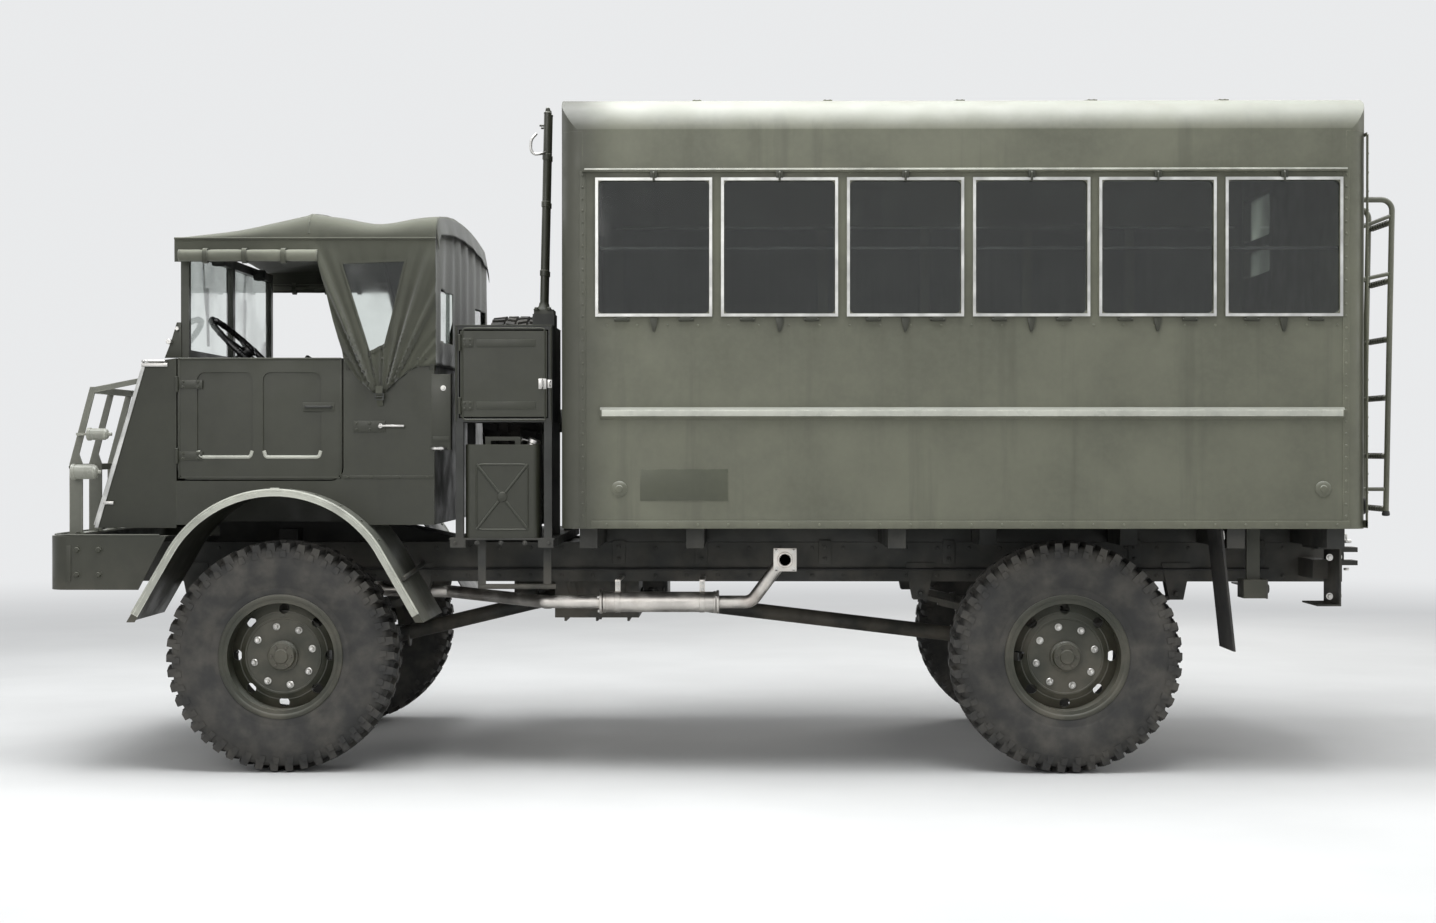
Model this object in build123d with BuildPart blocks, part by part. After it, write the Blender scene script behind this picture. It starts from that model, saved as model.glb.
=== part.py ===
from build123d import *
import os
from math import cos, radians, sin, sqrt, tan

# Military 4x4 truck: an open cab under a canvas hood, and a closed box body with six windows a side.
# X points forward, Y to the left and Z up, in millimetres.
# The origin is on the ground, in the middle of the truck's outline.

# Driving dimensions
wheelbase = 3600
front_overhang = 1068
rear_overhang = 1603
tyre_radius = 530
tyre_width = 290
track_half = 950
body_half_width = 1195
body_bottom = 1122
drip_rail_z = 2745
roof_edge_z = 3075
roof_crown_z = 3140
cab_half_width = 1000
rail_bottom = 840
rail_top = 1030

front_x = (wheelbase + rear_overhang - front_overhang) / 2
rear_x = front_x - wheelbase
axle_z = tyre_radius
panel_gap = 6

os.makedirs("parts", exist_ok=True)


def save(piece, name):
    piece.part.label = name
    export_step(piece.part, f"parts/{name}.step")


def side_plane(y):
    # a sketch in X and Z whose extrusion runs towards the right-hand side of the truck
    return Plane(origin=(0, y, 0), x_dir=(1, 0, 0), z_dir=(0, -1, 0))


def block(x, y, z, mode=Mode.ADD):
    # a box between two X, two Y and two Z values
    with Locations(((x[0] + x[1]) / 2, (y[0] + y[1]) / 2, (z[0] + z[1]) / 2)):
        Box(x[1] - x[0], y[1] - y[0], z[1] - z[0], mode=mode)


def rod(start, end, radius, mode=Mode.ADD):
    # a round bar between two points
    start, end = Vector(*start), Vector(*end)
    with BuildSketch(Plane(origin=start, z_dir=end - start)) as section:
        Circle(radius)
    extrude(section.sketch, amount=(end - start).length, mode=mode)


def side_shape(points, y_from, y_to, mode=Mode.ADD, corner=0):
    # an outline in X and Z, run from one Y to the other
    with BuildSketch(side_plane(max(y_from, y_to))) as outline:
        with BuildLine():
            Polyline(points, close=True)
        make_face()
        if corner:
            fillet(outline.vertices(), corner)
    extrude(outline.sketch, amount=abs(y_to - y_from), mode=mode)


# Wheels: a cross-ply tyre on a steel rim with a dished disc, brake drum, hub and cap.
# Lateral sizes are from the middle of the tyre, outwards.
rim_radius = 254
rim_half_width = 117
flange_radius = 285
flange_thickness = 12
barrel_thickness = 8
tread_half_width = 112
bead_half_width = rim_half_width - flange_thickness
sidewall = 24
tread_thickness = 38
spindle_radius = 45
hub_clearance = 0.5
spindle_end = 55
hub_inner_end = -50
drum_inner_end = -55
hub_outer_end = 64
hub_cap_radius = 58
hub_cap_end = 104
drum_radius = 205
drum_thickness = 15
disc_flat_radius = 178
disc_face = 52
disc_thickness = 12
hand_hole_radius = 24
hand_hole_count = 8
hand_hole_circle = 216
heel_rise = 36
wall_height = tyre_radius - rim_radius - heel_rise
shoulder_drop = wall_height * 31 / 120
belly_drop = wall_height * 11 / 16
tyre_rounding = 34


def wheel_plane(axle_x, side, lateral):
    # local x points outwards from the truck and local y up
    return Plane(origin=(axle_x, side * lateral, axle_z), x_dir=(0, side, 0), z_dir=(side, 0, 0))


def axle_line(axle_x):
    return Axis((axle_x, 0, axle_z), (0, 1, 0))


def tyre_section(half_width, tread_half, crown, bead_half, foot):
    shoulder, belly, heel = crown - shoulder_drop, crown - belly_drop, rim_radius + heel_rise
    half = [(tread_half, crown), (half_width, shoulder), (half_width, belly), (bead_half, heel)]
    half.append((bead_half, foot))
    with BuildLine() as outline:
        Polyline(half + [(-across, radius) for across, radius in reversed(half)], close=True)
    make_face(outline.edges())


def tyre(plane, axis):
    with BuildPart() as ring:
        with BuildSketch(plane) as section:
            tyre_section(tyre_width / 2, tread_half_width, tyre_radius, bead_half_width, rim_radius)
            fillet(section.vertices().filter_by(lambda v: v.Y > rim_radius + 50), tyre_rounding)
        revolve(axis=axis)
        with BuildSketch(plane):
            tyre_section(tyre_width / 2 - sidewall, tread_half_width - sidewall,
                         tyre_radius - tread_thickness, bead_half_width - sidewall, rim_radius - 2)
        revolve(axis=axis, mode=Mode.SUBTRACT)
    return ring


# Turned parts of the rim and hub: from, to, inner radius, outer radius
hub_radius = 70
hub_turnings = [
    (-bead_half_width, bead_half_width, rim_radius - barrel_thickness, rim_radius),
    (-rim_half_width, -bead_half_width, rim_radius - barrel_thickness, flange_radius),
    (bead_half_width, rim_half_width, rim_radius - barrel_thickness, flange_radius),
    (hub_inner_end, hub_outer_end, spindle_radius + hub_clearance, hub_radius),
    (hub_outer_end, hub_cap_end, 0, hub_cap_radius),
]
drum_turnings = [
    (drum_inner_end, disc_face - disc_thickness, drum_radius - drum_thickness, drum_radius),
    (disc_face - 2 * disc_thickness, disc_face - disc_thickness, hub_radius - 2, drum_radius),
]


def rim(plane, axis, with_hub=True):
    flat_inside = disc_face - disc_thickness
    disc = [(flat_inside, hub_radius - 4), (disc_face, hub_radius - 4), (disc_face, disc_flat_radius),
            (12, rim_radius - 4), (0, rim_radius - 4), (flat_inside, disc_flat_radius)]
    with BuildPart() as wheel:
        with BuildSketch(plane):
            with BuildLine():
                Polyline(disc, close=True)
            make_face()
            for start, end, inner, outer in hub_turnings[:5 if with_hub else 3]:
                with Locations(((start + end) / 2, (inner + outer) / 2)):
                    Rectangle(end - start, outer - inner)
            if with_hub:
                for start, end, inner, outer in drum_turnings:
                    with Locations(((start + end) / 2, (inner + outer) / 2)):
                        Rectangle(end - start, outer - inner)
        revolve(axis=axis)
        outward = Plane(origin=plane.origin, x_dir=(0, 0, 1) if abs(plane.x_dir.Z) < 0.5 else (0, 1, 0),
                        z_dir=plane.x_dir)
        with BuildSketch(outward):
            with PolarLocations(hand_hole_circle, hand_hole_count):
                Circle(hand_hole_radius)
        extrude(amount=disc_face + 5, mode=Mode.SUBTRACT)
    return wheel


corners = [("front_left", front_x, 1), ("front_right", front_x, -1),
           ("rear_left", rear_x, 1), ("rear_right", rear_x, -1)]
for corner_name, corner_x, side in corners:
    hub_plane = wheel_plane(corner_x, side, track_half)
    save(tyre(hub_plane, axle_line(corner_x)), f"{corner_name}_tyre")
    save(rim(hub_plane, axle_line(corner_x)), f"{corner_name}_rim")

# Driven front axle: a turned ball at each end carries a closed steering knuckle.
ball_radius = 95
ball_clearance = 3
knuckle_wall = 12
knuckle_radius = ball_radius + ball_clearance + knuckle_wall
cup_half_angle = 108
axle_tube_radius = 60
banjo_radius = 180
banjo_half_width = 190
banjo_crown_half = 95
banjo_rounding = 60
diff_y = -150
pinion_reach = 300
pinion_radius = 62
kingpin_radius = 19.5
kingpin_bore = 20
kingpin_inner = 72
kingpin_bore_end = 60
kingpin_boss_radius = 40
kingpin_boss_height = 12
backplate_gap = 2
backplate_thickness = 8
backplate_radius = 198
drum_gap = 5
spring_y = 395
spring_seat_top = axle_z + 85
spring_seat_half_length = 45
spring_seat_half_width = 35
steering_arm_length = 260
steering_arm_width = 48
steering_arm_thickness = 22
ball_stud_radius = 9.5
rod_eye_bore = 10
rod_eye_radius = 22
rod_eye_height = 34
tie_rod_radius = 16
arm_top = -knuckle_radius + 10
rod_eye_bottom = arm_top + 5
backplate_face = knuckle_radius + backplate_gap
kingpin_y = track_half + drum_inner_end - drum_gap - backplate_thickness - backplate_face
spindle_reach = track_half - kingpin_y + spindle_end


def axle_casing(axle_x, tube_end, pinion_side):
    # the banjo casing, its tubes and the pinion nose, turned about the axle's line
    along = Plane(origin=(axle_x, 0, axle_z), x_dir=(0, 1, 0), z_dir=(1, 0, 0))
    with BuildSketch(along) as tube:
        with Locations((0, axle_tube_radius / 2)):
            Rectangle(2 * tube_end, axle_tube_radius)
    revolve(tube.sketch, axis=axle_line(axle_x))
    banjo_left, banjo_right = diff_y - banjo_half_width, diff_y + banjo_half_width
    banjo_foot = axle_tube_radius - 5
    with BuildSketch(along) as banjo:
        with BuildLine():
            FilletPolyline((banjo_left, banjo_foot), (diff_y - banjo_crown_half, banjo_radius),
                           (diff_y + banjo_crown_half, banjo_radius), (banjo_right, banjo_foot),
                           radius=banjo_rounding)
            Polyline((banjo_right, banjo_foot), (banjo_right, 0), (banjo_left, 0), (banjo_left, banjo_foot))
        make_face()
    revolve(banjo.sketch, axis=axle_line(axle_x))
    rod((axle_x, diff_y, axle_z), (axle_x + pinion_side * pinion_reach, diff_y, axle_z), pinion_radius)
    for y in (spring_y, -spring_y):
        block((axle_x - spring_seat_half_length, axle_x + spring_seat_half_length),
              (y - spring_seat_half_width, y + spring_seat_half_width), (axle_z, spring_seat_top))


with BuildPart() as front_axle:
    axle_casing(front_x, kingpin_y - ball_radius / 2, -1)
    for side in (1, -1):
        with Locations((front_x, side * kingpin_y, axle_z)):
            Sphere(ball_radius)
        for up in (1, -1):
            rod((front_x, side * kingpin_y, axle_z + up * kingpin_bore_end),
                (front_x, side * kingpin_y, axle_z + up * (ball_radius + 5)), kingpin_bore,
                mode=Mode.SUBTRACT)
save(front_axle, "front_axle")

rear_flange_y = kingpin_y + backplate_face
with BuildPart() as rear_axle:
    axle_casing(rear_x, rear_flange_y, 1)
    for side in (1, -1):
        rod((rear_x, side * rear_flange_y, axle_z),
            (rear_x, side * (rear_flange_y + backplate_thickness), axle_z), backplate_radius)
        rod((rear_x, side * rear_flange_y, axle_z), (rear_x, side * (track_half + spindle_end), axle_z),
            spindle_radius)
save(rear_axle, "rear_axle")

for side, knuckle_name in ((1, "left_knuckle"), (-1, "right_knuckle")):
    pivot = (front_x, side * kingpin_y)
    with BuildPart() as knuckle:
        with BuildSketch(wheel_plane(front_x, side, kingpin_y)):
            Circle(knuckle_radius)
            Circle(knuckle_radius - knuckle_wall, mode=Mode.SUBTRACT)
            reach = 2 * knuckle_radius
            back = -reach * tan(radians(cup_half_angle - 90))
            with BuildLine():
                Polyline((0, 0), (reach, 0), (reach, reach), (back, reach), close=True)
            make_face(mode=Mode.INTERSECT)
        revolve(axis=axle_line(front_x))
        rod((front_x, side * (kingpin_y + knuckle_radius - 6), axle_z),
            (front_x, side * (kingpin_y + backplate_face), axle_z), hub_radius)
        plate_y = kingpin_y + backplate_face
        rod((front_x, side * plate_y, axle_z),
            (front_x, side * (plate_y + backplate_thickness), axle_z), backplate_radius)
        rod((front_x, side * plate_y, axle_z),
            (front_x, side * (kingpin_y + spindle_reach), axle_z), spindle_radius)
        for up in (1, -1):
            rod((*pivot, axle_z + up * kingpin_inner), (*pivot, axle_z + up * knuckle_radius),
                kingpin_radius)
            rod((*pivot, axle_z + up * (knuckle_radius - 10)),
                (*pivot, axle_z + up * (knuckle_radius + kingpin_boss_height)), kingpin_boss_radius)
        with BuildSketch(Plane.XY.offset(axle_z + arm_top - steering_arm_thickness)):
            with Locations((front_x - steering_arm_length / 2, side * kingpin_y)):
                SlotCenterToCenter(steering_arm_length, steering_arm_width)
        extrude(amount=steering_arm_thickness)
        stud = (front_x - steering_arm_length, side * kingpin_y)
        rod((*stud, axle_z + arm_top), (*stud, axle_z + rod_eye_bottom + rod_eye_height + 6),
            ball_stud_radius)
    save(knuckle, knuckle_name)

# The tie rod joins the two steering arms behind the axle.
rod_x = front_x - steering_arm_length
with BuildPart() as tie_rod:
    rod_z = axle_z + rod_eye_bottom + rod_eye_height / 2
    rod((rod_x, -kingpin_y, rod_z), (rod_x, kingpin_y, rod_z), tie_rod_radius)
    for side in (1, -1):
        for radius, mode in ((rod_eye_radius, Mode.ADD), (rod_eye_bore, Mode.SUBTRACT)):
            rod((rod_x, side * kingpin_y, rod_z - rod_eye_height / 2),
                (rod_x, side * kingpin_y, rod_z + rod_eye_height / 2), radius, mode=mode)
save(tie_rod, "tie_rod")

# Leaf springs: concentric leaves that get shorter downwards, with an eye at each end of the top leaf.
leaf_thickness = 11
leaf_shares = [1, 1, 0.86, 0.72, 0.57, 0.42, 0.28]
spring_width = 62
spring_eye_radius = 26
eye_pin_radius = 12
hanger_plate = 8
hanger_top_half = 70
hanger_foot_half = 34
hanger_lap = 90
hanger_drop = 30
spring_camber = 90
# Each axle's place and half the length of its springs
springs = [(front_x, 550), (rear_x, 620)]
pack_height = leaf_thickness * len(leaf_shares)
eye_z = spring_seat_top + pack_height + spring_camber

with BuildPart() as leaf_springs:
    for spring_x, half_length in springs:
        curve = (half_length ** 2 + spring_camber ** 2) / (2 * spring_camber)
        centre_z = spring_seat_top + pack_height + curve
        for side in (1, -1):
            for leaf, share in enumerate(leaf_shares):
                with BuildSketch(side_plane(side * spring_y + spring_width / 2)):
                    with Locations((spring_x, centre_z)):
                        Circle(curve + (leaf + 1) * leaf_thickness)
                        Circle(curve + leaf * leaf_thickness, mode=Mode.SUBTRACT)
                    with Locations((spring_x, spring_seat_top)):
                        Rectangle(2 * half_length * share, half_length, mode=Mode.INTERSECT)
                extrude(amount=spring_width)
            for end in (1, -1):
                eye_x = spring_x + end * half_length
                rod((eye_x, side * spring_y - spring_width / 2, eye_z),
                    (eye_x, side * spring_y + spring_width / 2, eye_z), spring_eye_radius)
save(leaf_springs, "leaf_springs")

# Chassis: two channel rails with spring hangers, and the cross members between them
rail_inner = 360
rail_outer = 430
rail_web = 8
bumper_thickness = 8
bumper_x = front_x + front_overhang
rail_front = bumper_x - bumper_thickness
rail_rear = rear_x - rear_overhang + 180

with BuildPart() as frame_rails:
    for side in (1, -1):
        with BuildSketch(Plane.YZ.offset(rail_rear)):
            with Locations((side * (rail_inner + rail_outer) / 2, (rail_bottom + rail_top) / 2)):
                Rectangle(rail_outer - rail_inner, rail_top - rail_bottom)
            with Locations((side * ((rail_inner + rail_outer) / 2 - rail_web), (rail_bottom + rail_top) / 2)):
                Rectangle(rail_outer - rail_inner, rail_top - rail_bottom - 2 * rail_web,
                          mode=Mode.SUBTRACT)
        extrude(amount=rail_front - rail_rear)
        for spring_x, half_length in springs:
            for end in (1, -1):
                eye_x = spring_x + end * half_length
                for y in (rail_inner - hanger_plate, rail_outer):
                    with BuildSketch(side_plane(side * y + (hanger_plate if side > 0 else 0))):
                        with BuildLine():
                            Polyline((eye_x - hanger_top_half, rail_bottom + hanger_lap),
                                     (eye_x + hanger_top_half, rail_bottom + hanger_lap),
                                     (eye_x + hanger_foot_half, eye_z - hanger_drop),
                                     (eye_x - hanger_foot_half, eye_z - hanger_drop), close=True)
                        make_face()
                    extrude(amount=hanger_plate)
                rod((eye_x, side * (rail_inner - hanger_plate), eye_z),
                    (eye_x, side * (spring_y - spring_width / 2), eye_z), eye_pin_radius)
                rod((eye_x, side * (spring_y + spring_width / 2), eye_z),
                    (eye_x, side * (rail_outer + hanger_plate), eye_z), eye_pin_radius)
save(frame_rails, "frame_rails")

# Cross members: place along the truck, depth in X, height and middle height
rail_middle = (rail_bottom + rail_top) / 2
member_places = [
    (rail_front - 80, 70, 150, rail_middle),
    (front_x + 680, 70, 90, rail_middle),
    (front_x - 880, 80, 48, rail_bottom + 34),
    (rear_x + 900, 80, 120, rail_middle),
    (rear_x + 300, 80, 120, rail_middle),
    (rear_x - 480, 80, 120, rail_middle),
    (rail_rear + 45, 90, 174, rail_middle),
]
member_half = rail_outer - rail_web
member_web = 10
with BuildPart() as frame_crossmembers:
    for member_x, depth, height, middle_z in member_places:
        with BuildSketch(side_plane(member_half)):
            with Locations((member_x, middle_z)):
                Rectangle(depth, height)
            with Locations((member_x + member_web, middle_z)):
                Rectangle(depth, height - 2 * member_web, mode=Mode.SUBTRACT)
        extrude(amount=2 * member_half)
save(frame_crossmembers, "frame_crossmembers")

# Engine, as one plain block, and the gearbox, transfer case and propeller shafts
engine_front = front_x + 470
engine_rear = front_x - 300
engine_half_width = 245
engine_bottom = 870
engine_top = 1600
mount_x = (front_x + 60, front_x + 150)
mount_y = 300
mount_half = 60
mount_height = 60
with BuildPart() as engine:
    block((engine_rear, engine_front), (-engine_half_width, engine_half_width), (engine_bottom, engine_top))
    for side in (1, -1):
        block(mount_x, (side * mount_y - mount_half, side * mount_y + mount_half),
              (rail_top, rail_top + mount_height))
save(engine, "engine")

gearbox_rear = engine_rear - 480
gearbox_ends = [(engine_rear, 360, 270, 990), (gearbox_rear, 240, 160, 945)]
case_y = (-300, 120)
case_z = (640, 1020)
output_z = 960
transfer_front = front_x - 1180
transfer_rear = transfer_front - 420
transfer_z = 720
yoke_radius = 42
yoke_length = 60
shaft_radius = 38
front_pinion_x = front_x - pinion_reach
rear_pinion_x = rear_x + pinion_reach
with BuildPart() as driveline:
    for end_x, width, height, middle_z in gearbox_ends:
        with BuildSketch(Plane.YZ.offset(end_x)):
            with Locations((0, middle_z)):
                Rectangle(width, height)
    loft(ruled=True)
    rod((gearbox_rear, 0, output_z), (transfer_front, 0, output_z), shaft_radius)
    block((transfer_rear, transfer_front), case_y, case_z)
    for start, end in ((transfer_front, front_pinion_x), (transfer_rear, rear_pinion_x)):
        toward = 1 if end > start else -1
        rod((start, diff_y, transfer_z), (start + toward * yoke_length, diff_y, transfer_z), yoke_radius)
        rod((end, diff_y, axle_z), (end - toward * yoke_length, diff_y, axle_z), yoke_radius)
        rod((start + toward * (yoke_length - 15), diff_y, transfer_z),
            (end - toward * (yoke_length - 15), diff_y, axle_z), shaft_radius)
save(driveline, "driveline")

# Exhaust on the left: silencer under the body, tail pipe bent outwards to a square flange
exhaust_y = 800
exhaust_z = 765
exhaust_pipe_radius = 30
silencer_radius = 48
silencer_front = front_x - 1472
silencer_rear = front_x - 1988
tail_flange_x = front_x - 2311
tail_flange_y = 1060
tail_flange_z = 975
tail_flange_size = 105
tail_flange_thickness = 12
strap_half = 12
strap_thickness = 8
strap_inset = 60
manifold_x = front_x - 240
manifold_z = 1000
down_pipe_y = 300
pipe_points = [(manifold_x, engine_half_width, manifold_z), (manifold_x, down_pipe_y, manifold_z),
               (front_x - 330, down_pipe_y, 790), (front_x - 680, down_pipe_y, 782),
               (front_x - 1190, exhaust_y, exhaust_z), (silencer_front - 5, exhaust_y, exhaust_z)]
tail_points = [(silencer_rear + 5, exhaust_y, exhaust_z), (silencer_rear - 170, exhaust_y, exhaust_z),
               (tail_flange_x, exhaust_y + 70, tail_flange_z),
               (tail_flange_x, tail_flange_y - 6, tail_flange_z)]
with BuildPart() as exhaust:
    with BuildLine() as front_run:
        FilletPolyline(pipe_points, radius=45)
    with BuildSketch(Plane(origin=front_run.line @ 0, z_dir=front_run.line % 0)):
        Circle(exhaust_pipe_radius)
    sweep(path=front_run.line)
    with BuildLine() as tail_run:
        FilletPolyline(tail_points, radius=60)
    with BuildSketch(Plane(origin=tail_run.line @ 0, z_dir=tail_run.line % 0)):
        Circle(exhaust_pipe_radius)
    sweep(path=tail_run.line)
    rod((silencer_rear, exhaust_y, exhaust_z), (silencer_front, exhaust_y, exhaust_z), silencer_radius)
    block((tail_flange_x - tail_flange_size / 2, tail_flange_x + tail_flange_size / 2),
          (tail_flange_y - tail_flange_thickness, tail_flange_y),
          (tail_flange_z - tail_flange_size / 2, tail_flange_z + tail_flange_size / 2))
    rod((tail_flange_x, tail_flange_y - 60, tail_flange_z), (tail_flange_x, tail_flange_y, tail_flange_z),
        exhaust_pipe_radius - 4, mode=Mode.SUBTRACT)
    # hanger straps from the silencer to the left rail
    for strap_x in (silencer_front - strap_inset, silencer_rear + strap_inset):
        strap_span = (strap_x - strap_half, strap_x + strap_half)
        block(strap_span, (rail_outer, exhaust_y), (rail_bottom + 20, rail_bottom + 20 + strap_thickness))
        block(strap_span, (exhaust_y - strap_thickness, exhaust_y),
              (exhaust_z, rail_bottom + 20 + strap_thickness))
save(exhaust, "exhaust")

# Fuel tank on two brackets from the right rail
tank_front = front_x - 900
tank_length = 820
tank_y = (-1080, -640)
tank_z = (660, 1000)
tank_corner = 60
tank_bracket_inset = 150
tank_bracket_half = 30
with BuildPart() as fuel_tank:
    side_shape([(tank_front - tank_length, tank_z[0]), (tank_front, tank_z[0]),
                (tank_front, tank_z[1]), (tank_front - tank_length, tank_z[1])], tank_y[0], tank_y[1])
    fillet(fuel_tank.edges().filter_by(Axis.X), tank_corner)
    for bracket_x in (tank_front - tank_bracket_inset, tank_front - tank_length + tank_bracket_inset):
        block((bracket_x - tank_bracket_half, bracket_x + tank_bracket_half),
              (tank_y[1] - 40, -rail_outer), (rail_bottom + 30, rail_bottom + 90))
save(fuel_tank, "fuel_tank")

# Bumper: a rolled channel that wraps round both corners, its ends cut parallel to the mudguards
bumper_half_width = 1080
bumper_bottom = 837
bumper_top = 1084
bumper_corner = 90
bumper_flange = 55
bumper_end_top = front_x + 520
bumper_end_bottom = front_x + 651


def bumper_outline(inset, mode=Mode.ADD):
    back, half = front_x, bumper_half_width - inset
    with BuildLine() as outline:
        FilletPolyline((back, -half), (bumper_x - inset, -half), (bumper_x - inset, half), (back, half),
                       radius=max(bumper_corner - inset, 5))
        Line((back, half), (back, -half))
    make_face(outline.edges(), mode=mode)


with BuildPart() as front_bumper:
    with BuildSketch(Plane.XY.offset(bumper_bottom)):
        bumper_outline(0)
        bumper_outline(bumper_thickness, mode=Mode.SUBTRACT)
    extrude(amount=bumper_top - bumper_bottom)
    with BuildSketch(Plane.XY.offset(bumper_top - bumper_thickness)):
        bumper_outline(0)
        bumper_outline(bumper_flange, mode=Mode.SUBTRACT)
    extrude(amount=bumper_thickness)
    side_shape([(front_x - 10, bumper_bottom - 10), (bumper_end_bottom + 5, bumper_bottom - 10),
                (bumper_end_top - 5, bumper_top + 10), (front_x - 10, bumper_top + 10)],
               -bumper_half_width - 5, bumper_half_width + 5, mode=Mode.SUBTRACT)
save(front_bumper, "front_bumper")

# Nose of the cab: its front slopes back from the bumper to the windscreen.
cowl_x = front_x + 494
nose_bottom = 1118
nose_bottom_x = front_x + 889
nose_top_x = front_x + 656
nose_top_z = 1880
cowl_top_z = 1901
nose_front_half_width = 940
nose_wall = 25
lid_half_width = 780
lid_rear_x = front_x + 505
lid_low_z = 1700
grille_half_width = 620
grille_low = 65
grille_height = 500
dash_bottom = 1830
dash_depth = 54
dash_half_width = 952


def nose_solid(inset, mode=Mode.ADD):
    slope = (nose_bottom_x - nose_top_x) / (nose_top_z - nose_bottom)
    back = inset * sqrt(1 + slope ** 2)
    top_drop = inset
    low_x = nose_bottom_x - back - slope * inset
    high_x = nose_top_x - back + slope * top_drop
    rear = cowl_x if inset == 0 else cowl_x - 10
    side_shape([(rear, nose_bottom + inset), (low_x, nose_bottom + inset),
                (high_x, nose_top_z - top_drop), (rear, cowl_top_z - top_drop)],
               -cab_half_width, cab_half_width, mode=mode)


def nose_plan(inset):
    rear = cowl_x - 20
    with BuildSketch(Plane.XY.offset(nose_bottom - 50)) as plan:
        with BuildLine():
            Polyline((rear, cab_half_width - inset), (cowl_x, cab_half_width - inset),
                     (nose_bottom_x + 5, nose_front_half_width - inset),
                     (nose_bottom_x + 5, -nose_front_half_width + inset),
                     (cowl_x, -cab_half_width + inset), (rear, -cab_half_width + inset), close=True)
        make_face()
    extrude(plan.sketch, amount=cowl_top_z - nose_bottom + 100, mode=Mode.INTERSECT)


nose_face = Plane(origin=(nose_bottom_x, 0, nose_bottom), x_dir=(0, 1, 0),
                  z_dir=(nose_top_z - nose_bottom, 0, nose_bottom_x - nose_top_x))

with BuildPart() as nose_cavity:
    nose_solid(nose_wall)
    nose_plan(nose_wall)


def lid_region(gap):
    side_shape([(lid_rear_x + gap, 1800), (lid_rear_x + gap, 1960), (front_x + 800, 1960),
                (front_x + 800, lid_low_z + gap), (front_x + 600, lid_low_z + gap), (front_x + 600, 1800)],
               -lid_half_width + gap, lid_half_width - gap)


with BuildPart() as lid_hole:
    lid_region(0)

with BuildPart() as nose_shell:
    nose_solid(0)
    nose_plan(0)
    fillet(nose_shell.edges().filter_by(Axis.Y).sort_by(Axis.Z)[-2], 30)
    add(nose_cavity.part, mode=Mode.SUBTRACT)
    block((cowl_x - dash_depth, cowl_x), (-dash_half_width, dash_half_width), (dash_bottom, cowl_top_z))
    add(lid_hole.part, mode=Mode.SUBTRACT)
    with BuildSketch(nose_face):
        with Locations((0, grille_low + grille_height / 2)):
            Rectangle(2 * grille_half_width, grille_height)
    extrude(amount=-nose_wall - 5, mode=Mode.SUBTRACT)
save(nose_shell, "nose_shell")

with BuildPart() as lid_block:
    lid_region(panel_gap)

with BuildPart() as bonnet:
    nose_solid(0)
    nose_plan(0)
    fillet(bonnet.edges().filter_by(Axis.Y).sort_by(Axis.Z)[-2], 30)
    add(nose_cavity.part, mode=Mode.SUBTRACT)
    add(lid_block.part, mode=Mode.INTERSECT)
save(bonnet, "bonnet")

slat_count = 15
slat_slot_width = 42
grille_thickness = 14
with BuildPart() as grille:
    with BuildSketch(nose_face.offset(-grille_thickness - 4)):
        with Locations((0, grille_low + grille_height / 2)):
            Rectangle(2 * grille_half_width, grille_height)
            with GridLocations(2 * (grille_half_width - 35) / slat_count, 0, slat_count, 1):
                SlotOverall(grille_height - 90, slat_slot_width, rotation=90, mode=Mode.SUBTRACT)
    extrude(amount=grille_thickness)
save(grille, "grille")

radiator_rear = front_x + 560
radiator_depth = 80
radiator_half_width = 320
radiator_top = 1640
with BuildPart() as radiator:
    block((radiator_rear, radiator_rear + radiator_depth), (-radiator_half_width, radiator_half_width),
          (nose_bottom + nose_wall, radiator_top))
save(radiator, "radiator")

# Brush guard: flat uprights on edge, bent back above the lamps, tied by three rails
guard_rear_low = front_x + 948
guard_front = front_x + 1008
guard_bend_z = 1413
guard_top_x = front_x + 912
guard_top_z = 1771
guard_band = 28
guard_plate = 12
guard_half_width = 930
guard_pitch = 310
guard_rail_height = 30
guard_foot = 8
strap_z = 1800
strap_nose_x = nose_top_x + (nose_top_z - strap_z) * (nose_bottom_x - nose_top_x) / (nose_top_z - nose_bottom)
with BuildPart() as brush_guard:
    for step in range(-3, 4):
        y = step * guard_pitch
        side_shape([(guard_rear_low, bumper_top), (guard_front, bumper_top), (guard_front, guard_bend_z),
                    (guard_top_x, guard_top_z), (guard_top_x - guard_band, guard_top_z),
                    (guard_front - 44, guard_bend_z + 45), (guard_rear_low, guard_bend_z)],
                   y - guard_plate / 2, y + guard_plate / 2)
    guard_y = (-guard_half_width, guard_half_width)
    for x, top in ((guard_front - guard_band, guard_bend_z), (guard_top_x - guard_band + 6, guard_top_z)):
        block((x, x + guard_band - 6), guard_y, (top - guard_rail_height, top))
    block((guard_rear_low, guard_front), guard_y, (bumper_top, bumper_top + guard_foot))
    for side in (1, -1):
        y = side * guard_half_width
        strap_x = guard_top_x - guard_band + 5
        side_shape([(strap_x, guard_top_z - 26), (strap_x, guard_top_z),
                    (strap_nose_x, strap_z + 12), (strap_nose_x + 8, strap_z - 14)],
                   y - guard_plate / 2, y + guard_plate / 2)
save(brush_guard, "brush_guard")

# Head lamps let into the nose, and two small lamps on arms outside each end of the brush guard
lamp_y = 790
lamp_up = 275
lamp_radius = 92
bezel_depth = 8
lens_radius = 80
lens_depth = 16
small_lamp_y = 975
arm_half_height = 6
guard_side = guard_half_width + guard_plate / 2
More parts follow.
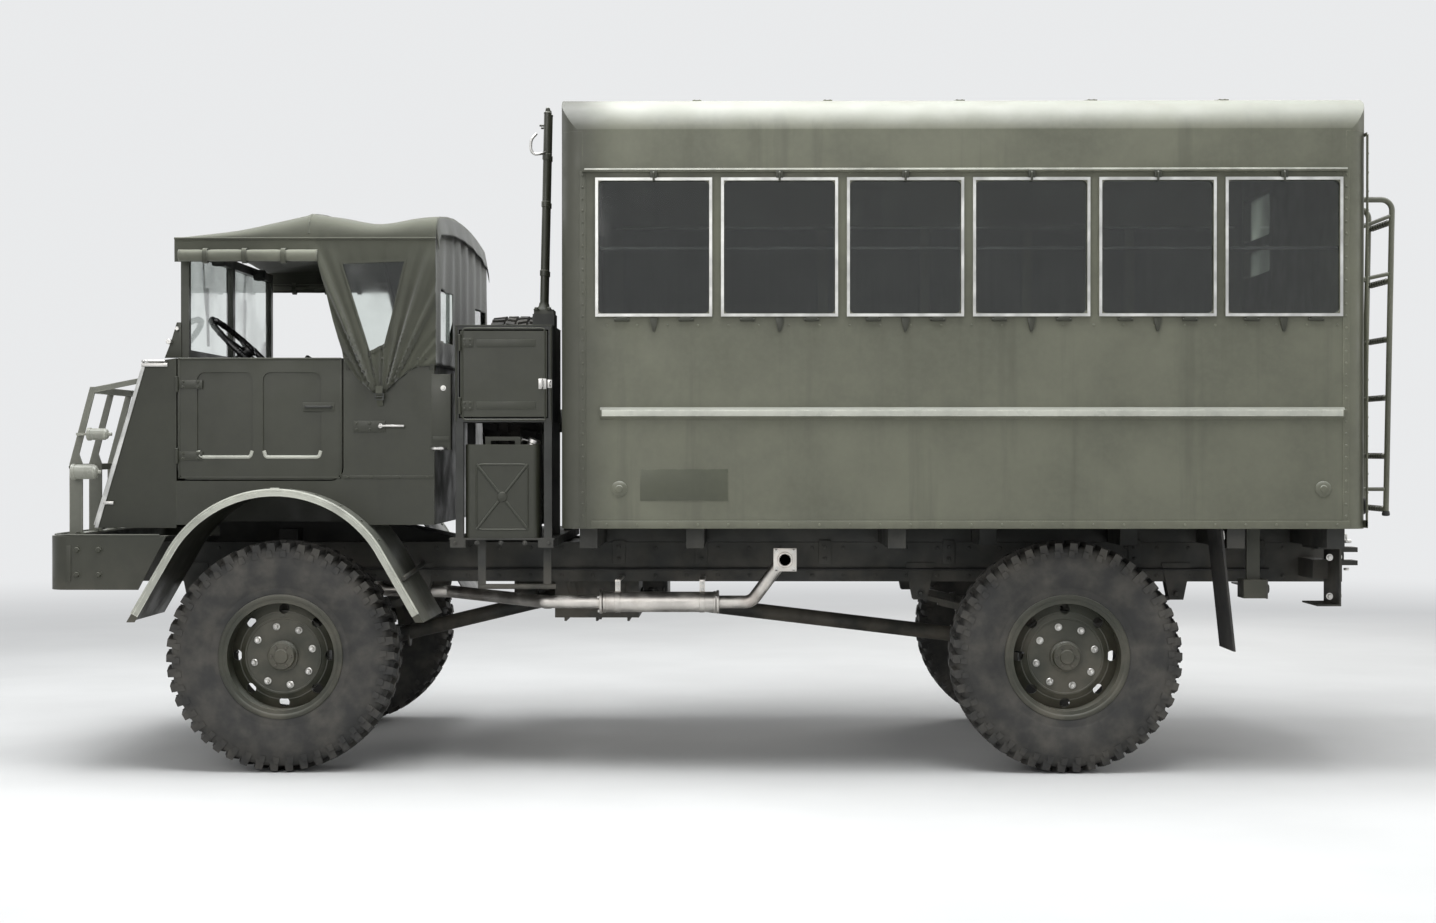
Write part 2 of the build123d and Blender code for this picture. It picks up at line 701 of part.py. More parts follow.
# Small lamps: rear X, front X, height, radius, and the two ends of the arm in X
small_lamps = [(front_x + 829, front_x + 907, 1551, 27, front_x + 899, front_x + 966),
               (front_x + 879, front_x + 980, 1377, 34, front_x + 952, front_x + 978)]
with BuildPart() as front_lamps:
    for radius, depth in ((lamp_radius, bezel_depth), (lens_radius, lens_depth)):
        with BuildSketch(nose_face):
            with Locations((lamp_y, lamp_up), (-lamp_y, lamp_up)):
                Circle(radius)
        extrude(amount=depth)
    for side in (1, -1):
        for lamp_rear, lamp_front, z, radius, arm_rear, arm_front in small_lamps:
            rod((lamp_rear, side * small_lamp_y, z), (lamp_front, side * small_lamp_y, z), radius)
            near, far = sorted((side * guard_side, side * small_lamp_y))
            block((arm_rear, arm_front), (near, far), (z - arm_half_height, z + arm_half_height))
save(front_lamps, "front_lamps")

# Front mudguards: an arch of sheet with straight legs and a turned lip
arch_radius = 566
arch_centre_x = front_x + 6
arch_top = 1299
arch_centre_z = arch_top - arch_radius
arch_leg_z = 695
arch_half_angle = 60
guard_sheet = 6
guard_lip = 32
mudguard_inner = 520
mudguard_outer = 1165


def arch_area(radius, mode=Mode.ADD):
    # the room under an arch of this radius, down to the ends of its legs
    across, up = radius * sin(radians(arch_half_angle)), radius * cos(radians(arch_half_angle))
    foot = across + (arch_centre_z + up - arch_leg_z) / tan(radians(arch_half_angle))
    with BuildLine() as outline:
        ThreePointArc((arch_centre_x - across, arch_centre_z + up), (arch_centre_x, arch_centre_z + radius),
                      (arch_centre_x + across, arch_centre_z + up))
        Polyline((arch_centre_x + across, arch_centre_z + up), (arch_centre_x + foot, arch_leg_z),
                 (arch_centre_x - foot, arch_leg_z), (arch_centre_x - across, arch_centre_z + up))
    make_face(outline.edges(), mode=mode)


with BuildPart() as front_mudguards:
    for side in (1, -1):
        start = mudguard_outer if side > 0 else -mudguard_inner
        with BuildSketch(side_plane(start)):
            arch_area(arch_radius)
            arch_area(arch_radius - guard_sheet, mode=Mode.SUBTRACT)
        extrude(amount=mudguard_outer - mudguard_inner)
        start = mudguard_outer if side > 0 else -mudguard_outer + guard_sheet
        with BuildSketch(side_plane(start)):
            arch_area(arch_radius)
            arch_area(arch_radius - guard_lip, mode=Mode.SUBTRACT)
        extrude(amount=guard_sheet)
save(front_mudguards, "front_mudguards")

# Cab tub: floor, wheel boxes, sides, back wall, engine cover and seat boxes
cab_rear_x = front_x - 697
floor_bottom = 1133
floor_top = 1163
side_thickness = 40
back_thickness = 30
door_rear_x = front_x - 278
door_bottom = 1335
door_corner = 60
wheel_box_radius = arch_radius + 34
wheel_box_wall = 24
tunnel_half_width = 360
tunnel_rear = front_x - 400
tunnel_top = 1710
tunnel_wall = 20
seat_inner = 400
seat_outer = 920
seat_front_x = front_x + 150
seat_rear_x = front_x - 350
seat_plate_top = 1348
seat_plate = 30
seat_frame = 12
back_board = 14
back_board_top = 1850
back_lean = 100

tunnel_room = (cowl_x - tunnel_rear - tunnel_wall, 2 * (tunnel_half_width - tunnel_wall))

with BuildPart() as cab_tub:
    with BuildSketch(Plane.XY.offset(floor_bottom)):
        with Locations(((cab_rear_x + cowl_x) / 2, 0)):
            Rectangle(cowl_x - cab_rear_x, 2 * (mudguard_inner - wheel_box_wall))
        with Locations(((tunnel_rear + tunnel_wall + cowl_x) / 2, 0)):
            Rectangle(*tunnel_room, mode=Mode.SUBTRACT)
    extrude(amount=floor_top - floor_bottom)
    with BuildSketch(Plane.XY.offset(floor_top)):
        with Locations(((tunnel_rear + cowl_x) / 2, 0)):
            Rectangle(cowl_x - tunnel_rear, 2 * tunnel_half_width)
        with Locations(((tunnel_rear + tunnel_wall + cowl_x) / 2, 0)):
            Rectangle(*tunnel_room, mode=Mode.SUBTRACT)
    extrude(amount=tunnel_top - floor_top)
    block((tunnel_rear, cowl_x), (-tunnel_half_width, tunnel_half_width),
          (tunnel_top, tunnel_top + tunnel_wall))
    inner_half = cab_half_width - side_thickness
    block((cab_rear_x, cab_rear_x + back_thickness), (-inner_half, inner_half), (floor_bottom, cowl_top_z))
    for side in (1, -1):
        # the side sheet, cut out for the door and the wheel
        with BuildSketch(side_plane(cab_half_width if side > 0 else side_thickness - cab_half_width)):
            with Locations(((cab_rear_x + cowl_x) / 2, (floor_bottom + cowl_top_z) / 2)):
                Rectangle(cowl_x - cab_rear_x, cowl_top_z - floor_bottom)
            with BuildLine():
                FilletPolyline((door_rear_x, cowl_top_z + 5), (door_rear_x, door_bottom),
                               (cowl_x + 100, door_bottom), radius=door_corner)
                Polyline((cowl_x + 100, door_bottom), (cowl_x + 100, cowl_top_z + 5),
                         (door_rear_x, cowl_top_z + 5))
            make_face(mode=Mode.SUBTRACT)
            arch_area(arch_radius, mode=Mode.SUBTRACT)
        extrude(amount=side_thickness)
        # the wheel box over the arch, and the floor before and behind it
        box_outer = cab_half_width - side_thickness
        with BuildSketch(side_plane(box_outer if side > 0 else -mudguard_inner)):
            arch_area(wheel_box_radius)
            with Locations((front_x, floor_bottom - 1000)):
                Rectangle(4000, 2000, mode=Mode.SUBTRACT)
            with Locations(((cab_rear_x + cowl_x) / 2, (floor_bottom + floor_top) / 2)):
                Rectangle(cowl_x - cab_rear_x, floor_top - floor_bottom)
            arch_area(arch_radius, mode=Mode.SUBTRACT)
        extrude(amount=box_outer - mudguard_inner)
        with BuildSketch(side_plane(mudguard_inner if side > 0 else wheel_box_wall - mudguard_inner)):
            arch_area(wheel_box_radius)
            with Locations((front_x, floor_bottom - 1000)):
                Rectangle(4000, 2000, mode=Mode.SUBTRACT)
            with Locations(((cab_rear_x + cowl_x) / 2, (floor_bottom + floor_top) / 2)):
                Rectangle(cowl_x - cab_rear_x, floor_top - floor_bottom)
        extrude(amount=wheel_box_wall)
        # the seat frame stands on the floor and the wheel box and carries a leaning back board
        near, far = sorted((side * seat_inner, side * seat_outer))
        block((seat_rear_x - 20, seat_front_x), (near, far), (seat_plate_top - seat_plate, seat_plate_top))
        near, far = sorted((side * seat_inner, side * (seat_inner + seat_frame)))
        block((seat_rear_x - 20, seat_front_x), (near, far), (floor_top, seat_plate_top - seat_plate))
        near, far = sorted((side * (seat_inner + 40), side * (seat_outer - 40)))
        side_shape([(seat_rear_x, seat_plate_top - 5), (seat_rear_x - back_board, seat_plate_top - 5),
                    (seat_rear_x - back_lean - back_board, back_board_top),
                    (seat_rear_x - back_lean, back_board_top)], near, far)
save(cab_tub, "cab_tub")

# Seat cushions: a base and a leaning back for the driver and for the passenger
cushion_thickness = 110
back_cushion_thickness = 85
back_cushion_top = 1842
back_cushion_gap = 8
with BuildPart() as seat_cushions:
    for side in (1, -1):
        near, far = sorted((side * (seat_inner + 20), side * (seat_outer - 20)))
        base_top = seat_plate_top + cushion_thickness
        block((seat_rear_x + 12, seat_front_x - 10), (near, far), (seat_plate_top, base_top))
        low = base_top + back_cushion_gap
        lean = back_lean / (back_board_top - seat_plate_top + 5)
        foot = seat_rear_x - lean * (low - seat_plate_top + 5)
        head = seat_rear_x - lean * (back_cushion_top - seat_plate_top + 5)
        side_shape([(foot, low), (foot + back_cushion_thickness, low),
                    (head + back_cushion_thickness, back_cushion_top), (head, back_cushion_top)], near, far)
save(seat_cushions, "seat_cushions")

# Steering column with its box on the nose floor, and the steering wheel square to it
wheel_centre = Vector(front_x + 271, 530, 1951)
column_tilt = Vector(-0.687, 0, 0.727)
steering_wheel_radius = 225
steering_rim_radius = 14
column_radius = 26
column_length = 590
hub_gap = 2
steering_box = (45, 45, 70, 40)
steering_bracket = (25, 30)
wheel_hub_radius = 34
wheel_hub_low = 40
wheel_hub_high = 12
spoke_width = 18
spoke_half = 5
column_end = wheel_centre - column_tilt * column_length
with BuildPart() as steering_column:
    column_start = wheel_centre - column_tilt * wheel_hub_low
    rod(tuple(column_start), tuple(column_end), column_radius)
    along, across, below, above = steering_box
    block((column_end.X - along, column_end.X + along), (column_end.Y - across, column_end.Y + across),
          (column_end.Z - below, column_end.Z + above))
    along, across = steering_bracket
    block((column_end.X - along, column_end.X + along), (column_end.Y - across, column_end.Y + across),
          (nose_bottom + nose_wall, column_end.Z - below + 10))
save(steering_column, "steering_column")

wheel_disc = Plane(origin=wheel_centre, x_dir=(0, 1, 0), z_dir=column_tilt)
with BuildPart() as steering_wheel:
    with BuildSketch(Plane(origin=wheel_centre, x_dir=(0, 1, 0), z_dir=column_tilt.cross(Vector(0, 1, 0)))):
        with Locations((steering_wheel_radius, 0)):
            Circle(steering_rim_radius)
    revolve(axis=Axis(wheel_centre, column_tilt))
    rod(tuple(wheel_centre - column_tilt * (wheel_hub_low - hub_gap)),
        tuple(wheel_centre + column_tilt * wheel_hub_high), wheel_hub_radius)
    for turn in (90, 210, 330):
        with BuildSketch(wheel_disc):
            with Locations(Location((0, 0), turn)):
                with Locations((steering_wheel_radius / 2, 0)):
                    Rectangle(steering_wheel_radius - 4, spoke_width)
        extrude(amount=spoke_half, both=True)
save(steering_wheel, "steering_wheel")

# Windscreen: an upright frame with a centre post and two panes
screen_x = front_x + 471
screen_half_width = 930
screen_top = 2436
screen_depth = 36
screen_post = 42
glass_thickness = 6


def screen_panes(grow):
    for side in (1, -1):
        inner, outer = screen_post / 2 - grow, screen_half_width - screen_post + grow
        low, high = cowl_top_z + screen_post - grow, screen_top - screen_post + grow
        with Locations((side * (inner + outer) / 2, (low + high) / 2)):
            Rectangle(outer - inner, high - low)


with BuildPart() as windscreen_frame:
    with BuildSketch(Plane.YZ.offset(screen_x - screen_depth / 2)):
        with Locations((0, (cowl_top_z + screen_top) / 2)):
            Rectangle(2 * screen_half_width, screen_top - cowl_top_z)
    extrude(amount=screen_depth)
    with BuildSketch(Plane.YZ.offset(screen_x - screen_depth / 2)):
        screen_panes(0)
    extrude(amount=screen_depth, mode=Mode.SUBTRACT)
save(windscreen_frame, "windscreen_frame")

with BuildPart() as windscreen_glass:
    with BuildSketch(Plane.YZ.offset(screen_x - glass_thickness / 2)):
        screen_panes(0)
    extrude(amount=glass_thickness)
save(windscreen_glass, "windscreen_glass")

# Cab doors: whole leaves with two pressed recesses and rounded lower corners
recesses = [(140, 398), (-177, 94)]
recess_z = (1441, 1836)
recess_depth = 8
leaf_rear, leaf_front = door_rear_x + panel_gap, cowl_x - panel_gap
leaf_bottom = door_bottom + panel_gap
for side, door_name in ((1, "left_door"), (-1, "right_door")):
    outer = cab_half_width if side > 0 else -(cab_half_width - side_thickness)
    with BuildPart() as door:
        with BuildSketch(side_plane(outer)) as leaf:
            with BuildLine():
                Polyline((leaf_rear, cowl_top_z), (leaf_rear, leaf_bottom), (leaf_front, leaf_bottom),
                         (leaf_front, cowl_top_z), close=True)
            make_face()
            fillet(leaf.vertices().group_by(Axis.Y)[0], door_corner - panel_gap)
        extrude(amount=side_thickness)
        recess_face = cab_half_width if side > 0 else -(cab_half_width - recess_depth)
        for recess_rear, recess_front in recesses:
            with BuildSketch(side_plane(recess_face)):
                with Locations((front_x + (recess_rear + recess_front) / 2, sum(recess_z) / 2)):
                    RectangleRounded(recess_front - recess_rear, recess_z[1] - recess_z[0], 36)
            extrude(amount=recess_depth, mode=Mode.SUBTRACT)
    save(door, door_name)

# Canvas hood: roof crowned over two bows, quarter sheets with a window, and a rear curtain
hood_sheet = 8
hood_half_width = cab_half_width + 2 + hood_sheet
hood_front_x = screen_x + 34
hood_ridge_x = front_x - 120
hood_rear_x = cab_rear_x - 2 - hood_sheet
hood_edge_z = 2452
hood_base_z = 2350
hood_sections = [(hood_front_x, 2474), (hood_ridge_x, 2620), (hood_rear_x, 2615)]
quarter_low_z = 1777


def hood_section(x, top, inset):
    half, edge = hood_half_width - inset, hood_edge_z - inset
    with BuildSketch(Plane.YZ.offset(x)) as section:
        with BuildLine():
            ThreePointArc((-half, edge), (0, top - inset), (half, edge))
            Polyline((half, edge), (half, hood_base_z), (-half, hood_base_z), (-half, edge))
        make_face()
    return section.sketch


room_sections = [(hood_front_x + 5, 2474), (hood_ridge_x, 2620), (hood_rear_x + hood_sheet, 2615)]
with BuildPart() as roof_room:
    loft([hood_section(x, top, hood_sheet) for x, top in room_sections], ruled=True)

quarter = [(front_x - 163, hood_base_z + 90), (front_x - 283, 1892), (front_x - 449, quarter_low_z),
           (hood_rear_x, quarter_low_z), (hood_rear_x, hood_base_z + 90)]
quarter_window = [(front_x - 275, 2335), (front_x - 560, 2345), (front_x - 470, 1965),
                  (front_x - 400, 1930)]
with BuildPart() as canvas_hood:
    loft([hood_section(x, top, 0) for x, top in hood_sections], ruled=True)
    add(roof_room.part, mode=Mode.SUBTRACT)
    for side in (1, -1):
        near, far = sorted((side * (hood_half_width - hood_sheet), side * hood_half_width))
        side_shape(quarter, near, far)
        side_shape(quarter_window, near - 5, far + 5, mode=Mode.SUBTRACT, corner=12)
    block((hood_rear_x, hood_rear_x + hood_sheet), (-hood_half_width, hood_half_width),
          (quarter_low_z, hood_edge_z - 5))
save(canvas_hood, "canvas_hood")

bow_bar = 24
bow_lean_foot = front_x - 300


def bow(plane, slope, top):
    # a portal of square bar that fits under the roof sheet
    half = hood_half_width - hood_sheet - 4
    edge = (hood_edge_z - hood_sheet - 26 - cowl_top_z) / slope
    crown = (top - hood_sheet - 8 - cowl_top_z) / slope
    with BuildSketch(plane) as portal:
        for inset, mode in ((0, Mode.ADD), (bow_bar, Mode.SUBTRACT)):
            with BuildLine():
                ThreePointArc((-half + inset, edge - inset), (0, crown - inset), (half - inset, edge - inset))
                Polyline((half - inset, edge - inset), (half - inset, 0), (-half + inset, 0),
                         (-half + inset, edge - inset))
            make_face(mode=mode)
    extrude(portal.sketch, amount=bow_bar / 2, both=True)


with BuildPart() as hood_bows:
    bow_rise = Vector(hood_ridge_x - bow_lean_foot, 0, 2610 - cowl_top_z).normalized()
    bow(Plane(origin=(bow_lean_foot, 0, cowl_top_z), x_dir=(0, 1, 0), z_dir=Vector(0, 1, 0).cross(bow_rise)),
        bow_rise.Z, 2616)
    bow(Plane(origin=(cab_rear_x + 15, 0, cowl_top_z), x_dir=(0, 1, 0), z_dir=(1, 0, 0)), 1, 2608)
    block((bow_lean_foot - 40, bow_lean_foot + 40), (-cab_half_width - 20, cab_half_width + 20),
          (cowl_top_z - 60, cowl_top_z), mode=Mode.SUBTRACT)
save(hood_bows, "hood_bows")

# Stowage behind the cab: a rack on the rails carries the locker, the spare wheel and a fuel can.
rack_front = front_x - 770
rack_rear = front_x - 1254
locker_front = front_x - 798
locker_rear = front_x - 1244
locker_y = (560, 1040)
locker_z = (1606, 2048)
locker_wall = 18
locker_door_thickness = 20
spare_x = front_x - 990
spare_y = -60
spare_z = rail_top + 66 + tyre_radius
platform_z = rail_top + 35
can_x = (front_x - 1184, front_x - 842)
can_y = (866, 1031)
can_z = platform_z + 8
can_height = 470
can_corner = 30
can_handle_first = 40
can_handle_pitch = 42
can_handle_half = 8
can_handle_inset = 90
can_handle_bar = 25
rack_y = (-620, 1040)
beam_half = 35
beam_inset = 40
post_half = 18
post_inset = 20
spare_post_width = 40
spare_post_half = 60
spare_pin_radius = 58
step_y = 950
step_z = 846
step_radius = 12
step_x = (rack_rear, front_x - 893)
step_hanger_half = 18
step_hanger_half_y = 5
pole_bracket_x = (front_x - 1245, front_x - 1145)
pole_bracket_y = (780, 940)
pole_bracket_height = 60

with BuildPart() as stowage_rack:
    for beam_x in (rack_front - beam_inset, rack_rear + beam_inset):
        block((beam_x - beam_half, beam_x + beam_half), rack_y, (rail_top, platform_z))
    block((rack_rear, rack_front), rack_y, (platform_z, can_z))
    for post_x in (locker_front - post_inset, locker_rear + post_inset):
        for post_y in (locker_y[0] + post_inset, locker_y[1] - post_inset):
            block((post_x - post_half, post_x + post_half), (post_y - post_half, post_y + post_half),
                  (can_z - 2, locker_z[0]))
    # a step bar hangs below the rack
    rod((step_x[0], step_y, step_z), (step_x[1], step_y, step_z), step_radius)
    for hanger_x in (step_x[0] + beam_inset, step_x[1] - step_hanger_half):
        block((hanger_x - step_hanger_half, hanger_x + step_hanger_half),
              (step_y - step_hanger_half_y, step_y + step_hanger_half_y), (step_z, platform_z))
    block((locker_rear, locker_front), locker_y, locker_z)
    block((locker_rear + locker_wall, locker_front - locker_wall),
          (locker_y[0] + locker_wall, locker_y[1] + 5),
          (locker_z[0] + locker_wall, locker_z[1] - locker_wall), mode=Mode.SUBTRACT)
    block((rack_rear, rack_rear + spare_post_width), (spare_y - spare_post_half, spare_y + spare_post_half),
          (can_z - 2, spare_z + spare_post_half))
    rod((rack_rear + spare_post_width - 10, spare_y, spare_z), (spare_x - disc_face, spare_y, spare_z),
        spare_pin_radius)
    block(pole_bracket_x, pole_bracket_y, (locker_z[1], locker_z[1] + pole_bracket_height))
save(stowage_rack, "stowage_rack")

with BuildPart() as locker_door:
    edge = locker_wall + panel_gap
    block((locker_rear + edge, locker_front - edge), (locker_y[1] - locker_door_thickness, locker_y[1]),
          (locker_z[0] + edge, locker_z[1] - edge))
save(locker_door, "locker_door")

# the spare lies across the truck, its disc towards the rack's post
spare_plane = Plane(origin=(spare_x, spare_y, spare_z), x_dir=(-1, 0, 0), z_dir=(0, 1, 0))
spare_line = Axis((spare_x, spare_y, spare_z), (1, 0, 0))
save(tyre(spare_plane, spare_line), "spare_tyre")
save(rim(spare_plane, spare_line, with_hub=False), "spare_rim")

with BuildPart() as fuel_can:
    can_top = can_z + can_height - 40
    block(can_x, can_y, (can_z, can_top))
    fillet(fuel_can.edges().filter_by(Axis.Z), can_corner)
    for handle in range(3):
        y = can_y[0] + can_handle_first + handle * can_handle_pitch
        block((can_x[0] + can_handle_inset, can_x[1] - can_handle_inset),
              (y - can_handle_half, y + can_handle_half), (can_top - 5, can_top + 36))
        block((can_x[0] + can_handle_inset + can_handle_bar, can_x[1] - can_handle_inset - can_handle_bar),
              (y - can_handle_half - 2, y + can_handle_half + 2), (can_top, can_top + 18), mode=Mode.SUBTRACT)
save(fuel_can, "fuel_can")

pole_top = 3043
pole_radius = 17
pole_foot_x = front_x - 1192
pole_top_x = front_x - 1212
pole_base_x = (front_x - 1240, front_x - 1150)
pole_base_half = 34
pole_base_z = locker_z[1] + pole_bracket_height
pole_base_height = 20
with BuildPart() as mast_poles:
    for pole_y in (820, 900):
        block(pole_base_x, (pole_y - pole_base_half, pole_y + pole_base_half),
              (pole_base_z, pole_base_z + pole_base_height))
        rod((pole_foot_x, pole_y, pole_base_z + pole_base_height - 2), (pole_top_x, pole_y, pole_top),
            pole_radius)
save(mast_poles, "mast_poles")

# Box body: a shell with rounded corners, split at the drip rail and at the corner posts
body_front = front_x - 1294
body_rear = rear_x - 1333
body_wall = 45
corner_post = 100
corner_radius = 88
roof_radius = 150
cove_bulge = 0.347
body_length = body_front - body_rear
body_middle = (body_front + body_rear) / 2
end_wall_top = 2915
floor_deck = 60


def body_plan(inset, mode=Mode.ADD, wider=0):
    with Locations((body_middle, 0)):
        RectangleRounded(body_length - 2 * inset, 2 * (body_half_width + wider - inset),
                         corner_radius - inset, mode=mode)


def body_solid(inset):
    half, cove = body_half_width - inset, roof_radius - inset
    cove_foot, cove_top = roof_edge_z - roof_radius, roof_edge_z - inset
    with BuildSketch(Plane.XY.offset(body_bottom)) as plan:
        # the corners cross the flat sides at an angle instead of touching them
        body_plan(inset, wider=1)
    extrude(plan.sketch, amount=roof_crown_z - body_bottom + 10)
    with BuildSketch(Plane.YZ.offset(body_rear - 5)) as across:
        with BuildLine() as outline:
            ThreePointArc((cove - half, cove_top), (0, roof_crown_z - inset), (half - cove, cove_top))
            for side in (1, -1):
                ThreePointArc((side * (half - cove), cove_top),
                              (side * (half - cove_bulge * cove), cove_top - cove_bulge * cove),
                              (side * half, cove_foot))
            Polyline((half, cove_foot), (half, body_bottom - 5), (-half, body_bottom - 5), (-half, cove_foot))
        make_face(outline.edges())
    extrude(across.sketch, amount=body_length + 10, mode=Mode.INTERSECT)


with BuildPart() as body_inside:
    body_solid(body_wall)

side_x = (body_rear + corner_post, body_front - corner_post)
full_y = (-body_half_width - 60, body_half_width + 60)

# Windows: six a side, each in a raised frame
window_count = 6
window_width = 531
window_height = 630
window_gap = 36
window_top_gap = 38
window_centre_z = drip_rail_z - window_top_gap - window_height / 2
window_middle_x = body_middle - 20
window_frame = 16
frame_proud = 14
window_corner = 22
pane_thickness = 6
pane_setback = 4
window_pitch = window_width + window_gap
rub_rail_z = 1644
rub_rail_height = 52
rub_rail_proud = 20
rub_rail_chamfer = 12
drip_height = 14
drip_proud = 18
rub_rail_x = (body_rear + 110, body_front - 180)


def window_grid(width, height, mode=Mode.ADD):
    with Locations((window_middle_x, window_centre_z)):
        with GridLocations(window_pitch, 0, window_count, 1):
            RectangleRounded(width, height, window_corner, mode=mode)


for side, wall_name in ((1, "box_left_side"), (-1, "box_right_side")):
    outside = side * body_half_width
    with BuildPart() as side_wall:
        near, far = sorted((side * (body_half_width - body_wall), outside))
        block(side_x, (near, far), (body_bottom, drip_rail_z))
        start = body_half_width + frame_proud if side > 0 else -body_half_width + body_wall
        with BuildSketch(side_plane(body_half_width + frame_proud if side > 0 else -body_half_width)):
            window_grid(window_width, window_height)
        extrude(amount=frame_proud)
        with BuildSketch(side_plane(start)):
            window_grid(window_width - 2 * window_frame, window_height - 2 * window_frame)
        extrude(amount=frame_proud + body_wall, mode=Mode.SUBTRACT)
        near, far = sorted((outside, outside + side * rub_rail_proud))
        block(rub_rail_x, (near, far), (rub_rail_z - rub_rail_height / 2, rub_rail_z + rub_rail_height / 2))
        chamfer(side_wall.edges().filter_by(Axis.X).filter_by(
            lambda e: abs(abs(e.center().Y) - body_half_width - rub_rail_proud) < 1), rub_rail_chamfer)
        near, far = sorted((outside, outside + side * drip_proud))
        block(side_x, (near, far), (drip_rail_z - drip_height, drip_rail_z))
    save(side_wall, wall_name)

rear_door_y = (-430, 390)
rear_door_z = (1190, 2890)
# Two panes, one above the other, in the rear wall to the right of the door
rear_pane_y = (-1080, -485)
rear_pane_z = [(2420, 2565), (2615, 2850)]


def rear_panes(mode=Mode.ADD):
    for low, high in rear_pane_z:
        with Locations((sum(rear_pane_y) / 2, (low + high) / 2)):
            RectangleRounded(rear_pane_y[1] - rear_pane_y[0], high - low, window_corner, mode=mode)


with BuildPart() as window_glass:
    for side in (1, -1):
        with BuildSketch(side_plane(side * (body_half_width - pane_setback) + pane_thickness / 2)):
            window_grid(window_width - 2 * window_frame, window_height - 2 * window_frame)
        extrude(amount=pane_thickness)
    with BuildSketch(Plane.YZ.offset(body_rear + pane_setback)):
        rear_panes()
    extrude(amount=pane_thickness)
save(window_glass, "window_glass")


def end_wall(middle_x):
    # an end of the body with its corner posts
    with BuildSketch(Plane.XY.offset(body_bottom)) as section:
        body_plan(0)
        body_plan(body_wall, mode=Mode.SUBTRACT)
        with Locations((middle_x, 0)):
            Rectangle(corner_post, 2 * body_half_width + 20, mode=Mode.INTERSECT)
    extrude(section.sketch, amount=end_wall_top - body_bottom)


with BuildPart() as box_front_wall:
    end_wall(body_front - corner_post / 2)
save(box_front_wall, "box_front_wall")

with BuildPart() as box_rear_wall:
    end_wall(body_rear + corner_post / 2)
    block((body_rear - 5, body_rear + body_wall + 5), rear_door_y, rear_door_z, mode=Mode.SUBTRACT)
    with BuildSketch(Plane.YZ.offset(body_rear - 5)):
        rear_panes()
    extrude(amount=body_wall + 10, mode=Mode.SUBTRACT)
save(box_rear_wall, "box_rear_wall")

with BuildPart() as box_roof:
    body_solid(0)
    add(body_inside.part, mode=Mode.SUBTRACT)
    block((body_rear - 5, body_front + 5), full_y, (body_bottom - 5, drip_rail_z), mode=Mode.SUBTRACT)
    for middle_x in (body_front - corner_post / 2, body_rear + corner_post / 2):
        block((middle_x - corner_post / 2, middle_x + corner_post / 2), full_y,
              (body_bottom - 5, end_wall_top), mode=Mode.SUBTRACT)
save(box_roof, "box_roof")

with BuildPart() as rear_door:
    block((body_rear, body_rear + body_wall), (rear_door_y[0] + panel_gap, rear_door_y[1] - panel_gap),
          (rear_door_z[0] + panel_gap, rear_door_z[1] - panel_gap))
save(rear_door, "rear_door")

# Body floor on cross bearers: place along the truck and half length of each bearer
bearer_depth = 80
bearers = [(body_front - 120, 1100), (front_x - 1900, 1100), (rear_x + 780, 1100), (rear_x + 330, 780),
           (rear_x - 330, 780), (rear_x - 760, 1100), (body_rear + 120, 1100)]
with BuildPart() as box_floor:
    with BuildSketch(Plane.XY.offset(body_bottom)):
        body_plan(body_wall)
    extrude(amount=floor_deck)
    for bearer_x, half in bearers:
        block((bearer_x - bearer_depth / 2, bearer_x + bearer_depth / 2), (-half, half),
              (rail_top, body_bottom))
save(box_floor, "box_floor")

# Entry ladder of round bar on the left of the rear wall: its tops bend over to the wall, struts hold it off
ladder_y = (560, 940)
ladder_foot_x = body_rear - 153
ladder_head_x = body_rear - 180
ladder_low = 1186
ladder_high = 2632
ladder_bend = 50
ladder_bar_radius = 13
rung_radius = 12
strut_radius = 9
rung_heights = [1205, 1450, 1720, 1990, 2260, 2530]
# Struts: height at the wall and height at the ladder
struts = [(1297, 1297), (2255, 2292), (2490, 2560)]


def ladder_x(z):
    return ladder_foot_x + (ladder_head_x - ladder_foot_x) * (z - ladder_low) / (ladder_high - ladder_low)


with BuildPart() as rear_ladder:
    for y in ladder_y:
        with BuildLine() as bent_bar:
            FilletPolyline((ladder_foot_x, y, ladder_low), (ladder_head_x, y, ladder_high),
                           (body_rear, y, ladder_high), radius=ladder_bend)
        with BuildSketch(Plane(origin=bent_bar.line @ 0, z_dir=bent_bar.line % 0)):
            Circle(ladder_bar_radius)
        sweep(path=bent_bar.line)
        for wall_z, bar_z in struts:
            rod((body_rear, y, wall_z), (ladder_x(bar_z), y, bar_z), strut_radius)
    for rung_z in rung_heights:
        rod((ladder_x(rung_z), ladder_y[0], rung_z), (ladder_x(rung_z), ladder_y[1], rung_z), rung_radius)
    # the slanting struts end flush with the wall
    block((body_rear, body_rear + 40), (ladder_y[0] - 30, ladder_y[1] + 30), (ladder_low, ladder_high + 40),
          mode=Mode.SUBTRACT)
save(rear_ladder, "rear_ladder")

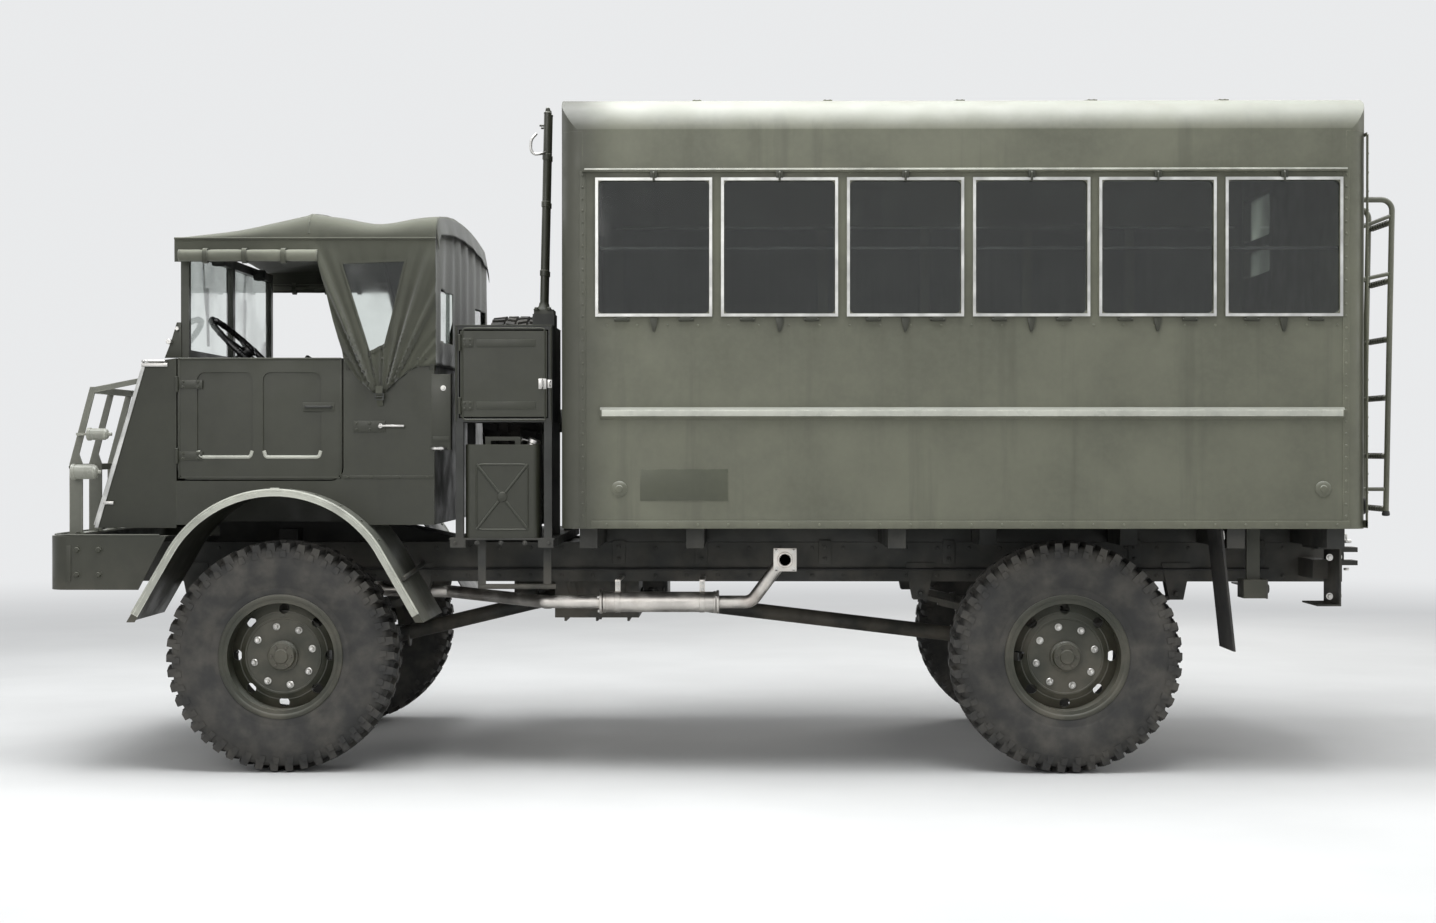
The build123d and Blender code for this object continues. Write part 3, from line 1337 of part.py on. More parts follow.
# Tow jaw: two ears with a vertical pin hole, on a plate on the last cross member
jaw_rear = rear_x - rear_overhang
jaw_z = 945
jaw_gap = 42
jaw_ear = 24
jaw_half_width = 55
jaw_depth = 85
jaw_throat = 66
jaw_shank_radius = 46
jaw_plate_half_width = 110
jaw_plate_thickness = 16
jaw_pin_x = jaw_rear + 42
jaw_pin_radius = 16
with BuildPart() as tow_hitch:
    block((rail_rear - jaw_plate_thickness, rail_rear), (-jaw_plate_half_width, jaw_plate_half_width),
          (rail_bottom + 15, rail_top - 10))
    rod((jaw_rear + jaw_throat, 0, jaw_z), (rail_rear - 10, 0, jaw_z), jaw_shank_radius)
    for z in (jaw_z - jaw_gap / 2 - jaw_ear, jaw_z + jaw_gap / 2):
        block((jaw_rear, jaw_rear + jaw_depth), (-jaw_half_width, jaw_half_width), (z, z + jaw_ear))
    rod((jaw_pin_x, 0, jaw_z - 60), (jaw_pin_x, 0, jaw_z + 60), jaw_pin_radius, mode=Mode.SUBTRACT)
save(tow_hitch, "tow_hitch")

# Short rear bumpers: a channel on a bracket from each rail
short_bumper_x = (rear_x - 1292, rear_x - 1182)
short_bumper_y = (620, 900)
short_bumper_z = (753, 1026)
short_bumper_wall = 8
bumper_bracket_z = (870, 960)
with BuildPart() as rear_bumpers:
    for side in (1, -1):
        near, far = sorted((side * short_bumper_y[0], side * short_bumper_y[1]))
        block(short_bumper_x, (near, far), short_bumper_z)
        inner_rear = short_bumper_x[0] + short_bumper_wall
        block((inner_rear, short_bumper_x[1] + 5), (near - 5, far + 5),
              (short_bumper_z[0] + short_bumper_wall, short_bumper_z[1] - short_bumper_wall),
              mode=Mode.SUBTRACT)
        near, far = sorted((side * rail_outer, side * (short_bumper_y[0] + 80)))
        block((inner_rear - 2, short_bumper_x[1] - 30), (near, far), bumper_bracket_z)
save(rear_bumpers, "rear_bumpers")

# Rear lamps on drop brackets, and rubber flaps behind the rear wheels
rear_lamp_x = rear_x - 860
rear_lamp_half = 55
rear_lamp_y = (930, 1060)
rear_lamp_z = (800, 885)
lamp_bracket_half = 30
lamp_bracket_y = (985, 1005)
with BuildPart() as rear_lamps:
    for side in (1, -1):
        near, far = sorted((side * rear_lamp_y[0], side * rear_lamp_y[1]))
        block((rear_lamp_x - rear_lamp_half, rear_lamp_x + rear_lamp_half), (near, far), rear_lamp_z)
        near, far = sorted((side * lamp_bracket_y[0], side * lamp_bracket_y[1]))
        block((rear_lamp_x - lamp_bracket_half, rear_lamp_x + lamp_bracket_half), (near, far),
              (rear_lamp_z[1] - 5, body_bottom))
save(rear_lamps, "rear_lamps")

flap_x = rear_x - 700
flap_thickness = 10
flap_low = 560
flap_lean = 60
flap_y = (800, 1100)
with BuildPart() as mudflaps:
    for side in (1, -1):
        near, far = sorted((side * flap_y[0], side * flap_y[1]))
        side_shape([(flap_x, body_bottom), (flap_x + flap_thickness, body_bottom),
                    (flap_x - flap_lean + flap_thickness, flap_low),
                    (flap_x - flap_lean, flap_low)], near, far)
save(mudflaps, "mudflaps")
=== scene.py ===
# %% [markdown]
# # A military truck with a canvas-topped cab and a windowed box body
#
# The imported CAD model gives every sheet, rail and wheel its size and place, in metres: X forward, Y to the truck's
# left, Z up. This lesson dresses it. Repeated small parts, such as bolts, rivets and tyre lugs, are grown by
# Geometry Nodes, and everything soft is built as cloth or padding.

# %% Load the model that everything is fitted to
from math import atan2, copysign, cos, exp, pi, radians, sin, sqrt

import bmesh
import bpy
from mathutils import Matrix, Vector, noise


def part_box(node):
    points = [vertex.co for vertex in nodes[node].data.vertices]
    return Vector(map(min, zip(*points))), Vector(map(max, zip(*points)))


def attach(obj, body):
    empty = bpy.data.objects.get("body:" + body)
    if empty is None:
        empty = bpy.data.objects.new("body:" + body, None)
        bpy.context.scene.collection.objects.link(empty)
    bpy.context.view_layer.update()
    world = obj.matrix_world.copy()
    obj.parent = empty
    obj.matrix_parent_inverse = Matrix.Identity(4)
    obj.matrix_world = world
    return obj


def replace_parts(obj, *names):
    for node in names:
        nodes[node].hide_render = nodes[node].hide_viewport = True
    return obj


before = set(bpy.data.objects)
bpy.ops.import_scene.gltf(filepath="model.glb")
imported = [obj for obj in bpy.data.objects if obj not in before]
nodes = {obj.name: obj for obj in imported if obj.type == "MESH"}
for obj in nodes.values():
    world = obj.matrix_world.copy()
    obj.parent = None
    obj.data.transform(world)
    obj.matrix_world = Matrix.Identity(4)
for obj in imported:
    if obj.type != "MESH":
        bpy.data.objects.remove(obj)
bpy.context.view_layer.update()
collection = bpy.context.scene.collection

# %% Places that many pieces share
front_axle_x = 2.0675
rear_axle_x = -1.5325
axle_height = 0.53
wheel_track = 0.95
wheel_places = {"front_left": (front_axle_x, 1), "front_right": (front_axle_x, -1), "rear_left": (rear_axle_x, 1),
    "rear_right": (rear_axle_x, -1)}
sides = ((1, "left"), (-1, "right"))
forward, backward, upward, downward = (1, 0, 0), (-1, 0, 0), (0, 0, 1), (0, 0, -1)
to_left, to_right = (0, 1, 0), (0, -1, 0)
print("wheelbase", round(front_axle_x - rear_axle_x, 3))

# %% [markdown]
# ## Camera
#
# The photograph was taken from the truck's left with a long lens, almost square to the side. The lines that run
# across the truck meet at one point, which gives the camera's height and place; the tyres give the distance. So the
# camera is set from those numbers, and is not nudged by eye.

# %% The photographer's place and lens
focal_pixels, photo_width = 2217, 1436
camera_place = Vector((-0.033, 11.2, 1.473))
look_right_pixels, look_down_pixels = 21.0, 10.5
camera_data = bpy.data.cameras.new("camera")
camera_data.sensor_width = 36.0
camera_data.lens = 36.0 * focal_pixels / photo_width
camera = bpy.data.objects.new("camera", camera_data)
collection.objects.link(camera)
looking = Vector((look_right_pixels / focal_pixels, -1.0, -look_down_pixels / focal_pixels))
camera.location = camera_place
camera.rotation_euler = looking.to_track_quat("-Z", "Y").to_euler()
bpy.context.scene.camera = camera
print("lens", round(camera_data.lens, 2))

# %% [markdown]
# ## Studio
#
# The photograph has a pale overcast sky: tops of things shine and their flanks are soft. One broad lamp overhead and
# a weaker one behind the camera copy that. The floor and the backdrop are plain and pale.

# %% Nodes: one call makes a node, sets it up and joins its inputs
def join(tree, value, socket):
    if isinstance(value, bpy.types.NodeSocket):
        tree.links.new(value, socket)
    else:
        socket.default_value = value


def add_node(tree, kind, inputs=(), **settings):
    made = tree.nodes.new(kind)
    for key, value in settings.items():
        setattr(made, key, value)
    for socket, value in dict(inputs).items():
        join(tree, value, made.inputs[socket])
    return made


# %% World: pale for the camera, plain grey light for the truck
world = bpy.data.worlds.new("studio")
bpy.context.scene.world = world
world.use_nodes = True
tree = world.node_tree
tree.nodes.clear()
path = add_node(tree, "ShaderNodeLightPath")
sees = path.outputs["Is Camera Ray"]
for ray in ("Is Glossy Ray", "Is Transmission Ray"):
    sees = add_node(tree, "ShaderNodeMath", {0: sees, 1: path.outputs[ray]}, operation="MAXIMUM").outputs[0]
lit = add_node(tree, "ShaderNodeBackground", {"Color": (0.86, 0.89, 0.93, 1), "Strength": 0.42}).outputs[0]
seen = add_node(tree, "ShaderNodeBackground", {"Color": (0.86, 0.87, 0.88, 1), "Strength": 0.95}).outputs[0]
choose = add_node(tree, "ShaderNodeMixShader", {"Fac": sees, 1: lit, 2: seen})
add_node(tree, "ShaderNodeOutputWorld", {"Surface": choose.outputs[0]})
bpy.context.scene.view_settings.view_transform = "Standard"


# %% Lamps
def lamp(name, place, target, size, watts, tint=(1, 1, 1)):
    data = bpy.data.lights.new(name, "AREA")
    data.shape = "RECTANGLE"
    data.size, data.size_y = size
    data.energy, data.color = watts, tint
    holder = bpy.data.objects.new(name, data)
    holder.location = place
    holder.rotation_euler = (Vector(target) - Vector(place)).to_track_quat("-Z", "Y").to_euler()
    collection.objects.link(holder)
    return holder


lamp("sky_lamp", (0.6, 1.2, 7.5), (0, 0, 1.0), (9.0, 6.0), 980, (0.97, 0.985, 1.0))
lamp("side_lamp", (3.5, 9.0, 4.6), (0, 0, 1.2), (5.0, 3.0), 180, (1.0, 0.985, 0.96))
lamp("far_lamp", (-4.5, -8.0, 4.8), (0, 0, 1.4), (5.0, 3.0), 190, (1.0, 0.985, 0.96))
lamp("nose_lamp", (9.0, -1.5, 3.6), (1.5, 0, 1.2), (4.0, 2.6), 60)
lamp("tail_lamp", (-9.0, 1.5, 3.6), (-2, 0, 1.4), (4.0, 2.6), 120)

# %% [markdown]
# ## A small workshop
#
# Most fittings are boxes, rods, bent tubes, turned parts and cut plates. A `Maker` collects such shapes in one mesh
# and turns them into a finished object that rides on its CAD body. Nothing is left as a bare primitive: edges are
# broken with a small bevel, because real sheet and castings have no knife edges.


# %% Maker: shapes in, one finished piece out
block_faces = [(0, 1, 3, 2), (4, 6, 7, 5), (0, 4, 5, 1), (2, 3, 7, 6), (0, 2, 6, 4), (1, 5, 7, 3)]


class Maker:
    def __init__(self):
        self.bm = bmesh.new()

    def add(self, points, faces, bevel=0.0):
        made = [self.bm.verts.new(p) for p in points]
        new_faces = [self.bm.faces.new([made[i] for i in face]) for face in faces]
        if bevel:
            edges = list({edge for face in new_faces for edge in face.edges})
            bmesh.ops.bevel(self.bm, geom=edges, offset=bevel, segments=2, affect="EDGES", profile=0.6)
        return made

    def box(self, low, high, bevel=0.003):
        low, high = [[f(a, b) for a, b in zip(low, high)] for f in (min, max)]
        corners = [(x, y, z) for x in (low[0], high[0]) for y in (low[1], high[1]) for z in (low[2], high[2])]
        smallest = min(b - a for a, b in zip(low, high))
        self.add(corners, block_faces, min(bevel, smallest * 0.3))

    def ring(self, centre, along, radius, sides):
        out_, up = frame_across(along)
        return [centre + out_ * (radius * cos(t)) + up * (radius * sin(t)) for t in (2 * pi * i / sides
            for i in range(sides))]

    def loft(self, rings, cap=True, loop=False):
        sides_ = len(rings[0])
        points = [p for ring in rings for p in ring]
        faces = []
        pairs = list(zip(range(len(rings)), range(1, len(rings)))) + ([(len(rings) - 1, 0)] if loop else [])
        for a, b in pairs:
            for i in range(sides_):
                j = (i + 1) % sides_
                faces.append((a * sides_ + i, a * sides_ + j, b * sides_ + j, b * sides_ + i))
        if cap and not loop:
            faces.append(tuple(reversed(range(sides_))))
            faces.append(tuple((len(rings) - 1) * sides_ + i for i in range(sides_)))
        self.add(points, faces)

    def rod(self, start, end, radius, sides=16):
        start, end = Vector(start), Vector(end)
        along = (end - start).normalized()
        cut, length = radius * 0.15, (end - start).length
        stations = [(0, radius - cut), (cut, radius), (length - cut, radius), (length, radius - cut)]
        self.loft([self.ring(start + along * s, along, r, sides) for s, r in stations])

    def turned(self, centre, along, profile, sides=32):
        # profile rows: how far along the axis, and the radius there
        centre, along = Vector(centre), Vector(along).normalized()
        self.loft([self.ring(centre + along * s, along, max(r, 1e-4), sides) for s, r in profile])

    def tube(self, points, radius, sides=10, bend=0.03, steps=4):
        route = rounded([Vector(p) for p in points], bend, steps)
        rings, out_ = [], None
        for i, here in enumerate(route):
            before, after = route[max(i - 1, 0)], route[min(i + 1, len(route) - 1)]
            along = (after - before).normalized()
            out_ = frame_across(along)[0] if out_ is None else (out_ - along * out_.dot(along)).normalized()
            up = along.cross(out_)
            rings.append([here + out_ * (radius * cos(t)) + up * (radius * sin(t))
                for t in (2 * pi * k / sides for k in range(sides))])
        self.loft(rings)

    def plate(self, outline, origin, x_axis, y_axis, thickness, bevel=0.0):
        # a flat outline, thickened towards x_axis cross y_axis
        x_axis, y_axis, origin = Vector(x_axis).normalized(), Vector(y_axis).normalized(), Vector(origin)
        deep = x_axis.cross(y_axis) * thickness
        low = [origin + x_axis * a + y_axis * b for a, b in outline]
        count = len(low)
        faces = [tuple(reversed(range(count))), tuple(range(count, 2 * count))]
        faces += [(i, (i + 1) % count, count + (i + 1) % count, count + i) for i in range(count)]
        self.add(low + [p + deep for p in low], faces, bevel)

    def strip(self, left, right, thickness, up):
        # a bent flat band between two edge lines
        up = Vector(up).normalized() * thickness
        rings = [[Vector(a), Vector(b), Vector(b) + up, Vector(a) + up] for a, b in zip(left, right)]
        self.loft(rings)

    def piece(self, name, material, body="chassis", slot=None, smooth=35):
        bmesh.ops.recalc_face_normals(self.bm, faces=self.bm.faces)
        mesh = bpy.data.meshes.new(name)
        self.bm.to_mesh(mesh)
        self.bm.free()
        return dress(bpy.data.objects.new(name, mesh), material, body, slot, smooth)


def mm(table, side=1):
    # a table of points in millimetres, rows parted by commas; side puts them on the truck's left or right
    rows = [[float(number) / 1000 for number in row.split()] for row in table.split(",")]
    return [(row[0], side * row[1], *row[2:]) for row in rows]


def grid_faces(rows, columns, first=0):
    # the faces of a grid of points that has columns + 1 points in each of its rows + 1 rows
    wide = columns + 1
    return [(a, a + 1, a + wide + 1, a + wide) for row in range(rows) for a in range(first + row * wide,
        first + row * wide + columns)]


def frame_across(along):
    helper = Vector(upward) if abs(along.z) < 0.9 else Vector(forward)
    out_ = along.cross(helper).normalized()
    return out_, along.cross(out_).normalized()


def rounded(points, bend, steps):
    # a polyline whose corners are turned into short arcs
    route = [points[0]]
    for before, corner, after in zip(points, points[1:], points[2:]):
        back, on = before - corner, after - corner
        reach = min(bend, back.length * 0.45, on.length * 0.45)
        a, b = corner + back.normalized() * reach, corner + on.normalized() * reach
        for k in range(steps + 1):
            t = k / steps
            route.append(a * (1 - t) ** 2 + corner * (2 * t * (1 - t)) + b * t * t)
    route.append(points[-1])
    return route


def dress(thing, material, body="chassis", slot=None, smooth=35):
    if thing.name not in collection.objects:
        collection.objects.link(thing)
    mesh = thing.data
    mesh.materials.clear()
    mesh.materials.append(material)
    mesh.polygons.foreach_set("use_smooth", [True] * len(mesh.polygons))
    mesh.set_sharp_from_angle(angle=radians(smooth))
    slot = slot or usual_slot[material.name.split(".")[0]]
    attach(thing, body)
    return thing


def thicken(thing, thickness):
    cloth = thing.modifiers.new("cloth", "SOLIDIFY")
    cloth.thickness, cloth.offset = thickness, 0
    return thing


def cloth_grid(name, points, rows, columns, material, slot, smooth, thickness):
    mesh = bpy.data.meshes.new(name)
    mesh.from_pydata(points, [], grid_faces(rows, columns))
    return thicken(dress(bpy.data.objects.new(name, mesh), material, "chassis", slot, smooth), thickness)


print("workshop ready")
# %% [markdown]
# ## Finishes
#
# An old army truck has one paint on everything, and what tells its parts apart is what happened to that paint: the
# cab is darker and cleaner, the box body is chalky and streaked by rain, the chassis is black with road dirt, and
# edges are rubbed to a lighter line. Faces that point up are painted paler, partly fading and partly a painted sheen
# of the sky, and a few lips, rails and ledges carry a pale paint as a painted highlight. Each finish is a few noise
# patterns on the piece's own coordinates, so it holds on any side and in any pose.


# %% A finish: one material and the nodes that vary it
class Finish:
    def __init__(self, name, roughness=0.5, metallic=0.0, **shader):
        self.material = bpy.data.materials.new(name)
        self.material.use_nodes = True
        self.tree = self.material.node_tree
        self.shader = self.tree.nodes["Principled BSDF"]
        self.shader.inputs["Roughness"].default_value = roughness
        self.shader.inputs["Metallic"].default_value = metallic
        for socket, value in shader.items():
            self.shader.inputs[socket.replace("_", " ")].default_value = value
        self.place = self.tree.nodes.new("ShaderNodeTexCoord").outputs["Object"]

    def node(self, kind, inputs=(), **settings):
        return add_node(self.tree, kind, inputs, **settings)

    def join(self, value, socket):
        join(self.tree, value, self.shader.inputs[socket])

    def scaled(self, x, y, z):
        return self.node("ShaderNodeMapping", {"Vector": self.place, "Scale": (x, y, z)}).outputs[0]

    def noise(self, scale, detail=4.0, vector=None):
        inputs = {"Vector": vector or self.place, "Scale": scale, "Detail": detail, "Roughness": 0.55}
        return self.node("ShaderNodeTexNoise", inputs).outputs["Fac"]

    def spread(self, value, low, high, to_low=0.0, to_high=1.0):
        inputs = {"Value": value, "From Min": low, "From Max": high, "To Min": to_low, "To Max": to_high}
        return self.node("ShaderNodeMapRange", inputs, interpolation_type="SMOOTHSTEP").outputs[0]

    def sum(self, a, b, how="MULTIPLY"):
        return self.node("ShaderNodeMath", {0: a, 1: b}, operation=how).outputs[0]

    def blend(self, factor, a, b):
        return self.node("ShaderNodeMix", {0: factor, 6: a, 7: b}, data_type="RGBA").outputs[2]

    def height(self):
        return self.node("ShaderNodeSeparateXYZ", {0: self.place}).outputs["Z"]

    def facing_up(self):
        normal = self.node("ShaderNodeNewGeometry").outputs["Normal"]
        return self.node("ShaderNodeSeparateXYZ", {0: normal}).outputs["Z"]

    def rubbed_edge(self, radius):
        # where the surface bends within this radius, as on the edge of a sheet
        soft = self.node("ShaderNodeBevel", {"Radius": radius}, samples=4).outputs[0]
        hard = self.node("ShaderNodeNewGeometry").outputs["Normal"]
        alike = self.node("ShaderNodeVectorMath", {0: soft, 1: hard}, operation="DOT_PRODUCT").outputs["Value"]
        return self.spread(alike, 0.985, 0.8)

    def bump(self, value, distance, strength=1.0, under=None):
        inputs = {"Height": value, "Distance": distance, "Strength": strength}
        if under:
            inputs["Normal"] = under
        return self.node("ShaderNodeBump", inputs).outputs[0]

    def done(self, color, roughness=None, normal=None):
        self.join(color, "Base Color")
        if roughness:
            self.join(roughness, "Roughness")
        if normal:
            self.join(normal, "Normal")
        return self.material


def tone(color, factor):
    return tuple(channel * factor for channel in color[:3]) + (1,)


# %% Paint: olive, clouded, streaked by rain, dusty low down and rubbed along its edges; up-facing faces painted paler as fading and a painted sky sheen, and an optional painted shade at the box's front end
def painted(name, color, dust=0.5, streaks=0.35, rub=0.6, rough=0.46, dust_top=1.15, cloud=0.28, fade_and_sheen=0.35,
        shade=0):
    finish = Finish(name, rough)
    clouds = finish.spread(finish.noise(1.7, 5), 0.34, 0.66)
    base = finish.blend(clouds, tone(color, 1 - cloud * 0.5), tone(color, 1 + cloud * 0.5))
    fine = finish.spread(finish.noise(38, 3), 0.3, 0.75)
    base = finish.blend(finish.sum(fine, 0.22), base, tone(color, 1.35))
    rain = finish.spread(finish.noise(1.0, 6, finish.scaled(9, 9, 0.55)), 0.52, 0.72, 0, streaks)
    base = finish.blend(rain, base, tone(color, 0.62))
    # faces that point up turn paler: partly fading, partly a painted sheen of the sky
    fade_and_sheen_mask = finish.spread(finish.facing_up(), 0.12, 0.9, 0, fade_and_sheen)
    base = finish.blend(fade_and_sheen_mask, base, (0.42, 0.43, 0.38, 1))
    dirt_color = (0.21, 0.185, 0.145, 1)
    low = finish.spread(finish.height(), dust_top, 0.45)
    patchy = finish.spread(finish.noise(4.5, 6), 0.35, 0.7)
    ledge = finish.spread(finish.facing_up(), 0.6, 1.0, 0, 0.3)
    dirt = finish.sum(finish.sum(low, patchy), dust)
    dirt = finish.sum(dirt, finish.sum(ledge, patchy), "ADD")
    base = finish.blend(finish.node("ShaderNodeClamp", {0: dirt}).outputs[0], base, dirt_color)
    worn = finish.sum(finish.rubbed_edge(0.007), finish.spread(finish.noise(14, 4), 0.38, 0.68, 0, rub))
    base = finish.blend(worn, base, tone(color, 2.6))
    if shade:
        # painted shade: the box is darkened towards its front end, behind the cab's rear edge
        along = finish.node("ShaderNodeSeparateXYZ", {0: finish.place}).outputs["X"]
        base = finish.blend(finish.spread(along, 0.48, 0.74, 0, shade), base, tone(color, 0.22))
    roughness = finish.spread(finish.noise(6, 4), 0.3, 0.7, rough - 0.08, rough + 0.14)
    waves = finish.bump(finish.noise(2.6, 2), 0.004, 0.5)
    return finish.done(base, roughness, finish.bump(finish.noise(420, 2), 0.0004, 0.4, waves))


cab_olive = painted("cab_olive", (0.027, 0.0285, 0.0185), dust=0.35, streaks=0.25, rub=0.5, rough=0.42)
box_olive = painted("box_olive", (0.112, 0.114, 0.082), dust=0.4, streaks=0.5, rub=0.55, rough=0.5, cloud=0.34,
    fade_and_sheen=0.65, shade=0.75)
# a pale copy of the olive: a painted highlight of the sky, for lips, rails and ledges
worn_lip = painted("worn_lip", (0.42, 0.425, 0.37), dust=0.25, streaks=0.35, rub=0.6, rough=0.34, cloud=0.4)
# a paler copy of the olive for the brush guard: a painted highlight along its tubes
guard_highlight_paint = painted("guard_highlight_paint", (0.15, 0.153, 0.125), dust=0.3, streaks=0.3, rub=0.9, rough=0.36)
lamp_paint = painted("lamp_paint", (0.25, 0.253, 0.215), dust=0.2, streaks=0.2, rub=0.5, rough=0.3)
chassis_black = painted("chassis_black", (0.028, 0.029, 0.026), dust=0.55, streaks=0.1, rub=0.25, rough=0.62,
    dust_top=1.3, fade_and_sheen=0.05)
cab_inside = painted("cab_inside", (0.06, 0.063, 0.042), dust=0.2, streaks=0.1, rub=0.7, rough=0.5)
print("paints", len(bpy.data.materials))


# %% Rubber: black, clouded, with patches of a pale brown bloom
def rubbery(name, color, bloom, rough):
    finish = Finish(name, rough)
    patch = finish.spread(finish.noise(5, 6), 0.35, 0.7)
    base = finish.blend(patch, tone(color, 0.9), tone(color, 1.25))
    dust = finish.spread(finish.noise(9, 7), 0.3, 0.85, 0, bloom)
    base = finish.blend(dust, base, (0.16, 0.145, 0.12, 1))
    return finish.done(base, finish.spread(patch, 0, 1, rough - 0.08, rough + 0.08),
        finish.bump(finish.noise(300, 3), 0.0005, 0.5))


tyre_rubber = rubbery("tyre_rubber", (0.024, 0.024, 0.023), 0.45, 0.78)
flap_rubber = rubbery("flap_rubber", (0.022, 0.022, 0.022), 0.25, 0.7)
seal_rubber = rubbery("seal_rubber", (0.012, 0.012, 0.012), 0.1, 0.6)


# %% Bare and plated metal
def metallic(name, color, rough, rust=0.0):
    finish = Finish(name, rough, 1.0)
    patch = finish.spread(finish.noise(11, 5), 0.35, 0.68)
    base = finish.blend(patch, tone(color, 0.82), tone(color, 1.1))
    if rust:
        where = finish.spread(finish.noise(7, 7), 0.48, 0.66, 0, rust)
        base = finish.blend(where, base, (0.14, 0.075, 0.045, 1))
    lines = finish.noise(60, 2, finish.scaled(1, 1, 14))
    return finish.done(base, finish.spread(patch, 0, 1, rough - 0.06, rough + 0.1), finish.bump(lines, 0.0004, 0.25))


bare_steel = metallic("bare_steel", (0.55, 0.54, 0.52), 0.34)
silencer_steel = metallic("silencer_steel", (0.66, 0.63, 0.59), 0.42, rust=0.3)
window_alloy = metallic("window_alloy", (0.62, 0.62, 0.6), 0.38)
nut_steel = metallic("nut_steel", (0.7, 0.69, 0.66), 0.36, rust=0.12)


# %% Glass, lamp lenses, plastic
def clear(name, color, rough=0.02, through=1.0):
    finish = Finish(name, rough, 0.0, Transmission_Weight=through, IOR=1.46)
    smear = finish.spread(finish.noise(3.0, 5), 0.35, 0.75)
    finish.shader.inputs["Specular IOR Level"].default_value = 0.5
    return finish.done(finish.blend(smear, tone(color, 1.0), tone(color, 0.86)),
        finish.spread(smear, 0, 1, rough, rough + 0.1))


window_clear = clear("window_clear", (0.78, 0.83, 0.8))
# a grey, hazy glass film: painted shade that dims the daylight through the rear panes
pane_dusty = clear("pane_dusty", (0.3, 0.31, 0.29), 0.35, 0.92)
lamp_lens = clear("lamp_lens", (0.92, 0.93, 0.9), 0.06, 0.85)
red_lens = clear("red_lens", (0.42, 0.02, 0.015), 0.12, 0.5)
amber_lens = clear("amber_lens", (0.6, 0.2, 0.02), 0.12, 0.5)


def plain(name, color, rough, fleck=0.3, scale=30):
    finish = Finish(name, rough)
    patch = finish.spread(finish.noise(scale, 4), 0.35, 0.7)
    return finish.done(finish.blend(patch, tone(color, 1 - fleck), tone(color, 1 + fleck)),
        finish.spread(patch, 0, 1, rough - 0.05, rough + 0.08), finish.bump(finish.noise(500, 2), 0.0002, 0.4))


black_bakelite = plain("black_bakelite", (0.014, 0.014, 0.014), 0.32)
dial_white = plain("dial_white", (0.55, 0.56, 0.52), 0.5, 0.1)


# %% Woven cloth: a plain weave of two crossed waves, darker stains in patches, and tops paler, partly from fading and partly as a painted sheen of the sky
def woven(name, color, fade_and_sheen, thread=0.0016):
    finish = Finish(name, 0.85, 0.0, Sheen_Weight=0.25, Sheen_Roughness=0.5)
    old = finish.spread(finish.noise(2.2, 6), 0.34, 0.68)
    base = finish.blend(old, tone(color, 0.8), tone(color, 1.22))
    stain = finish.spread(finish.noise(7.5, 6), 0.55, 0.78, 0, 0.4)
    base = finish.blend(stain, base, tone(color, 0.55))
    # faces that point up turn paler: partly fading, partly a painted sheen of the sky
    fade_and_sheen_mask = finish.spread(finish.facing_up(), 0.2, 0.95, 0, fade_and_sheen)
    base = finish.blend(fade_and_sheen_mask, base, tone(color, 1.9))
    threads = []
    for way in (forward, (0, 0.7, 0.7)):
        run = finish.node("ShaderNodeVectorMath", {0: finish.place, 1: way}, operation="DOT_PRODUCT")
        turn = finish.sum(run.outputs["Value"], 2 * pi / thread)
        threads.append(finish.sum(turn, 0.0, "SINE"))
    weave = finish.sum(threads[0], threads[1])
    crumple = finish.bump(finish.noise(16, 4), 0.004, 0.5)
    return finish.done(base, None, finish.bump(weave, 0.0003, 0.35, crumple))


hood_canvas = woven("hood_canvas", (0.056, 0.058, 0.041), fade_and_sheen=0.8)
pale_canvas = woven("pale_canvas", (0.125, 0.128, 0.098), fade_and_sheen=0.6)
seat_cloth = woven("seat_cloth", (0.06, 0.066, 0.042), fade_and_sheen=0.2)
blind_cloth = woven("blind_cloth", (0.082, 0.083, 0.076), fade_and_sheen=0.0)
print("finishes", len(bpy.data.materials))

# %% The slot that a finish usually belongs to, then the CAD nodes take their finishes
usual_slot = {name: slot for slot, names in {"body_paint": "cab_olive window_alloy worn_lip",
    "box_paint": "box_olive cab_inside", "chassis_paint": "chassis_black", "exhaust_steel": "silencer_steel",
    "flap_rubber": "flap_rubber seal_rubber", "glass": "amber_lens lamp_lens pane_dusty red_lens window_clear",
    "hood_canvas": "hood_canvas", "lamp_metal": "bare_steel black_bakelite dial_white lamp_paint nut_steel",
    "seat_cloth": "seat_cloth", "tyre_rubber": "tyre_rubber"}.items() for name in names.split()}
node_finish = {
    box_olive: "box_left_side box_right_side box_front_wall box_rear_wall box_roof rear_door rear_ladder",
    chassis_black: """frame_rails frame_crossmembers front_axle rear_axle leaf_springs driveline fuel_tank tow_hitch
        engine radiator steering_column left_knuckle right_knuckle tie_rod box_floor rear_bumpers stowage_rack""",
    silencer_steel: "exhaust",
    guard_highlight_paint: "brush_guard",
    lamp_paint: "front_lamps",
    window_clear: "windscreen_glass window_glass",
    flap_rubber: "mudflaps",
    black_bakelite: "steering_wheel",
}
finish_of = {name: finish for finish, names in node_finish.items() for name in names.split()}
for name, thing in nodes.items():
    thing.data.materials.clear()
    thing.data.materials.append(finish_of.get(name, cab_olive))
print("painted", len(nodes), "nodes,", len(finish_of), "of them not cab olive")

# %% [markdown]
# ## Growers: Geometry Nodes for everything that repeats
#
# Three small trees do the repeating. `turn_copies` sets copies of one item round an axle, as for tyre lugs and wheel
# nuts. `step_copies` sets copies in a row, as for window catches. `stud_heads` puts a bolt or rivet head on each
# marked point, square to the sheet there. Each has named inputs, ends in Realize Instances and Set Material, and is
# turned into a plain mesh before the piece rides on its body.


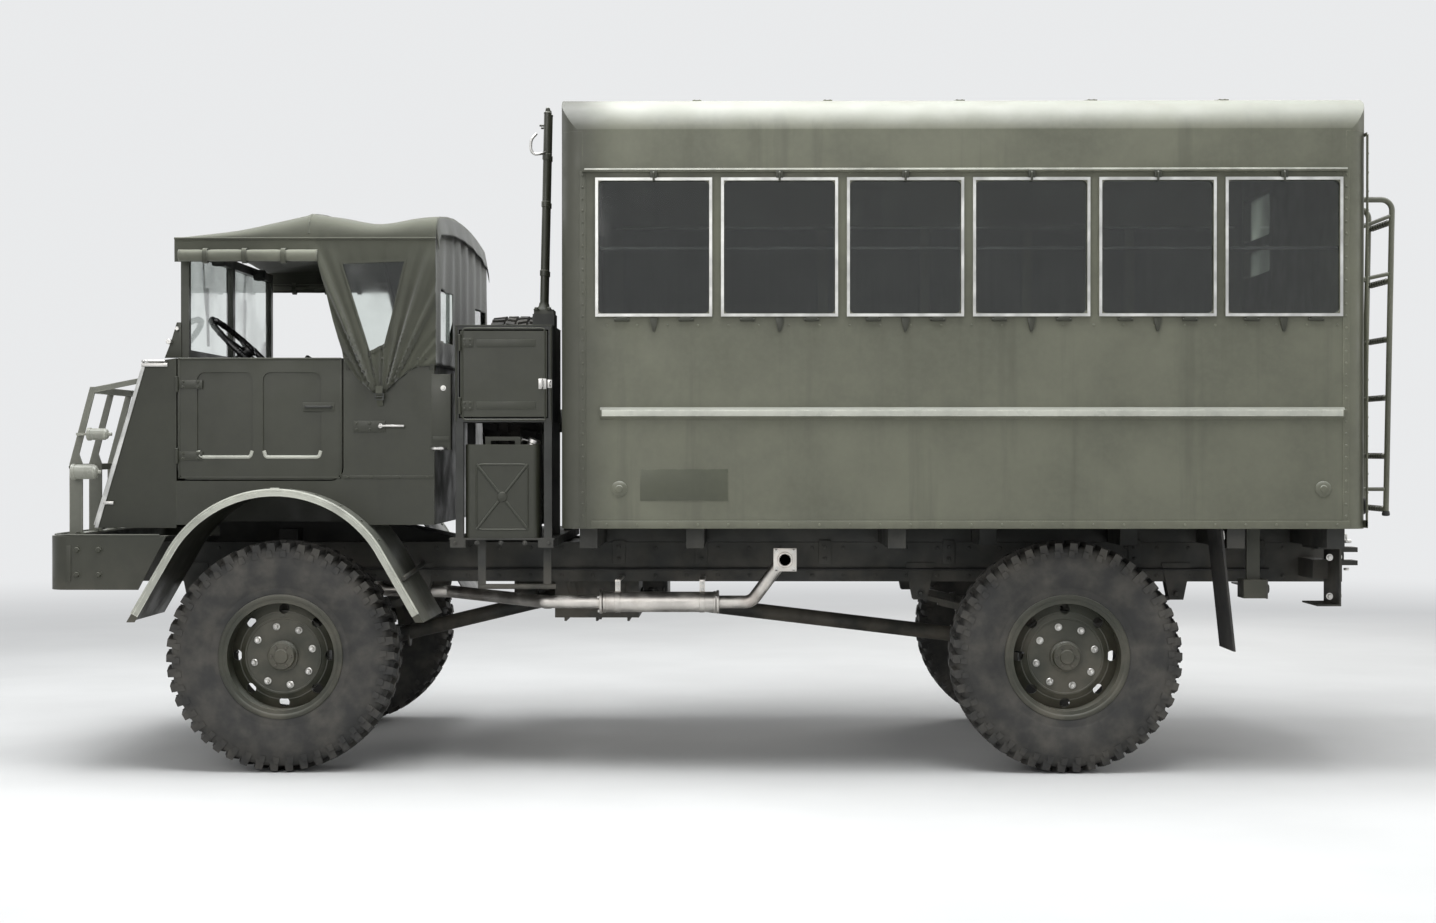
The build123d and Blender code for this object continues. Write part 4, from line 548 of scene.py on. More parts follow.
# %% Tree parts that all growers share
def new_tree(name, sockets):
    tree = bpy.data.node_groups.new(name, "GeometryNodeTree")
    for socket, kind in {"Geometry": "Geometry", **sockets, "Material": "Material"}.items():
        tree.interface.new_socket(socket, in_out="INPUT", socket_type="NodeSocket" + kind)
    tree.interface.new_socket("Geometry", in_out="OUTPUT", socket_type="NodeSocketGeometry")
    given = tree.nodes.new("NodeGroupInput").outputs

    def node(kind, inputs=(), **settings):
        return add_node(tree, kind, inputs, **settings).outputs[0]

    return tree, given, node


def close_tree(tree, node, given, geometry):
    real = node("GeometryNodeRealizeInstances", {"Geometry": geometry})
    painted_copies = node("GeometryNodeSetMaterial", {"Geometry": real, "Material": given["Material"]})
    add_node(tree, "NodeGroupOutput", {0: painted_copies})


# %% Copies round an axle
turn_copies, given, node = new_tree("turn_copies", {"Count": "Int", "Centre": "Vector", "Axis": "Vector",
    "Start": "Float"})
line = node("GeometryNodeMeshLine", {"Count": given["Count"], "Offset": (0, 0, 0)})
back = node("ShaderNodeVectorMath", {0: given["Centre"], "Scale": -1.0}, operation="SCALE")
item = node("GeometryNodeTransform", {"Geometry": given["Geometry"], "Translation": back})
index = node("GeometryNodeInputIndex")
full = node("ShaderNodeMath", {0: 2 * pi, 1: given["Count"]}, operation="DIVIDE")
step = node("ShaderNodeMath", {0: index, 1: full}, operation="MULTIPLY")
angle = node("ShaderNodeMath", {0: step, 1: given["Start"]}, operation="ADD")
turn = node("FunctionNodeAxisAngleToRotation", {"Axis": given["Axis"], "Angle": angle})
copies = node("GeometryNodeInstanceOnPoints", {"Points": line, "Instance": item, "Rotation": turn})
home = node("GeometryNodeTransform", {"Geometry": copies, "Translation": given["Centre"]})
close_tree(turn_copies, node, given, home)
print("tree", turn_copies.name, len(turn_copies.nodes), "nodes")

# %% Copies in a row
step_copies, given, node = new_tree("step_copies", {"Count": "Int", "Step": "Vector"})
row = node("GeometryNodeMeshLine", {"Count": given["Count"], "Offset": given["Step"]})
copies = node("GeometryNodeInstanceOnPoints", {"Points": row, "Instance": given["Geometry"]})
close_tree(step_copies, node, given, copies)
print("tree", step_copies.name, len(step_copies.nodes), "nodes")

# %% A head on each marked point: hexagon with a washer, or with many sides a low round rivet
stud_heads, given, node = new_tree("stud_heads", {"Radius": "Float", "Height": "Float", "Sides": "Int",
    "Washer": "Float"})
aim = node("GeometryNodeInputNamedAttribute", {"Name": "aim"}, data_type="FLOAT_VECTOR")
head = node("GeometryNodeMeshCylinder", {"Vertices": given["Sides"], "Radius": given["Radius"],
    "Depth": given["Height"]})
half = node("ShaderNodeMath", {0: given["Height"], 1: 0.5}, operation="MULTIPLY")
lift = node("ShaderNodeCombineXYZ", {"Z": half})
raised = node("GeometryNodeTransform", {"Geometry": head, "Translation": lift})
crown_radius = node("ShaderNodeMath", {0: given["Radius"], 1: 0.8}, operation="MULTIPLY")
crown = node("GeometryNodeMeshCone", {"Vertices": given["Sides"], "Radius Top": crown_radius,
    "Radius Bottom": given["Radius"], "Depth": half})
crown_lift = node("ShaderNodeCombineXYZ", {"Z": given["Height"]})
crowned = node("GeometryNodeTransform", {"Geometry": crown, "Translation": crown_lift})
washer_radius = node("ShaderNodeMath", {0: given["Radius"], 1: given["Washer"]}, operation="MULTIPLY")
washer = node("GeometryNodeMeshCylinder", {"Vertices": 14, "Radius": washer_radius, "Depth": half})
whole = add_node(stud_heads, "GeometryNodeJoinGeometry")
for part in (raised, crowned, washer):
    stud_heads.links.new(part, whole.inputs[0])
square = node("FunctionNodeAlignRotationToVector", {"Vector": aim}, axis="Z")
copies = node("GeometryNodeInstanceOnPoints", {"Points": given["Geometry"], "Instance": whole.outputs[0],
    "Rotation": square})
close_tree(stud_heads, node, given, copies)
print("tree", stud_heads.name, len(stud_heads.nodes), "nodes")


# %% Run a tree on a mesh and keep the plain result
def grow(name, mesh, tree, values, material, body, slot):
    holder = bpy.data.objects.new(name + "_seed", mesh)
    collection.objects.link(holder)
    grower = holder.modifiers.new("grow", "NODES")
    grower.node_group = tree
    sockets = {s.name: s.identifier for s in tree.interface.items_tree if getattr(s, "in_out", "") == "INPUT"}
    for key, value in {**values, "Material": material}.items():
        grower[sockets[key]] = value
    seen_by = bpy.context.evaluated_depsgraph_get()
    grown = bpy.data.meshes.new_from_object(holder.evaluated_get(seen_by))
    holder.modifiers.remove(grower)
    bpy.data.objects.remove(holder)
    grown.name = name
    return dress(bpy.data.objects.new(name, grown), material, body, slot)


def seed(maker):
    bmesh.ops.recalc_face_normals(maker.bm, faces=maker.bm.faces)
    mesh = bpy.data.meshes.new("seed")
    maker.bm.to_mesh(mesh)
    maker.bm.free()
    return mesh


def around(name, maker, count, centre, axis, material, body, slot, start=0.0):
    values = {"Count": count, "Centre": Vector(centre), "Axis": Vector(axis), "Start": start}
    return grow(name, seed(maker), turn_copies, values, material, body, slot)


def in_rows(name, maker, count, step, material, body, slot):
    values = {"Count": count, "Step": Vector(step)}
    return grow(name, seed(maker), step_copies, values, material, body, slot)


def studs(name, marks, material, radius=0.011, height=0.008, sides_=6, washer=1.45, body="chassis", slot=None):
    # marks: a place and the way its head faces
    mesh = bpy.data.meshes.new(name + "_marks")
    mesh.from_pydata([tuple(place) for place, aim_ in marks], [], [])
    facing = mesh.attributes.new("aim", "FLOAT_VECTOR", "POINT")
    facing.data.foreach_set("vector", [v for place, aim_ in marks for v in Vector(aim_).normalized()])
    values = {"Radius": radius, "Height": height, "Sides": sides_, "Washer": washer}
    return grow(name, mesh, stud_heads, values, material, body, slot)


def rivets(name, marks, material, radius=0.007, height=0.003, body="chassis", slot=None):
    return studs(name, marks, material, radius, height, 10, 1.0, body, slot)


print("growers ready")

# %% [markdown]
# ## Tyres
#
# The truck stands on tall cross-ply tyres with a block tread: two staggered rows of shoulder lugs over a ribbed
# middle. The casing is turned from one section, a little smaller than the tyre, and the lugs bring it up to full
# size, so the tyre still meets the ground where the CAD tyre does. One lug of each kind is modelled, then grown
# round the axle.

# %% Tyre section, from the inner bead over the tread to the outer bead: across, radius
casing_rows = mm("100 262, 112 272, 118 290, 127 312, 138 350, 144.5 392, 144.5 425, 139 455, 131 478, 121 494,"
    "104 504, 60 509, 0 511")
wall_ribs = mm("126.2 318, 129.2 322, 131.8 329")
casing = casing_rows[:4] + wall_ribs + casing_rows[4:]
casing = casing + [(-across, radius) for across, radius in reversed(casing[:-1])]
lining = mm("-95 262, -105 300, -118 400, -100 465, 0 478")
lining += [(-across, radius) for across, radius in reversed(lining[:-1])]
tyre_rows = casing + lining
lug_count = 46


def tyre_lug(maker, centre, across, out_, along, row):
    # a tapered block: foot across from, foot across to, top, how far round, and how far it leans round
    near, far, foot, top, length, lean = row
    corners = []
    for radius, shrink in ((foot, 0.0), (top, 0.004)):
        for a, skew in ((near + shrink, -lean), (far - shrink, lean)):
            for t in (-length / 2 + shrink, length / 2 - shrink):
                drop = 0.01 * max(0.0, (abs(a) - 0.085) / 0.06) if radius == top else 0.0
                corners.append(centre + across * a + out_ * (radius - drop) + along * (t + skew))
    maker.add(corners, block_faces)


# near, far, foot radius, top radius, length round the tyre, lean; half a step round for the second set
shoulder_lugs = [(0.06, 0.131, 0.478, 0.5295, 0.04, 0.007)]
shoulder_lugs_far = [(-0.131, -0.06, 0.478, 0.5295, 0.04, 0.007)]
middle_lugs = [(0.004, 0.054, 0.5, 0.53, 0.046, -0.01), (-0.054, -0.004, 0.5, 0.53, 0.046, 0.01)]
side_bars = [(0.124, 0.1415, 0.458, 0.497, 0.03, 0.0), (-0.1415, -0.124, 0.458, 0.497, 0.03, 0.0)]


def make_tyre(name, centre, axle, body, node):
    centre, axle = Vector(centre), Vector(axle)
    out_, along = frame_across(axle)
    maker = Maker()
    maker.loft([maker.ring(centre + axle * a, axle, r, 96) for a, r in tyre_rows], loop=True)
    tyre = maker.piece(name + "_casing", tyre_rubber, body, smooth=50)
    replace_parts(tyre, node)
    step_angle = 2 * pi / lug_count
    for set_name, rows, start in (("outer", shoulder_lugs + middle_lugs[:1], 0.0),
            ("inner", shoulder_lugs_far + middle_lugs[1:], step_angle / 2), ("bars", side_bars, step_angle / 4)):
        lug_maker = Maker()
        for row_ in rows:
            tyre_lug(lug_maker, centre, axle, out_, along, row_)
        around(f"{name}_lugs_{set_name}", lug_maker, lug_count, centre, axle, tyre_rubber, body, "tyre_rubber", start)


for place_name, (axle_x, side) in wheel_places.items():
    make_tyre(place_name + "_tyre", (axle_x, side * wheel_track, axle_height), (0, side, 0), place_name + "_wheel",
        place_name + "_tyre")
spare_low, spare_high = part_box("spare_tyre")
spare_centre = (spare_low + spare_high) / 2
make_tyre("spare_tyre", spare_centre, backward, "chassis", "spare_tyre")
print("tyres 5, lugs on each", 3 * lug_count)

# %% [markdown]
# ## Wheels
#
# On the disc of each wheel eight bright nuts sit on a circle of 275 mm, round a hub with its own ring of small bolts
# and a cap. The rim has a split ring with a groove, and a valve in one hand hole. Sizes come from the photograph's
# front wheel, where the nuts are the only pale things.

# %% Nuts, studs, hub bolts, split ring and valve
nut_circle, nut_count = 0.1375, 8
disc_out, hub_out, cap_out = 0.052, 0.064, 0.104


def make_wheel_fittings(name, centre, axle, body, slot, with_hub=True):
    centre, axle = Vector(centre), Vector(axle)
    out_, along = frame_across(axle)
    nut = Maker()
    foot = centre + out_ * nut_circle + axle * disc_out
    nut.turned(foot, axle, mm("-2 17, 4 17, 6 14.5"), 18)
    nut.turned(foot, axle, mm("4 12.8, 20 12.8, 24 10.5"), 6)
    nut.turned(foot, axle, mm("22 6.8, 33 6.8, 35 5"), 10)
    around(name + "_nuts", nut, nut_count, centre, axle, nut_steel, body, slot, radians(22.5 * 0.6))
    rim = Maker()
    lip = mm("116.5 262, 121 268, 122.5 276, 120 285, 113 288.5, 106 287.5, 105.5 270, 110 262")
    rim.loft([rim.ring(centre + axle * a, axle, r, 64) for a, r in lip], loop=True)
    press = [(disc_out - 0.002, 0.166), (disc_out + 0.004, 0.17), (disc_out + 0.004, 0.176),
        (disc_out - 0.004, 0.181)]
    rim.loft([rim.ring(centre + axle * a, axle, r, 64) for a, r in press], cap=False)
    rim.piece(name + "_split_ring", cab_olive, body, slot)
    valve = Maker()
    valve_foot = centre + out_ * 0.226 - along * 0.02
    valve.tube([valve_foot, valve_foot + axle * 0.045, valve_foot + axle * 0.085 - out_ * 0.02], 0.004, 8)
    valve.rod(valve_foot + axle * 0.083 - out_ * 0.019, valve_foot + axle * 0.1 - out_ * 0.027, 0.006)
    valve.piece(name + "_valve", black_bakelite, body, slot)
    if with_hub:
        bolt = Maker()
        place = centre + out_ * 0.0625 + axle * (cap_out - 0.004)
        bolt.turned(centre + out_ * 0.046 + axle * cap_out, axle, mm("0 6.5, 6 6.5, 8 5"), 6)
        around(name + "_cap_bolts", bolt, 6, centre, axle, chassis_black, body, slot)
        cap = Maker()
        cap.turned(centre, axle, [(hub_out, 0.0705), (hub_out + 0.008, 0.0705), (hub_out + 0.012, 0.064),
            (cap_out - 0.01, 0.0605), (cap_out, 0.0585), (cap_out + 0.003, 0.034), (cap_out + 0.011, 0.03),
            (cap_out + 0.013, 0.0)], 40)
        cap.piece(name + "_hub_cap", cab_olive, body, slot)


for place_name, (axle_x, side) in wheel_places.items():
    make_wheel_fittings(place_name, (axle_x, side * wheel_track, axle_height), (0, side, 0), place_name + "_wheel",
        "body_paint")
make_wheel_fittings("spare", spare_centre, backward, "chassis", "body_paint", with_hub=False)
print("nuts", nut_count * 5)

# %% [markdown]
# ## Box body: windows
#
# Six windows a side have thin bright alloy strips round dark glass, a bar across the middle of each pane, a hook from
# the drip rail at the top, and two hinge knuckles and a pointed catch at the sill. One of each is modelled on the
# left, then grown along the row, and the right side gets the same with its faces the other way.

# %% Window row: sizes from the frame in the CAD model
window_count, window_pitch = 6, 0.567
window_middle_x, window_middle_z = -1.066, 2.392
window_wide, window_high = 0.531, 0.63
wall_out, frame_out = 1.195, 1.209
trim_wide = 0.013
first_window_x = window_middle_x - 2.5 * window_pitch


def rectangle_loop(maker, centre, half_x, half_z, y_in, y_out, width):
    # a rectangular ring of strip, mitred at its corners
    x0, z0 = centre
    corner_signs = ((-1, -1), (1, -1), (1, 1), (-1, 1))
    rings = []
    for sx, sz in corner_signs:
        outer = (x0 + sx * half_x, z0 + sz * half_z)
        inner = (x0 + sx * (half_x - width), z0 + sz * (half_z - width))
        rings.append([Vector((outer[0], y_in, outer[1])), Vector((outer[0], y_out, outer[1])),
            Vector((inner[0], y_out, inner[1])), Vector((inner[0], y_in, inner[1]))])
    maker.loft(rings, loop=True)


for side, side_name in sides:
    trim = Maker()
    centre_xz = (first_window_x, window_middle_z)
    rectangle_loop(trim, centre_xz, window_wide / 2 - 0.002, window_high / 2 - 0.002, side * (frame_out - 0.003),
        side * (frame_out + 0.003), trim_wide)
    in_rows(f"window_trim_{side_name}", trim, window_count, (window_pitch, 0, 0), window_alloy, "chassis",
        "box_paint")
    bar = Maker()
    bar.box((first_window_x - 0.245, side * 1.176, 2.381), (first_window_x + 0.245, side * 1.186, 2.395), 0.002)
    in_rows(f"window_bar_{side_name}", bar, window_count, (window_pitch, 0, 0), seal_rubber, "chassis", "box_paint")
    fittings = Maker()
    sill_z = window_middle_z - window_high / 2
    for offset in (-0.145, 0.145):
        x = first_window_x + offset
        fittings.box((x - 0.026, side * wall_out, sill_z - 0.018), (x + 0.026, side * (frame_out + 0.004), sill_z),
            0.004)
        fittings.rod((x - 0.034, side * (wall_out + 0.008), sill_z - 0.012), (x + 0.034, side * (wall_out + 0.008),
            sill_z - 0.012), 0.007)
    catch = mm("-19 0, 19 0, 13 -30, 4 -62, -4 -62, -13 -30")
    fittings.plate([(side * a, b) for a, b in catch], (first_window_x, side * wall_out, sill_z - 0.004), forward,
        upward, -0.014, 0.002)
    top_z = window_middle_z + window_high / 2
    fittings.box((first_window_x - 0.016, side * wall_out, top_z - 0.004), (first_window_x + 0.016,
        side * (frame_out + 0.008), top_z + 0.03), 0.003)
    fittings.tube([(first_window_x, side * (wall_out + 0.01), top_z + 0.026), (first_window_x,
        side * (wall_out + 0.026), top_z + 0.02), (first_window_x, side * (wall_out + 0.024), top_z - 0.02)], 0.005,
        8, 0.01)
    in_rows(f"window_fittings_{side_name}", fittings, window_count, (window_pitch, 0, 0), cab_olive, "chassis",
        "box_paint")
print("windows dressed", 2 * window_count)

# %% [markdown]
# ## Blinds
#
# Through the near glass the box looks dark, because cloth blinds are drawn on the far side. Each blind is a hanging
# sheet with shallow soft folds, a little longer than the window. The daylight in the last window comes through the
# small panes in the rear wall.

# %% Blinds on the far side
blind_wide, blind_long = 0.515, 0.64


def blind(name, x_from, x_to, y, z_top, length, folds):
    columns, rows_down = 60, 24
    points = []
    for j in range(rows_down + 1):
        for i in range(columns + 1):
            u, v = i / columns, j / rows_down
            wave = sin(u * folds * 2 * pi) * 0.0035 * (0.35 + 0.65 * v)
            wave += noise.noise(Vector((u * 3, v * 2, x_from))) * 0.003
            points.append((x_from + (x_to - x_from) * u, y + wave, z_top - length * v))
    thing = cloth_grid(name, points, rows_down, columns, blind_cloth, "seat_cloth", 80, 0.0012)


for number in range(window_count):
    x = first_window_x + number * window_pitch
    blind(f"blind_{number + 1}", x - blind_wide / 2, x + blind_wide / 2, -1.137, window_middle_z + 0.315, blind_long,
        9)
rail_maker = Maker()
rail_maker.rod((first_window_x - 0.3, -1.14, window_middle_z + 0.322), (first_window_x + 5 * window_pitch + 0.3,
    -1.14, window_middle_z + 0.322), 0.006)
rail_maker.piece("blind_rail", bare_steel, slot="box_paint")
print("blinds", window_count)

# %% [markdown]
# ## Box body: rails, screws and bosses
#
# The skin is screwed to hidden frames, so rows of small heads follow the drip rail, the rub rail and the bottom rail.
# A low round boss near each lower corner covers a bolt, and a blank plate shows as a paler patch of paint.

# %% Rails and heads along them
body_front, body_rear = 0.7735, -2.8655
rail_from, rail_to = body_rear + 0.11, body_front - 0.18
for side, side_name in sides:
    rails = Maker()
    rails.box((body_rear + 0.085, side * wall_out, 1.124), (body_front - 0.14, side * (wall_out + 0.007), 1.158),
        0.002)
    rails.box((body_rear + 0.1, side * wall_out, 2.739), (body_front - 0.11, side * (wall_out + 0.02), 2.747), 0.001)
    for x in (body_rear + 0.101, body_front - 0.101):
        rails.box((x - 0.014, side * wall_out, 1.13), (x + 0.014, side * (wall_out + 0.003), 2.735), 0.001)
    rails.piece(f"box_rails_{side_name}", box_olive)
    marks = []
    steps = 24
    for i in range(steps + 1):
        x = rail_from + 0.03 + (rail_to - rail_from - 0.06) * i / steps
        marks.append(((x, side * (wall_out + 0.007), 1.141), (0, side, 0)))
        marks.append(((x, side * (wall_out + 0.0002), 2.728), (0, side, 0)))
        marks.append(((x, side * (wall_out + 0.0002), 2.04), (0, side, 0)))
    for i in range(30):
        z = 1.18 + i * 0.053
        for x in (body_rear + 0.101, body_front - 0.101):
            marks.append(((x, side * (wall_out + 0.003), z), (0, side, 0)))
    rivets(f"box_rivets_{side_name}", marks, box_olive, 0.0055, 0.0022)
    boss = Maker()
    for x in (0.5075, -2.663):
        boss.turned((x, side * wall_out, 1.302), (0, side, 0), mm("0 36, 4 36, 8 31, 10 18, 14 14, 15 0"), 28)
    boss.piece(f"box_bosses_{side_name}", box_olive)
    # thin pale strips on the rub rail and the drip rail: a painted highlight of the sky on their faces
    rub = Maker()
    rub.box((body_rear + 0.118, side * (wall_out + 0.019), 1.63), (body_front - 0.188, side * (wall_out + 0.0222),
        1.658), 0.001)
    rub.box((body_rear + 0.1, side * (wall_out + 0.0195), 2.7385), (body_front - 0.11, side * (wall_out + 0.0215),
        2.7465), 0.0005)
    rub.piece(f"rub_rail_highlight_{side_name}", worn_lip, slot="box_paint")
plate = Maker()
plate.box((0.0165, wall_out, 1.248), (0.413, wall_out + 0.002, 1.392), 0.001)
plate.piece("blank_plate", cab_inside)
print("rails and rivets done")

# %% Roof seams: five raised laps across the roof, with a row of rivets along each side of them
roof_half, roof_edge, crown = 1.045, 3.0755, 3.1405


def roof_height(y):
    # the crown is an arc through the two roof edges and the middle
    rise = crown - roof_edge
    radius = (roof_half ** 2 + rise ** 2) / (2 * rise)
    return crown - radius + sqrt(radius ** 2 - y ** 2)


laps = Maker()
for x in (-2.25, -1.65, -1.046, -0.44, 0.16):
    across = [-roof_half + 2 * roof_half * i / 24 for i in range(25)]
    laps.strip([(x - 0.02, y, roof_height(y) - 0.001) for y in across], [(x + 0.02, y, roof_height(y) - 0.001)
        for y in across], 0.005, upward)
laps.piece("roof_laps", box_olive)
marks = [((x + s * 0.012, y, roof_height(y) + 0.004), upward) for x in (-2.25, -1.65, -1.046, -0.44, 0.16)
    for s in (-1, 1) for y in [-1.0 + 0.1 * i for i in range(21)]]
rivets("roof_rivets", marks, box_olive, 0.005, 0.002)
print("roof seams 5")

# %% [markdown]
# ## Canvas hood
#
# The hood is one sheet of heavy canvas over two bows: it slopes up from the windscreen to the first bow, sags a
# little to the rear one, and its quarters are strapped down to a point behind each door, so their folds fan out from
# that point. It could be draped by simulation, but its shape is set by where it is tied, so it is drawn as one grid
# whose height and folds follow a rule. The clear quarter and rear windows are cut out of the finished grid.

# %% Where the hood is held
hood_half, hood_shoulder = 1.006, 0.905
hood_front, hood_ridge, hood_rear = 2.568, 1.9475, 1.3625
hood_edge = 2.452
hood_low = 1.868
strap_foot = Vector((1.618, 0, 1.66))
quarter_front = mm("1904.5 2345, 1862 2180, 1784.5 1892, 1720 1802, 1652 1742, 1598 1742, 1540 1800, 1462 1858,"
    "1362.5 1868")


def lerp_rows(rows, x):
    # rows of (x, value) with falling x
    for (x0, a), (x1, b) in zip(rows, rows[1:]):
        if x >= x1:
            t = min(max((x0 - x) / (x0 - x1), 0), 1)
            return a + (b - a) * t
    return rows[-1][1]


def hood_bottom(x):
    if x > quarter_front[0][0]:
        return 2.345
    return lerp_rows(quarter_front, x)


def hood_roof(x, y):
    # nearly flat between the shoulders of the bows, and rounded down over them
    top = lerp_rows([(hood_front, 2.456), (hood_ridge, 2.567), (hood_rear, 2.562)], x)
    camber = lerp_rows([(hood_front, 0.018), (hood_ridge, 0.048), (hood_rear, 0.048)], x)
    if x > hood_ridge:
        span, sag = (hood_front - x) / (hood_front - hood_ridge), 0.01
    else:
        span, sag = (hood_ridge - x) / (hood_ridge - hood_rear), 0.036
    top -= sag * sin(pi * min(max(span, 0), 1)) ** 2
    height = top + camber * (1 - (min(abs(y), hood_shoulder) / hood_shoulder) ** 2)
    over = max(0, abs(y) - hood_shoulder) / (hood_half - hood_shoulder)
    return hood_edge + (height - hood_edge) * sqrt(max(0, 1 - over ** 2))


def side_folds(x, z):
    # folds fan out from the strap at the foot of the quarter, and fade towards the taut seam at the roof's edge
    if z > 2.44:
        return 0.0
    away = Vector((x - strap_foot.x, 0, z - strap_foot.z))
    reach, angle_ = away.length, atan2(away.x, away.z)
    fan = sin(angle_ * 52 + 2.2 * noise.noise(Vector((x * 3, 0, z * 1.5))))
    fan = copysign(abs(fan) ** 0.8, fan) + 0.5 * sin(angle_ * 83 + 1.0)
    strength = min(1, max(0, (2.44 - z) / 0.1)) * (0.35 + 0.65 * exp(-((reach - 0.28) / 0.3) ** 2))
    roll = exp(-((angle_ - 0.4) / 0.1) ** 2) + exp(-((angle_ + 0.36) / 0.11) ** 2)
    return strength * (0.0105 * fan * (0.6 + roll) + 0.03 * roll) * min(1, reach / 0.16)


def wrinkle(x, y, z, size):
    fine = noise.noise(Vector((x * 5.5, y * 5.5, z * 5.5))) * 0.6
    broad = noise.noise(Vector((x * 1.9 + 4, y * 1.6, z * 1.9)))
    return size * (fine + broad)


# %% One grid for roof, valances, quarters and rear curtain
side_rows, roof_columns = 40, 60
stations = [hood_front - (hood_front - 1.93) * i / 34 for i in range(35)]
stations += [1.93 - (1.93 - hood_rear) * i / 88 for i in range(1, 89)]
roof_ys = [hood_half * cos(pi * k / roof_columns) for k in range(roof_columns + 1)]


def hood_line(x):
    line_points = []
    for side in (1, -1):
        low = hood_bottom(x)
        run = []
        for j in range(side_rows):
            z = low + (hood_edge - low) * j / side_rows
            out_ = hood_half + side_folds(x, z) + wrinkle(x, side, z, 0.003) * min(1, (hood_edge - z) / 0.05)
            run.append(Vector((x, side * out_, z)))
        line_points.append(run)
    top = []
    for y in roof_ys:
        ease = min(1, (hood_half - abs(y)) / 0.09)
        crease = 0.006 * exp(-((x - hood_ridge) / 0.014) ** 2)
        top.append(Vector((x, y, hood_roof(x, y) + ease * (wrinkle(x, y, 0, 0.006) + crease))))
    return line_points[0] + top + list(reversed(line_points[1]))


hood_maker = Maker()
lines = [hood_line(x) for x in stations]
across_count = len(lines[0])
grid_points = [p for line_ in lines for p in line_]
hood_faces = grid_faces(len(lines) - 1, across_count - 1)
hood_faces += grid_faces(roof_columns, side_rows, len(grid_points))
for k, y in enumerate(roof_ys):
    for j in range(side_rows + 1):
        z_top = lines[-1][side_rows + k].z
        z = hood_low + (z_top - hood_low) * j / side_rows
        held = min(1, j * 0.25, (side_rows - j) * 0.25, k * 0.25, (roof_columns - k) * 0.25)
        hang = 0.01 * sin(y * 21 + 2.2 * noise.noise(Vector((y * 2, z, 3)))) * (1 - 0.6 * j / side_rows)
        edge_y = copysign(abs(lines[-1][j if y > 0 else across_count - 1 - j].y), y) if k in (0, roof_columns) else y
        grid_points.append(Vector((hood_rear + held * (hang - 0.004), edge_y, z)))
hood_maker.add(grid_points, hood_faces)
bmesh.ops.remove_doubles(hood_maker.bm, verts=hood_maker.bm.verts, dist=0.0008)
print("hood grid", len(hood_maker.bm.verts), "points")

# %% Cut the clear windows: three-sided ones in the quarters, two small ones in the rear curtain
quarter_window = mm("1792 2335, 1507.5 2345, 1597.5 1968, 1667.5 1932")
rear_windows = [((0.5, 1.985), (0.9, 1.985), (0.9, 2.225), (0.5, 2.225)), ((-0.9, 1.985), (-0.5, 1.985),
    (-0.5, 2.225), (-0.9, 2.225))]


def inside(outline, a, b):
    signs = [(a1 - a0) * (b - b0) - (b1 - b0) * (a - a0) for (a0, b0), (a1, b1) in zip(outline,
        outline[1:] + outline[:1])]
    return all(s > 0 for s in signs) or all(s < 0 for s in signs)


def cut_window(bm, outline, flat_axes, chosen):
    # slice the chosen faces along each side of the outline, then take out what lies inside
    a_axis, b_axis = flat_axes
    for (a0, b0), (a1, b1) in zip(outline, outline[1:] + outline[:1]):
        faces = [f for f in bm.faces if chosen(f.calc_center_median())]
        geometry = set(faces) | {e for f in faces for e in f.edges} | {v for f in faces for v in f.verts}
        normal = Vector((0, 0, 0))
        normal[a_axis], normal[b_axis] = -(b1 - b0), a1 - a0
        point = Vector((0, 0, 0))
        point[a_axis], point[b_axis] = a0, b0
        bmesh.ops.bisect_plane(bm, geom=list(geometry), plane_co=point, plane_no=normal, dist=1e-6)
    gone = []
    for f in bm.faces:
        middle = f.calc_center_median()
        if chosen(middle) and inside(list(outline), middle[a_axis], middle[b_axis]):
            gone.append(f)
    bmesh.ops.delete(bm, geom=gone, context="FACES")
    return len(gone)


for side in (1, -1):
    cut_window(hood_maker.bm, quarter_window, (0, 2), lambda c, s=side: c.y * s > 0.97 and c.z < 2.43
        and 1.45 < c.x < 1.85)
for outline in rear_windows:
    near_y, far_y = outline[0][0], outline[1][0]
    cut_window(hood_maker.bm, list(outline), (1, 2), lambda c, a=near_y, b=far_y: c.x < 1.39
        and a - 0.05 < c.y < b + 0.05 and 1.9 < c.z < 2.3)
hood = thicken(hood_maker.piece("hood_sheet", hood_canvas, smooth=70), 0.0025)
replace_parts(hood, "canvas_hood")
hood_area = sum(face.area for face in hood.data.polygons)
print("hood cloth", round(hood_area, 2), "square metres")

